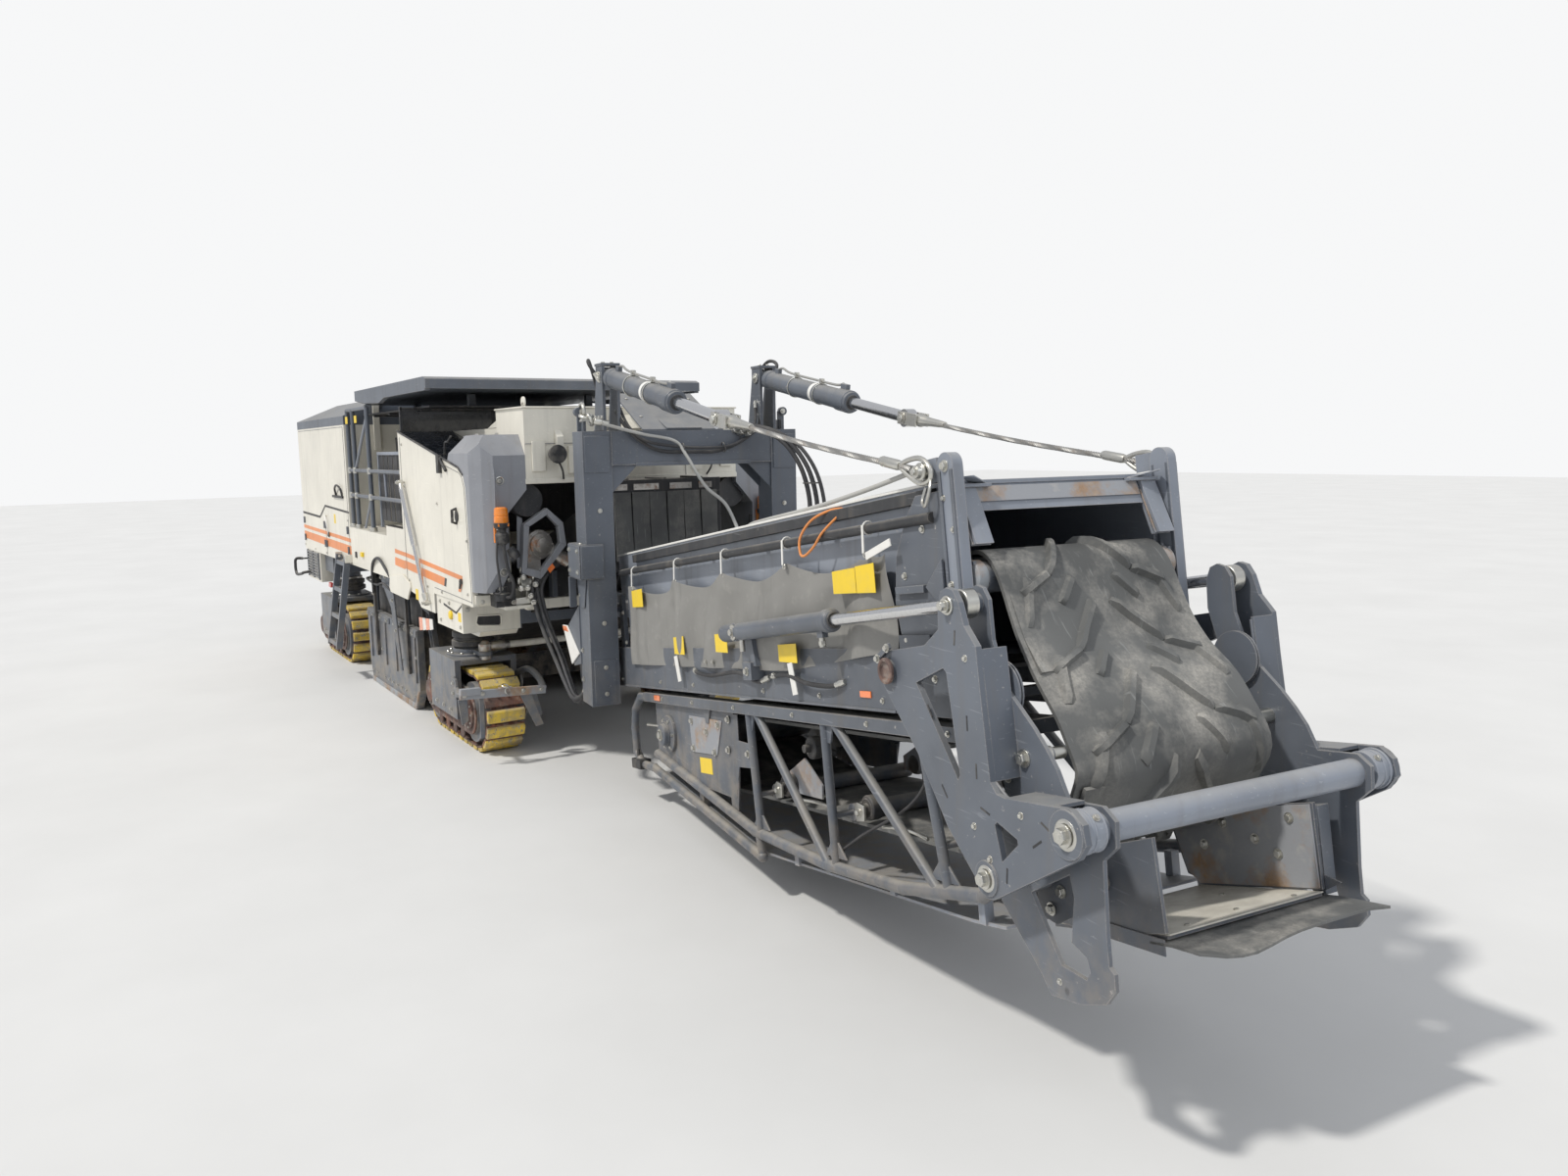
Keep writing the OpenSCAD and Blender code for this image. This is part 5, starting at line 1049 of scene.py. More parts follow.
for i in range(13):
    v = -0.3 + 0.8 * i / 12
    bend = 0.03 * math.exp(-((v + 0.12) / 0.14) ** 2)
    e = 1.06 + (0.03 if i == 12 else 0) - (0.05 if i == 0 else 0)
    rows.append([(0.8, v, -0.916), (0.9, v, -0.905 - bend * 0.3), (e, v, -0.9 - bend),
        (e, v, -0.91 - bend), (0.9, v, -0.915 - bend * 0.3), (0.8, v, -0.927)])
part.rings(rows)
part.done(50)

# Tracks

LOOP_R, LOOP_C, PADS = 0.275, 0.5, 30
LOOP_LONG = 4 * LOOP_C + math.tau * LOOP_R
SHOE = LOOP_LONG / PADS
COLUMN_X = 0.06
BARE_SHOE = ("front_right", 10)  # the photo shows this shoe without its pad


def track_at(t, h):
    """Point and direction along the track's loop, h out from the chain's face."""
    t %= LOOP_LONG
    arc = math.pi * LOOP_R
    if t < 2 * LOOP_C:
        return Vector((t - LOOP_C, 0, LOOP_R + h)), Vector((1, 0, 0))
    if t < 2 * LOOP_C + arc:
        a = math.pi / 2 - (t - 2 * LOOP_C) / LOOP_R
        mid = LOOP_C
    elif t < 4 * LOOP_C + arc:
        return Vector((3 * LOOP_C + arc - t, 0, -LOOP_R - h)), Vector((-1, 0, 0))
    else:
        a = -math.pi / 2 - (t - 4 * LOOP_C - arc) / LOOP_R
        mid = -LOOP_C
    return (Vector((mid + (LOOP_R + h) * math.cos(a), 0, (LOOP_R + h) * math.sin(a))),
            Vector((math.sin(a), 0, -math.cos(a))))


def across(part, t, outline, v0, v1):
    """Prism across the track: outline gives (along, out) about the point t of the loop."""
    p, d = track_at(t, 0)
    out = Vector((-d.z, 0, d.x))
    part.rings([[p + d * a + out * h + Vector((0, v, 0)) for a, h in outline] for v in (v0, v1)])


PLACES = {"front_right": (2.08, -0.975, -1), "front_left": (2.08, 0.975, 1),
    "rear_right": (-2.56, -0.975, -1), "rear_left": (-2.56, 0.975, 1)}
for name, (x, y, side) in PLACES.items():
    body = "track_%s_body" % name
    here = MACH @ Matrix.Translation((x, y, 0.32))
    low = MACH @ Matrix.Translation((x, y, 0))
    pads = Part("pads_" + name, YELLOW, body, 0.003, where=here)
    shoes = Part("chain_" + name, CHAIN, body, 0, where=here)
    for i in range(PADS):
        t = (i + 0.5) * SHOE
        bent = 0.0 if abs(track_at(t, 0)[0].x) < LOOP_C else 0.004
        across(shoes, t, [(-0.055, -0.004), (0.05, -0.004), (0.055, 0.003), (0.05, 0.011),
            (-0.05, 0.011)], -0.15, 0.15)
        if (name, i) != BARE_SHOE:
            across(pads, t, [(-0.049, 0.011), (0.049, 0.011), (0.046, 0.036 - bent),
                (0.034, 0.045 - bent / 2), (-0.034, 0.045 - bent / 2), (-0.046, 0.036 - bent)], -0.148,
                0.148)
        for v in (-0.085, -0.055, 0.055, 0.085):
            across(shoes, t, [(-0.062, -0.03), (-0.04, -0.037), (0.04, -0.037), (0.062, -0.03),
                (0.058, -0.006), (-0.058, -0.006)], v - 0.007, v + 0.007)
        q = track_at(t + SHOE / 2, -0.02)[0]
        shoes.cyl(q - Vector((0, 0.1, 0)), q + Vector((0, 0.1, 0)), 0.012, 8)
        if (name, i) == BARE_SHOE:
            p, d = track_at(t, 0.011)
            for v in (-0.12, -0.04, 0.04, 0.12):
                shoes.bolt(p + Vector((0, v, 0)) - d * 0.02, (-d.z, 0, d.x), 0.01, 0.01)
    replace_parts(pads.done(), "track_" + name)
    shoes.done()

    part = Part("undercarriage_" + name, CHAIN, body, where=here)
    for v in (-1, 1):
        ring = [(LOOP_C * s + 0.175 * math.cos(a), 0.175 * math.sin(a)) for s, k in ((1, -0.5), (-1, 0.5))
                for a in (math.pi * (k + j / 10) for j in range(11))]
        part.prism(ring, 0.189 * v, 0.2 * v)
        for s in (-LOOP_C, LOOP_C):
            part.turn((s, 0.2 * v, 0), (0, v, 0), [(0, 0.13), (0.015, 0.13), (0.02, 0.1), (0.035, 0.095),
                (0.04, 0.05)], 30)
        for s in (-0.3, -0.1, 0.1, 0.3):
            part.turn((s, 0.188 * v, -0.2), (0, v, 0), [(0, 0.045), (0.012, 0.045), (0.016, 0.02)], 18)
    part.box((-0.62, side * 0.2 - 0.004, -0.05), (0.62, side * 0.2 + 0.004, 0.05))
    part.done()

    part = Part("undercarriage_bolts_" + name, ZINC, body, 0, where=here)
    for v in (-1, 1):
        for s, n in around(10, 0.112):
            for middle in (LOOP_C, -LOOP_C):
                part.bolt((middle + s, 0.215 * v, n), (0, v, 0), 0.009, 0.008, False)
        for s in (-0.55, -0.2, 0.2, 0.55):
            part.bolt((s, side * 0.205, 0.025), (0, side, 0), 0.01, 0.008)
    part.done()

    part = Part("yoke_plates_" + name, SLATE, body, 0.003, where=low)
    for x0 in (-0.368, 0.36):
        part.prism([(x0, 0.67), (x0 + 0.008, 0.67), (x0 + 0.008, 0.71), (x0, 0.71)], -0.2, 0.2)
    part.turn((COLUMN_X, 0, 0.714), Z, [(0, 0.215), (0.016, 0.215), (0.018, 0.19)], 40)
    for v in (side, -side):
        part.prism([(0.3, 0.44), (0.42, 0.42), (0.45, 0.5), (0.42, 0.58), (0.3, 0.58)], v * 0.252,
            v * 0.272)
    part.done()

    part = Part("yoke_bolts_" + name, ZINC, body, 0, where=low)
    for s, v in around(12, 0.2, 0.5):
        part.bolt((COLUMN_X + s, v, 0.73), Z, 0.011, 0.011)
    for s, z in ((0.36, 0.46), (0.36, 0.54), (-0.2, 0.3), (0, 0.3), (0.2, 0.3)):
        for v in (1, -1):
            part.bolt((s, v * (0.272 if s == 0.36 else 0.25), z), (0, v, 0), 0.013, 0.011)
    part.done()

    part = Part("column_rings_" + name, BLACK, body, 0.003, where=low)
    part.turn((COLUMN_X, 0, 0.775), Z, [(0, 0.15), (0.01, 0.172), (0.05, 0.172), (0.06, 0.15),
        (0.075, 0.15), (0.08, 0.165), (0.12, 0.165), (0.13, 0.14)], 40)
    part.done()

    part = Part("column_collar_" + name, STEEL, body, 0.003, where=low)
    part.turn((COLUMN_X, 0, 0.905), Z, [(0, 0.135), (0.004, 0.14), (0.03, 0.14), (0.036, 0.127)], 40)
    if "front" in name:
        part.turn((0.36, 0, 0.766), Z, [(0, 0.05), (0.006, 0.05), (0.01, 0.04)], 24)
        part.turn((0.36, 0, 0.73), (0, 0, -1), [(0, 0.045), (0.03, 0.045), (0.036, 0.02)], 24)
    part.done()

for name in ("front_right", "front_left"):
    x, y, side = PLACES[name]
    body = "track_%s_body" % name
    low = MACH @ Matrix.Translation((x, y, 0)) @ Matrix.Scale(1 if side < 0 else -0.86, 4, Y)
    part = Part("scraper_bar_" + name, RUST2, body, where=low)
    part.beam((0.97, -0.4, 0.565), (0.97, 0.26, 0.53), 0.03, 0.062)
    part.beam((0.98, -0.4, 0.59), (0.98, -0.25, 0.585), 0.05, 0.05)
    part.beam((0.965, -0.1, 0.58), (0.965, 0.0, 0.575), 0.045, 0.012)
    part.done()

    part = Part("scraper_plates_" + name, SLATE2, body, where=low)
    for thick, low_x, corners in (
            (0.015, 0.93, ((-0.41, 0.53), (-0.34, 0.54), (-0.33, 0.36), (-0.38, 0.33))),
            (0.012, 0.9, ((-0.25, 0.53), (-0.215, 0.53), (-0.205, 0.2), (-0.235, 0.2))),
            (0.015, 0.9, ((0.06, 0.52), (0.15, 0.51), (0.26, 0.24), (0.2, 0.23)))):
        front = (0.955, 0.955, low_x, low_x)
        part.rings([[(x - back, v, z) for x, (v, z) in zip(front, corners)] for back in (0, thick)])
    part.pipe([(0.37, -0.25, 0.5), (0.6, -0.3, 0.5), (0.86, -0.38, 0.55), (0.955, -0.38, 0.56)], 0.022,
        10)
    part.pipe([(0.37, 0.25, 0.56), (0.6, 0.26, 0.63), (0.82, 0.262, 0.6), (0.96, 0.25, 0.54)], 0.026, 10)
    part.beam((0.9, 0.18, 0.5), (0.86, 0.24, 0.3), 0.06, 0.012, X)
    part.done()

    part = Part("scraper_bolts_" + name, ZINC, body, 0, where=low)
    for v, z in ((-0.37, 0.565), (-0.232, 0.56), (0.08, 0.545), (0.22, 0.535)):
        part.bolt((0.986, v, z), X, 0.012, 0.011)
    part.ring((0.99, -0.06, 0.6), (0.4, 0.2, 1), 0.024, 0.005, 18, 6)
    part.ring((0.99, -0.045, 0.56), (1, 0.4, 0.1), 0.022, 0.005, 18, 6)
    part.done()

    part = Part("tie_rod_ends_" + name, STEEL, "tie", 0.003, where=low)
    part.turn((0.36, 0.05, 0.8), Y, [(0, 0.034), (0.03, 0.04), (0.11, 0.04), (0.12, 0.031),
        (0.15, 0.031)], 20)
    part.turn((0.36, 0, 0.765), Z, [(0, 0.045), (0.012, 0.052), (0.06, 0.052), (0.07, 0.036),
        (0.085, 0.022)], 24)
    part.done()

    part = Part("track_sticker_" + name, STICKER, body, 0, where=low)
    part.box((-0.5, -0.2035, 0.35), (-0.4, -0.2025, 0.45))
    part.done()

# Gate

part = Part("gate_plates", SLATE, "swing", 0.003)
part.prism([(-0.1, 2.66), (-0.1, 2.742), (0.46, 2.486), (0.46, 2.472)], 0.208, 0.22)
for u in (0.47, 0.648):
    part.plate([(0.586, 2.246), (0.4, 2.246), (0.586, 2.06)], u, u + 0.012)
part.box((0.674, 0.6, 2.2), (0.682, 0.77, 2.44))
part.box((0.674, 0.61, 0.66), (0.68, 0.76, 0.95))
part.beam((0.52, 0.74, 2.472), (0.52, 0.74, 2.6), 0.05, 0.016, X)
part.turn((0.5, 0.755, 2.6), X, [(0, 0.03), (0.04, 0.03)], 20)
part.prism([(0.53, 2.47), (0.6, 2.47), (0.6, 2.54)], 0.5, 0.512)
part.twice()
part.prism([(-0.12, 2.742), (-0.1, 2.752), (0.5, 2.482), (0.5, 2.47)], -0.3, 0.3)
part.box((0.674, -0.42, 2.236), (0.684, 0.42, 2.26))
part.done()
(Part("gate_welds", SLATE2, "swing", 0).tube([(0.678, 0.585, 2.243), (0.678, 0.585, 2.467)], 0.005, 6)
 .tube([(0.678, 0.4, 2.248), (0.678, 0.58, 2.248)], 0.004, 6)
 .tube([(0.46, 0.51, 2.475), (0.67, 0.51, 2.475)], 0.005, 6)
 .tube([(0.46, 0.63, 2.475), (0.67, 0.63, 2.475)], 0.005, 6).twice().done())
(Part("leg_box_lid", SLATE, "swing", 0.004).box((0.688, -0.826, 1.506), (0.7, -0.674, 1.724))
 .box((0.43, -0.838, 1.506), (0.69, -0.83, 1.724))
 .box((0.42, -0.84, 1.29), (0.44, -0.79, 1.5))
 .prism([(0.45, 1.5), (0.66, 1.5), (0.6, 1.3), (0.5, 1.3)], -0.79, -0.782).done())
part = Part("gate_bolts", ZINC, "swing", 0)
for z in (0.72, 0.9, 1.2, 1.95):
    part.bolt((0.68, 0.68, z), X, 0.011, 0.009)
for z in (0.8, 1.0, 1.38):
    part.bolt((0.5, 0.782, z), Y, 0.012, 0.01)
part.bolt((0.56, 0.74, 2.6), X, 0.013, 0.011)
part.twice()
for u, z in ((0.47, 1.55), (0.47, 1.69), (0.65, 1.55), (0.65, 1.69)):
    part.bolt((u, -0.838, z), (0, -1, 0), 0.012, 0.01)
for v in (-0.81, -0.69):
    part.bolt((0.64, v, 1.73), Z, 0.011, 0.01)
for v, u in ((-0.24, 0.3), (0.24, 0.3), (-0.24, 0.0), (0.24, 0.0)):
    part.bolt((u, v, 2.748 - (u + 0.1) * 0.45), (0.41, 0, 0.91), 0.012, 0.01)
part.done()
(Part("edge_strip", WHITE, "swing")
 .prism([(0.08, 1.12), (0.19, 1.13), (0.46, 0.97), (0.28, 0.87)], -0.8, -0.79).done())
(Part("edge_strip_marks", REFLECT, "swing", 0)
 .prism([(0.09, 1.115), (0.18, 1.123), (0.225, 1.09), (0.11, 1.085)], -0.8025, -0.8).done())
(Part("edge_plate_carrier", SLATE, "swing", 0.003)
 .prism([(0.2, 1.14), (0.46, 1.3), (0.47, 0.9), (0.3, 0.86)], -0.789, -0.776).done())

# Feed box behind the gate: the primary conveyor's hood with its curtain
part = Part("feed_box", BLACK, bevel=0.004)
part.box((3.779, 0.42, 1.5), (3.788, 0.455, 2.03))
part.twice()
part.box((3.779, -0.455, 2.03), (3.79, 0.455, 2.13))
for y in (-0.3, 0.0, 0.3):
    part.box((3.46, y - 0.012, 2.125), (3.78, y + 0.012, 2.14))
part.done()
part = Part("feed_curtain", BELT, bevel=0.001)
for k in range(6):
    y0, y1, odd = -0.418 + k * 0.14, -0.284 + k * 0.14, k % 2
    rows = (((3.79 + 0.01 * odd, 3.79 + 0.01 * odd, 3.796 + 0.01 * odd, 3.796 + 0.01 * odd), 2.04),
            ((3.8 + 0.012 * odd, 3.8, 3.806, 3.808), 1.8), ((3.81, 3.82, 3.826, 3.816), 1.55))
    part.rings([[(x, y, z) for x, y in zip(row, (y0, y1, y1, y0))] for row, z in rows])
part.done(50)
part = Part("feed_plates", STEEL, bevel=0.001)
for y0, y1 in ((-0.42, -0.31), (-0.26, -0.06), (0.03, 0.21), (0.27, 0.38)):
    part.box((3.79, y0, 2.056), (3.796, y1, 2.1))
    for y in (y0 + 0.02, y1 - 0.02):
        part.bolt((3.796, y, 2.078), X, 0.007, 0.006)
part.done()

# Rope clamp on the gate, and the slack rope from it over the hood to the post's shackle
part = Part("rope_clamp", ZINC, "swing", 0.001)
part.ring((0.54, -0.735, 2.6), Y, 0.05, 0.013, 24, 8)
part.ring((0.6, -0.725, 2.57), (0.3, 0, 1), 0.04, 0.012, 24, 8)
part.ring((0.64, -0.715, 2.545), (0, 1, 0.4), 0.036, 0.011, 24, 8)
part.turn((0.68, -0.7, 2.535), (0.3, 1, -0.15), [(0, 0.012), (0.01, 0.026), (0.05, 0.026), (0.06, 0.018),
    (0.1, 0.018)], 16)
for k in (0.0, 0.02, 0.04):
    part.bolt((0.69 + k * 0.2, -0.69 + k, 2.53 + 0.022), Z, 0.008, 0.014)
part.done()
slack = [Vector(p) for p in ((0.53, -0.742, 2.54), (0.61, -0.72, 2.545), (0.71, -0.64, 2.515),
    (0.73, -0.4, 2.45), (0.72, -0.16, 2.4), (0.76, -0.09, 2.3), (0.9, -0.02, 2.1), (1.1, 0.04, 1.98))]
for s, v, n in ((-2.7, -0.05, 0.71), (-2.3, -0.2, 0.7), (-1.85, -0.38, 0.71), (-1.5, -0.46, 0.705),
        (-0.92, -0.49, 0.705), (-0.45, -0.51, 0.72), (-0.08, -0.53, 0.74), (0.1, -0.55, 0.75)):
    slack.append(SWUNG.inverted() @ SECT @ Vector((s, v, n)))
line = [SWUNG @ p for p in smooth(slack, 8)]
part = Part("slack_rope", ROPE, "inner", 0, where=Matrix())
part.tube(line, 0.011, 8)
rope = part.done(60)

hose("cord_loop", [(-0.6, -0.49, 0.668), (-0.7, -0.52, 0.672), (-0.81, -0.56, 0.64),
    (-0.873, -0.59, 0.57), (-0.866, -0.6, 0.5), (-0.825, -0.6, 0.485), (-0.75, -0.59, 0.52),
    (-0.69, -0.57, 0.58), (-0.62, -0.5, 0.66)], 0.006, "inner", CORD, 8, False)

# Hoses of the luffing cylinders
hose("luff_hose_a", [(0.62, -0.52, 2.6), (0.68, -0.5, 2.52), (0.71, -0.42, 2.42), (0.7, -0.25, 2.335),
    (0.7, 0.0, 2.325), (0.7, 0.18, 2.33), (0.7, 0.36, 2.4), (0.66, 0.5, 2.5), (0.6, 0.53, 2.62)], 0.012,
    "swing")
hose("luff_hose_b", [(0.6, -0.505, 2.66), (0.7, -0.47, 2.5), (0.735, -0.36, 2.4), (0.725, -0.12, 2.36),
    (0.725, 0.1, 2.35), (0.725, 0.28, 2.37), (0.7, 0.44, 2.47), (0.6, 0.505, 2.66)], 0.01, "swing")
hose("luff_hose_c", [(0.62, 0.63, 2.8), (0.6, 0.68, 2.92), (0.5, 0.66, 2.95), (0.44, 0.62, 2.86),
    (0.43, 0.62, 2.66), (0.45, 0.63, 2.49)], 0.012, "swing")
hose("luff_hose_d", [(0.62, -0.63, 2.8), (0.6, -0.69, 2.9), (0.5, -0.66, 2.93), (0.43, -0.6, 2.8),
    (0.43, -0.56, 2.6), (0.45, -0.54, 2.49)], 0.012, "swing")
for k, r in enumerate((0.016, 0.016, 0.013)):
    o = Vector((0.04 * k, 0.035 * k, -0.01 * k))
    hose("fold_supply_%d" % k, [Vector(p) + o for p in ((0.66, 0.3, 2.46), (0.8, 0.36, 2.5),
        (0.98, 0.5, 2.4), (1.06, 0.6, 2.24), (1.08, 0.66, 2.05), (1.06, 0.68, 1.86),
        (0.98, 0.66, 1.62))] + [Vector((0.9 + 0.04 * k, 0.585, 1.3))], r, "swing", to="inner")
part = Part("hose_straps", BLACK, "swing", 0)
for c, d in (((0.72, -0.1, 2.35), Y), ((0.72, 0.2, 2.352), (0, 1, 0.2)), ((1.1, 0.68, 2.1), Z)):
    part.ring(c, d, 0.032 if d[2] < 1 else 0.06, 0.004, 18, 6)
part.done()

# Side panels: stripes, dark lines, handles and seams

part = Part("side_stripes", STRIPE, bevel=0)
for outline in ([(-3.545, 1.5), (-0.945, 1.478), (-0.945, 1.438), (-3.545, 1.46)],
        [(-3.545, 1.425), (-0.945, 1.402), (-0.945, 1.312), (-3.545, 1.338)],
        [(1.205, 1.492), (2.86, 1.428), (2.86, 1.392), (1.205, 1.455)],
        [(1.205, 1.42), (2.4, 1.374), (2.37, 1.308), (1.205, 1.35)],
        [(2.79, 1.385), (2.86, 1.384), (2.8, 1.3), (2.74, 1.302)],
        [(0.87, 1.5), (1.195, 1.49), (1.195, 1.455), (0.87, 1.462)],
        [(0.86, 1.425), (1.195, 1.415), (1.195, 1.34), (0.85, 1.352)]):
    part.prism(outline, 1.2502, 1.2515)
part.twice().done()
(Part("stripe_end", BLACK, bevel=0)
 .prism([(2.4, 1.374), (2.45, 1.372), (2.42, 1.306), (2.37, 1.308)], 1.2502, 1.2517).twice().done())
(Part("side_lines", DARK, bevel=0)
 .prism([(-3.545, 1.662), (-2.5, 1.648), (-2.17, 1.785), (-0.945, 1.757), (-0.945, 1.735), (-2.16, 1.762),
     (-2.49, 1.622), (-3.545, 1.636)], 1.2502, 1.2515)
 .prism([(2.29, 1.165), (2.62, 1.13), (2.77, 1.2), (2.765, 1.182), (2.62, 1.112), (2.29, 1.147)], 1.2407,
     1.242)
 .twice().done())
part = Part("panel_seams", SLATE2, bevel=0)
for line in ([(-2.2, 1.22), (-2.2, 1.62)], [(1.26, 1.2), (1.26, 2.48)], [(-3.5, 2.62), (-1.0, 2.62)],
        [(-1.0, 2.62), (-1.0, 1.24)], [(2.1, 1.27), (3.06, 1.25)],
        [(3.07, 1.24), (3.02, 2.09), (2.97, 2.17), (2.9, 2.2), (2.5, 2.26)]):
    part.tube([(x, 1.2505, z) for x, z in line], 0.003, 5)
part.twice().done()
(Part("side_handles", DARK).box((-1.66, -1.268, 1.885), (-1.16, -MACH_SIDE, 1.91))
 .pipe([(-1.5, -1.256, 1.91), (-1.46, -1.275, 1.98), (-1.34, -1.28, 2.02), (-1.22, -1.27, 1.99),
     (-1.2, -1.256, 1.91)], 0.011, 8)
 .tube([(2.802, -MACH_SIDE, 1.93), (2.804, -1.285, 1.92), (2.798, -1.285, 1.83),
     (2.796, -MACH_SIDE, 1.82)], 0.012, 8)
 .turn((2.803, -MACH_SIDE, 1.875), (0, -1, 0), [(0, 0.045), (0.006, 0.045), (0.008, 0.035)], 20)
 .turn((2.84, -MACH_SIDE, 1.385), (0, -1, 0), [(0, 0.022), (0.014, 0.022), (0.018, 0.015)], 16)
 .beam((2.84, -1.262, 1.385), (2.815, -1.262, 1.33), 0.012, 0.018)
 .box((-0.74, -1.262, 1.3), (-0.69, -MACH_SIDE, 1.36))
 .turn((-2.04, -1.252, 1.46), (0, -1, 0), [(0, 0.03), (0.01, 0.03), (0.016, 0.02)], 16).done())
(Part("small_rods", WHITE, bevel=0)
 .pipe([(-2.16, -1.256, 1.66), (-2.1, -1.275, 1.66), (-2.04, -1.272, 1.58), (-2.04, -1.26, 1.46)], 0.009,
     8)
 .done())
(Part("side_stickers", STICKER, bevel=0).box((-1.72, -1.2515, 1.6), (-1.64, -1.2502, 1.7))
 .box((1.5, -1.2515, 1.11), (1.58, -1.2502, 1.2))
 .box((2.66, -1.2415, 1.06), (2.74, -1.2402, 1.13)).done())

# Long strut that props the panel
part = Part("panel_strut", CHROME)
STRUT_TOP, STRUT_FOOT = Vector((1.34, -1.285, 2.1)), Vector((1.95, -1.285, 1.13))
STRUT_AXIS = (STRUT_FOOT - STRUT_TOP).normalized()
part.turn(STRUT_TOP + STRUT_AXIS * 0.06, STRUT_AXIS, [(0, 0.016), (0.0, 0.024), (0.55, 0.024),
    (0.555, 0.017), ((STRUT_FOOT - STRUT_TOP).length - 0.12, 0.017)], 18)
part.done()
part = Part("strut_ends", ZINC)
for p, s in ((STRUT_TOP, 1), (STRUT_FOOT, -1)):
    part.turn(p - Vector((0, 0.02, 0)), Y, [(0, 0.022), (0.04, 0.022)], 18)
    part.turn(p + STRUT_AXIS * 0.015 * s, STRUT_AXIS * s, [(0, 0.018), (0.05, 0.024), (0.07, 0.024)], 14)
    part.cyl(p - Vector((0, 0.03, 0)), p + Vector((0, 0.04, 0)), 0.009, 12)
    part.bolt(p - Vector((0, 0.03, 0)), (0, -1, 0), 0.012, 0.01)
part.done()

# Corner covers: bolts in their recesses, the crease and the edge seal
part = Part("cover_bolts_front", ZINC, bevel=0)
for z in (1.48, 2.14):
    part.bolt((3.289, 1.075, z), X, 0.013, 0.01)
    part.ring((3.3, 1.075, z), X, 0.028, 0.003, 24, 6)
part.bolt((3.12, 1.02, 2.472), Z, 0.012, 0.01)
part.bolt((2.85, 1.08, 2.472), Z, 0.012, 0.01)
part.twice().done()
(Part("cover_ridge", COVER, bevel=0.004)
 .pipe([(2.72, 1.14, 2.46), (3.1, 1.125, 2.46), (3.24, 1.12, 2.36), (3.3, 1.115, 2.2), (3.302, 1.12, 1.9),
     (3.296, 1.12, 1.6)], 0.007, 8)
 .twice().done())
(Part("cover_feet", CREAM, bevel=0.004)
 .prism([(2.96, 1.2), (3.1, 1.235), (3.11, 1.3), (2.99, 1.33)], 1.02, 1.235)
 .box((3.04, 0.8, 1.18), (3.12, 1.0, 1.33)).twice()
 .box((3.08, -0.86, 1.165), (3.14, 0.86, 1.24)).done())
(Part("cover_brackets", BLACK, bevel=0.003).box((3.12, 0.98, 1.22), (3.25, 1.13, 1.4))
 .beam((3.2, 1.03, 1.3), (3.27, 1.04, 1.8), 0.05, 0.02)
 .turn((3.24, 1.08, 1.27), Z, [(0, 0.06), (0.05, 0.06), (0.06, 0.04), (0.1, 0.04)], 20).twice().done())
part = Part("cover_clips", ZINC, bevel=0)
for x, y, z, r in ((3.22, 1.11, 1.3, 0.016), (3.255, 1.0, 1.25, 0.013), (3.16, 1.2, 1.26, 0.012),
        (3.27, 1.03, 1.42, 0.011), (3.28, 1.1, 1.36, 0.012)):
    part.bolt((x, y, z), X, r, 0.016)
part.twice().done()

# Beacons and round lamps
(Part("beacon_bases", DARK)
 .turn((3.362, 1.1, 1.8), Z, [(0, 0.03), (0.01, 0.055), (0.04, 0.058), (0.045, 0.05)], 28)
 .turn((3.362, 1.1, 1.68), Z, [(0, 0.02), (0.02, 0.045), (0.08, 0.05), (0.1, 0.03), (0.13, 0.03)], 20)
 .turn((3.37, 1.05, 1.66), (0.3, -0.5, -0.8), [(0, 0.03), (0.05, 0.038), (0.09, 0.03)], 16)
 .twice().done())
(Part("beacon_lenses", ORANGE)
 .turn((3.362, 1.1, 1.843), Z, [(0, 0.05), (0.005, 0.053), (0.045, 0.051), (0.05, 0.047), (0.055, 0.051),
     (0.1, 0.047), (0.112, 0.035), (0.115, 0.0)], 28)
 .twice().done())
(Part("round_lamps", DARK)
 .turn((3.33, 0.67, 2.322), X, [(0, 0.03), (0.01, 0.05), (0.05, 0.062), (0.075, 0.068), (0.085, 0.068),
     (0.085, 0.058)], 28)
 .beam((3.3, 0.67, 2.322), (3.34, 0.67, 2.322), 0.05, 0.03)
 .pipe([(3.35, 0.64, 2.26), (3.36, 0.62, 2.2), (3.32, 0.6, 2.14)], 0.008, 6, 4).twice().done())
(Part("round_lamp_glass", GLASS, bevel=0)
 .turn((3.405, 0.67, 2.322), X, [(0, 0.058), (0.004, 0.05), (0.007, 0.02)], 28).twice().done())
part = Part("lamp_frames", CREAM, bevel=0.003)
part.box((3.3, 0.485, 2.18), (3.33, 0.555, 2.38))
part.box((3.3, 0.73, 2.2), (3.318, 0.83, 2.42))
part.twice()
for y in (-0.6, 0.6):
    part.prism([(3.3, 2.3), (3.345, 2.3), (3.345, 2.45), (3.3, 2.5)], y - 0.05, y + 0.005)
part.done()
(Part("nose_edges", CREAM, bevel=0.006).box((2.7, -0.895, 2.655), (3.31, 0.895, 2.668))
 .box((3.296, -0.885, 2.11), (3.31, 0.885, 2.15))
 .prism([(2.2, 2.53), (2.7, 2.53), (2.7, 2.66)], -0.79, 0.79).done())
(Part("nose_seams", SLATE2, bevel=0).tube([(3.312, 0.42, 2.14), (3.312, 0.42, 2.65)], 0.003, 5).twice()
 .tube([(3.312, -0.88, 2.4), (3.312, 0.88, 2.4)], 0.003, 5).done())
(Part("eye_plate", CREAM).turn((3.25, -0.85, 2.7), (0, -1, 0), [(0, 0.04), (0.012, 0.04)], 20)
 .box((3.22, -0.862, 2.62), (3.28, -0.85, 2.7)).done())

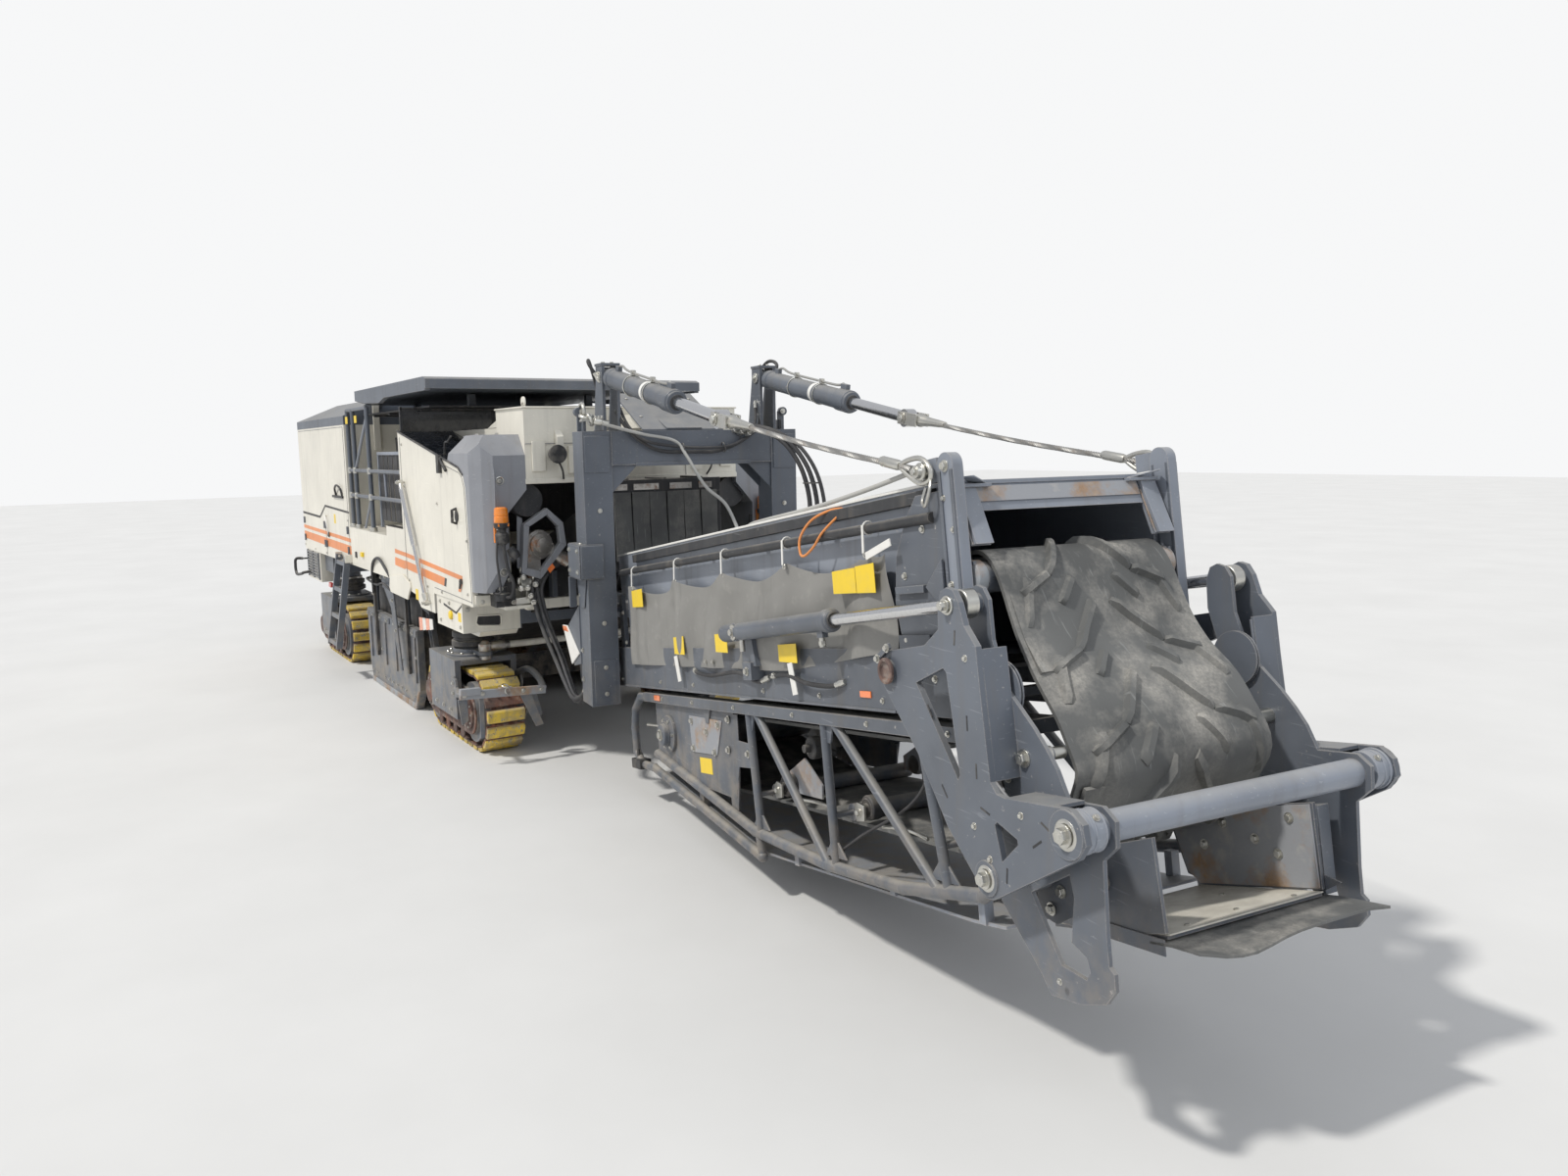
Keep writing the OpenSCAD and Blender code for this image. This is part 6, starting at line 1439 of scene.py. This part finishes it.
# Reels and the head of the primary conveyor seen under the cover
part = Part("reels", BLACK)
for x in (3.12, 3.2):
    part.turn((x, 0.86, 1.99), X, [(0, 0.12), (0.008, 0.12), (0.012, 0.05), (0.03, 0.05), (0.034, 0.12),
        (0.042, 0.12)], 40)
part.twice().done()
part = Part("head_guard", COVER, bevel=0.004)
outline = [(0.0, 0.19), (-0.18, 0.08), (-0.21, -0.28), (-0.07, -0.33), (0.14, -0.09), (0.12, 0.08)]
inner = [(0.0, 0.14), (-0.14, 0.06), (-0.17, -0.24), (-0.07, -0.27), (0.09, -0.07), (0.08, 0.05)]
for corners in zip(outline, inner, inner[1:] + inner[:1], outline[1:] + outline[:1]):
    part.plate([(v - 0.73, h + 1.74) for v, h in corners], 3.24, 3.3)
part.plate([(-0.945, 1.5), (-0.93, 1.88), (-0.89, 1.86), (-0.88, 1.42)], 3.2, 3.21)
part.done()
part = Part("head_motor", STEEL, bevel=0.003)
part.turn((3.2, -0.79, 1.66), (1, 0.15, 0), [(0, 0.11), (0.05, 0.11), (0.055, 0.085), (0.08, 0.085),
    (0.085, 0.055), (0.12, 0.055), (0.125, 0.035)], 30)
part.box((3.16, -0.88, 1.4), (3.25, -0.78, 1.6))
part.cyl((3.22, -0.7, 1.62), (3.22, -0.55, 1.52), 0.05, 20)
for v, z in around(8, 0.095):
    part.bolt((3.255, v - 0.782, z + 1.66), (1, 0.15, 0), 0.01, 0.009, False)
part.done()
(Part("head_marks", REFLECT, bevel=0)
 .plate([(-0.75, 1.48), (-0.71, 1.52), (-0.69, 1.49), (-0.73, 1.45)], 3.302, 3.304).done())

# Valve block and the hoses down to the conveyor's foot
part = Part("valve_block", ZINC)
part.box((3.2, -0.94, 1.33), (3.27, -0.86, 1.42))
part.box((3.19, -0.9, 1.27), (3.26, -0.83, 1.36))
for y, z in ((-0.93, 1.44), (-0.9, 1.36), (-0.88, 1.3), (-0.84, 1.38), (-0.86, 1.25), (-0.95, 1.36)):
    part.turn((3.27, y, z), (1, -0.2, -0.1), [(0, 0.016), (0.02, 0.022), (0.05, 0.022), (0.055, 0.014),
        (0.07, 0.014)], 10)
    part.turn((3.24, y, z + 0.02), (0.2, 0, 1), [(0, 0.014), (0.03, 0.018), (0.05, 0.012)], 8)
part.beam((3.2, -1.06, 1.24), (3.24, -0.84, 1.26), 0.03, 0.05)
part.done()
(Part("valve_plate", CREAM).box((3.15, -0.83, 1.2), (3.17, -0.77, 1.45))
 .box((3.12, -1.07, 1.2), (3.28, -0.8, 1.225)).done())
for k, (dy, dz, r) in enumerate(((0, 0, 0.015), (0.035, 0.02, 0.013), (0.065, -0.01, 0.015),
        (0.02, -0.04, 0.012))):
    hose("foot_hose_%d" % k, [(3.15, -0.478, 1.5 + 0.03 * k), (3.2, -0.62, 1.5 + 0.02 * k),
        (3.28, -0.85 + dy, 1.38 + dz), (3.32, -0.86 + dy, 1.22 + dz), (3.4, -0.84 + dy, 1.05 + dz),
        (3.56, -0.82 + dy, 0.86 + dz), (3.76, -0.83 + dy * 0.7, 0.72 + dz * 0.7),
        (3.92, -0.84 + dy * 0.5, 0.64 + dz * 0.5), (4.02, -0.82 + dy * 0.4, 0.66 + dz * 0.3),
        (4.1, -0.79 + dy * 0.2, 0.76 + 0.02 * k)], r, "machine", to="swing")
for side, k in ((-1, "right"), (1, "left")):
    hose("beacon_hose_" + k, [(3.355, side * 1.09, 1.83), (3.39, side * 1.1, 1.68),
        (3.36, side * 1.07, 1.52), (3.36, side * 1.03, 1.4), (3.33, side * 1.05, 1.3),
        (3.2, side * 1.1, 1.32)], 0.012, "machine")
    hose("beacon_cable_" + k, [(3.35, side * 1.12, 1.83), (3.375, side * 1.15, 1.62),
        (3.345, side * 1.13, 1.46), (3.33, side * 1.12, 1.34), (3.2, side * 1.15, 1.33)], 0.008,
        "machine")

# Front boxes over the tracks
(Part("box_recess", BLACK)
 .plate(((1.12, 1.1), (1.13, 1.09), (1.135, 1.05), (1.12, 1.035), (0.96, 1.02), (0.95, 1.03),
     (0.948, 1.085), (0.96, 1.095)), 2.774, 2.778)
 .twice().done())
part = Part("box_rims", CREAM, bevel=0.003)
loop = [(2.779, v, z) for v, z in ((1.125, 1.105), (1.14, 1.05), (1.12, 1.028), (0.955, 1.012),
    (0.94, 1.03), (0.942, 1.09), (0.96, 1.1))]
part.tube(loop, 0.006, 6, True)
part.prism([(2.2, 0.985), (2.77, 0.985), (2.7, 0.93), (2.3, 0.93)], 0.8, 1.1)
part.twice().done()
(Part("box_lights", STICKER).turn((2.49, 1.24, 1.09), Y, [(0, 0.035), (0.012, 0.035), (0.02, 0.028)], 20)
 .twice().done())
part = Part("box_bolts", ZINC, bevel=0)
for x, z in ((2.2, 1.17), (2.72, 1.02), (2.2, 1.02), (2.45, 1.18), (2.83, 1.26), (3.0, 1.28)):
    part.bolt((x, 1.24 if x < 2.8 else 1.235, z), Y, 0.012, 0.01)
part.bolt((2.776, 0.86, 1.16), X, 0.014, 0.011)
part.bolt((2.776, 1.2, 1.16), X, 0.014, 0.011)
part.twice().done()

# Engine side: louvred box, bracket, lamp and the cabinet under the hood

part = Part("louvre_frames", SLATE2)
for z in [0.9 + i * 0.034 for i in range(9)]:
    for x in (-3.44, -3.1):
        part.plate([(1.241, z), (1.262, z + 0.004), (1.262, z + 0.01), (1.241, z + 0.022)], x, x + 0.3)
part.twice()
for x in (-3.46, -3.127, -2.795):
    part.box((x, -1.256, 0.88), (x + 0.015, -1.24, 1.2))
part.done()
(Part("guard_bracket", BLACK)
 .pipe([(-3.8, -MACH_SIDE, 1.06), (-3.8, -1.33, 1.06), (-3.79, -1.345, 0.98), (-3.76, -1.345, 0.9),
     (-3.66, -1.345, 0.88), (-3.4, -1.34, 0.91), (-3.32, -1.33, 0.93), (-3.3, -1.24, 0.94)], 0.018, 8)
 .beam((-3.8, -MACH_SIDE, 1.06), (-3.56, -MACH_SIDE, 1.08), 0.05, 0.02).done())
(Part("side_lamp", RED, bevel=0.003)
 .prism(((-2.28, 0.85), (-2.17, 0.85), (-2.16, 0.9), (-2.27, 0.905)), 1.22, MACH_SIDE).twice().done())
(Part("marker_lamps", STICKER, bevel=0.003).box((-0.46, MACH_SIDE, 1.33), (-0.38, 1.272, 1.375))
 .twice().done())
part = Part("door_hinges", SLATE2)
for x in (-3.46, -2.24, -2.16, -1.04):
    for z in (1.35, 1.56):
        part.box((x - 0.022, MACH_SIDE, z - 0.035), (x + 0.022, 1.262, z + 0.035))
        part.cyl((x, 1.26, z - 0.04), (x, 1.26, z + 0.04), 0.009, 10)
part.twice().done()
(Part("side_bolts", ZINC, bevel=0)
 .bolts(((-3.52, 1.26), (-2.9, 1.24), (-2.24, 1.24), (-1.7, 1.24), (-1.08, 1.24), (0.85, 1.24),
     (1.2, 1.24), (1.32, 1.26), (1.9, 1.26), (2.3, 1.25), (-3.5, 1.58), (-1.02, 1.66), (1.32, 2.06),
     (1.32, 2.42), (2.3, 1.95), (2.98, 1.3), (3.02, 1.7)), MACH_SIDE, 0.009, 0.008)
 .twice().done())

# Canopy: lining under the roof, and stickers on its side
part = Part("roof_lining", BLACK, "canopy", 0.004)
part.box((-0.82, -1.08, 2.722), (1.62, 1.08, 2.738))
for x in (-0.4, 0.2, 0.8, 1.3):
    part.box((x - 0.02, -1.07, 2.7), (x + 0.02, 1.07, 2.724))
part.done()
part = Part("roof_stickers", STICKER, "canopy", 0)
for x in (-0.86, -0.46):
    part.box((x, -1.246, 2.645), (x + 0.1, -1.243, 2.715))
part.done()

# Rails, uprights and their clamps
part = Part("rail_clamps", ZINC)
for x in (-0.88, -0.64, -0.03):
    part.cyl((x, 1.22, 1.6), (x, 1.22, 1.64), 0.036, 16)
    for z in (1.93, 2.18):
        part.cyl((x, 1.22, z - 0.03), (x, 1.22, z + 0.03), 0.028, 16)
    part.bolt((x, 1.252, 1.62), Y, 0.009, 0.008)
for z in (1.93, 2.18):
    part.cyl((1.17, 1.22, z), (1.21, 1.22, z), 0.028, 16)
part.twice().done()
(Part("rail_braces", GREY)
 .tube([(-0.64, 1.215, 2.2), (-0.3, 1.215, 2.5), (-0.03, 1.215, 2.72)], 0.014, 10)
 .tube([(-0.03, 1.215, 1.95), (-0.3, 1.215, 1.7), (-0.38, 1.215, 1.62)], 0.012, 10)
 .tube([(0.5, 1.21, 2.17), (0.52, 1.21, 1.94)], 0.012, 10)
 .tube([(1.16, 1.2, 2.18), (1.19, 1.2, 1.7)], 0.014, 10)
 .pipe([(1.2, 1.22, 2.18), (1.3, 1.225, 2.17), (1.34, 1.225, 2.12), (1.345, 1.225, 1.95),
     (1.3, 1.225, 1.93), (1.2, 1.22, 1.93)], 0.014, 10)
 .twice().done())
part = Part("curtain_strips", HOSE, bevel=0.001)
for i in range(13):
    x = 0.12 + i * 0.086
    lean = 0.01 * math.sin(i * 2.1)
    part.rings([[(x + lean * (2.3 - z) + u, 1.16 + 0.004 * (i % 2) + v, z)
                 for u, v in ((0, 0), (0.078, 0), (0.078, 0.004), (0, 0.004))]
                for z in (2.34, 2.1, 1.9, 1.72)])
part.twice().done()
part = Part("curtain_bar", GREY)
part.box((0.1, 1.15, 2.33), (1.19, 1.18, 2.36))
for x in (0.1, 1.19):
    part.box((x - 0.015, 1.15, 1.65), (x + 0.015, 1.175, 2.34))
part.twice().done()
part = Part("step_grips", DARK, bevel=0.001)
for i in range(10):
    x = 0.62 + i * 0.058
    part.box((x, 1.19, 1.689), (x + 0.03, 1.245, 1.697))
part.twice().done()
(Part("step_plates", CREAM, bevel=0.004)
 .prism(((0.64, 1.13), (0.68, 1.24), (1.14, 1.29), (1.36, 1.24), (1.38, 1.2), (1.26, 1.08), (0.68, 1.09)),
     MACH_SIDE, 1.266)
 .twice().done())

# Operator's place: desk, levers, screens and buttons
part = Part("desk_top", DARK, bevel=0.006)
part.prism(((0.72, 2.505), (0.99, 2.46), (1.0, 2.5), (0.73, 2.55)), 0.36, 0.84)
part.prism(((0.96, 2.52), (0.985, 2.52), (1.005, 2.71), (0.98, 2.715)), 0.44, 0.76)
for v in (-0.15, 0.0, 0.15):
    part.turn((0.8, 0.6 + v, 2.53), (0.1, 0, 1), [(0, 0.02), (0.03, 0.01), (0.09, 0.01), (0.1, 0.022),
        (0.14, 0.02), (0.15, 0.008)], 14)
part.twice().done()
(Part("desk_screens", GLASS, bevel=0.001)
 .prism(((0.957, 2.54), (0.962, 2.54), (0.98, 2.695), (0.975, 2.7)), 0.46, 0.74).twice().done())
part = Part("desk_buttons", REFLECT, bevel=0)
for middle in (-0.6, 0.6):
    for i in range(6):
        x, y, z = 0.86 + 0.05 * (i % 2), middle - 0.12 + 0.05 * i, 2.52 - 0.01 * (i % 2)
        part.cyl((x, y, z), (x + 0.002, y, z + 0.017), 0.009, 10)
part.done()

# Wind screen under the roof's front and the mirror's arm
(Part("wind_screen", GLASS, "canopy")
 .prism(((1.245, 2.46), (1.257, 2.46), (1.257, 2.72), (1.245, 2.72)), -1.22, 1.22).done())
part = Part("screen_frame", BLACK, "canopy", 0.003)
for z in (2.455, 2.72):
    part.box((1.238, -1.235, z - 0.012), (1.264, 1.235, z + 0.012))
for y in (-1.225, -0.42, 0.42, 1.225):
    part.box((1.238, y - 0.012, 2.45), (1.264, y + 0.012, 2.74))
part.done()
(Part("panel_latches", DARK)
 .pipe([(2.4, 1.2, 2.33), (2.43, 1.2, 2.42), (2.5, 1.2, 2.43), (2.56, 1.19, 2.47)], 0.009, 8)
 .box((2.42, MACH_SIDE, 2.19), (2.48, 1.278, 2.33))
 .tube([(2.48, 1.262, 2.3), (2.62, 1.262, 2.21)], 0.012, 8)
 .tube([(1.2, 1.251, 2.534), (2.606, 1.251, 2.289), (2.9, 1.251, 2.236), (3.0, 1.251, 2.184)], 0.009, 8)
 .twice().done())
# Painted shade: a thin dark glossy sheet on the sloping top of the front body stands in for the shade under
# the roof
(Part("painted_shade_tops", GLASS, bevel=0.001)
 .prism(((1.21, 2.529), (2.6, 2.287), (2.6, 2.294), (1.21, 2.536)), 0.79, 1.246).twice().done())
(Part("box_skins", CREAM, bevel=0).box((2.097, 1.2402, 0.978), (2.7755, 1.2408, 1.214))
 .box((2.7752, 0.79, 0.978), (2.7758, 1.2405, 1.214)).twice().done())

# Drum side: lift gear, guides, hoses, blade and bolts

for side, hand in ((-1, "right"), (1, "left")):
    part = Part("lift_heads_" + hand, BLACK)
    for x in (-0.6, 0.6):
        part.turn((x, side * 1.1, 1.032), Z, [(0, 0.039), (0.004, 0.044), (0.03, 0.044), (0.034, 0.039)],
            24)
        part.turn((x, side * 1.1, 1.1), (0, side, 0), [(0.03, 0.012), (0.05, 0.018), (0.06, 0.018),
            (0.064, 0.012)], 12)
    part.done()

    part = Part("guard_blade_" + hand, SLATE2, bevel=0.004)
    part.prism(((-0.07, 1.2), (0.1, 1.25), (0.41, 1.26), (0.48, 0.96), (0.55, 0.61), (0.63, 0.34),
        (0.56, 0.33), (0.44, 0.58), (0.34, 0.9), (0.2, 1.0)), side * 1.18, side * 1.194)
    part.box((0.0, side * 1.04, 1.06), (0.3, side * 1.182, 1.1))
    part.done()

    part = Part("plate_bars_" + hand, SLATE2, "plate_" + hand, 0.003)
    for x0, x1 in ((-0.93, -0.54), (-0.44, -0.02), (0.1, 0.65), (0.77, 0.97)):
        part.prism(((x0, 0.68), (x1, 0.69), (x1, 0.75), (x0, 0.74)), side * 1.128, side * 1.14)
    for x in (-0.8, -0.2, 0.2, 0.9):
        part.rings([[(x + a, side * y, 0.68 - h) for a, h in ((-0.02, 0), (0.02, 0), (0.012, 0.42),
            (-0.012, 0.42))] for y in (1.128, 1.144)])
    part.done()

    part = Part("plate_bolts_" + hand, ZINC, "plate_" + hand, 0)
    for x, z in ((-0.88, 0.71), (-0.66, 0.715), (-0.36, 0.72), (-0.1, 0.72), (0.2, 0.72), (0.4, 0.72),
            (0.58, 0.72), (0.85, 0.72), (0.93, 0.5), (-0.88, 0.5), (-0.36, 0.4), (0.4, 0.4)):
        part.bolt((x, side * 1.13 if z < 0.6 else side * 1.14, z), (0, side, 0), 0.014, 0.012)
    for i in (0, 1, 3, 4, 5, 6, 7, 8, 10):
        part.bolt((-0.8 + i * 0.16, side * 1.13, 0.12), (0, side, 0), 0.011, 0.01)
    part.done()

    part = Part("plate_runner_" + hand, RUST, "plate_" + hand, 0.003)
    part.prism(((-0.845, 0.006), (0.84, 0.006), (0.974, 0.19), (0.95, 0.2), (0.83, 0.06), (-0.845, 0.05)),
        side * 1.128, side * 1.142)
    part.done()
    hose("lift_hose_" + hand, [(-0.6, side * 1.155, 1.1), (-0.56, side * 1.195, 1.1),
        (-0.44, side * 1.215, 1.1), (-0.1, side * 1.215, 1.08), (0.2, side * 1.22, 1.12),
        (0.5, side * 1.215, 1.08), (0.58, side * 1.195, 1.1), (0.6, side * 1.155, 1.1)], 0.011, "machine")
    hose("drum_hose_" + hand, [(0.6, side * 1.145, 1.14), (0.6, side * 1.22, 1.18),
        (0.53, side * 1.26, 1.28), (0.3, side * 1.268, 1.37), (0.06, side * 1.265, 1.32),
        (-0.08, side * MACH_SIDE, 1.2), (-0.3, side * 1.2, 1.02), (-0.49, side * 1.16, 0.95)], 0.013,
        "machine")

part = Part("housing_struts", SLATE2, bevel=0.004)
for a, b in (((0.92, 0.9), (1.12, 0.36)), ((1.0, 0.94), (1.2, 0.42))):
    part.beam((a[0], 1.0, a[1]), (b[0], 1.0, b[1]), 0.012, 0.05, Y)
part.beam((0.88, 1.02, 0.95), (1.1, 1.02, 0.92), 0.05, 0.03)
part.twice().done()
for name, material, slot, first in (("reflector_cards", REFLECT, "orange_lens", 0),
        ("reflector_backs", WHITE, "cream_paint", 1)):
    part = Part(name, material, bevel=0.001, slot=slot)
    for k in (first, first + 2):
        xa, xb = 1.06 + k * 0.11, 1.165 + k * 0.11
        part.prism([(xa, 0.89 + 0.008 * k), (xb, 0.898 + 0.008 * k), (xb + 0.01, 0.79 + 0.015 * k),
            (xa + 0.01, 0.77 + 0.015 * k)], 1.118, 1.125)
    part.twice().done()
part = Part("housing_bolts", ZINC, bevel=0)
for i in range(8):
    part.bolt((-0.84 + i * 0.24, 1.05, 1.06), Y, 0.013, 0.012)
for z, x in ((1.16, 0.02), (1.18, 0.2), (1.2, 0.36), (0.98, 0.42), (0.7, 0.49)):
    part.bolt((x, 1.194, z), Y, 0.013, 0.012)
part.twice().done()
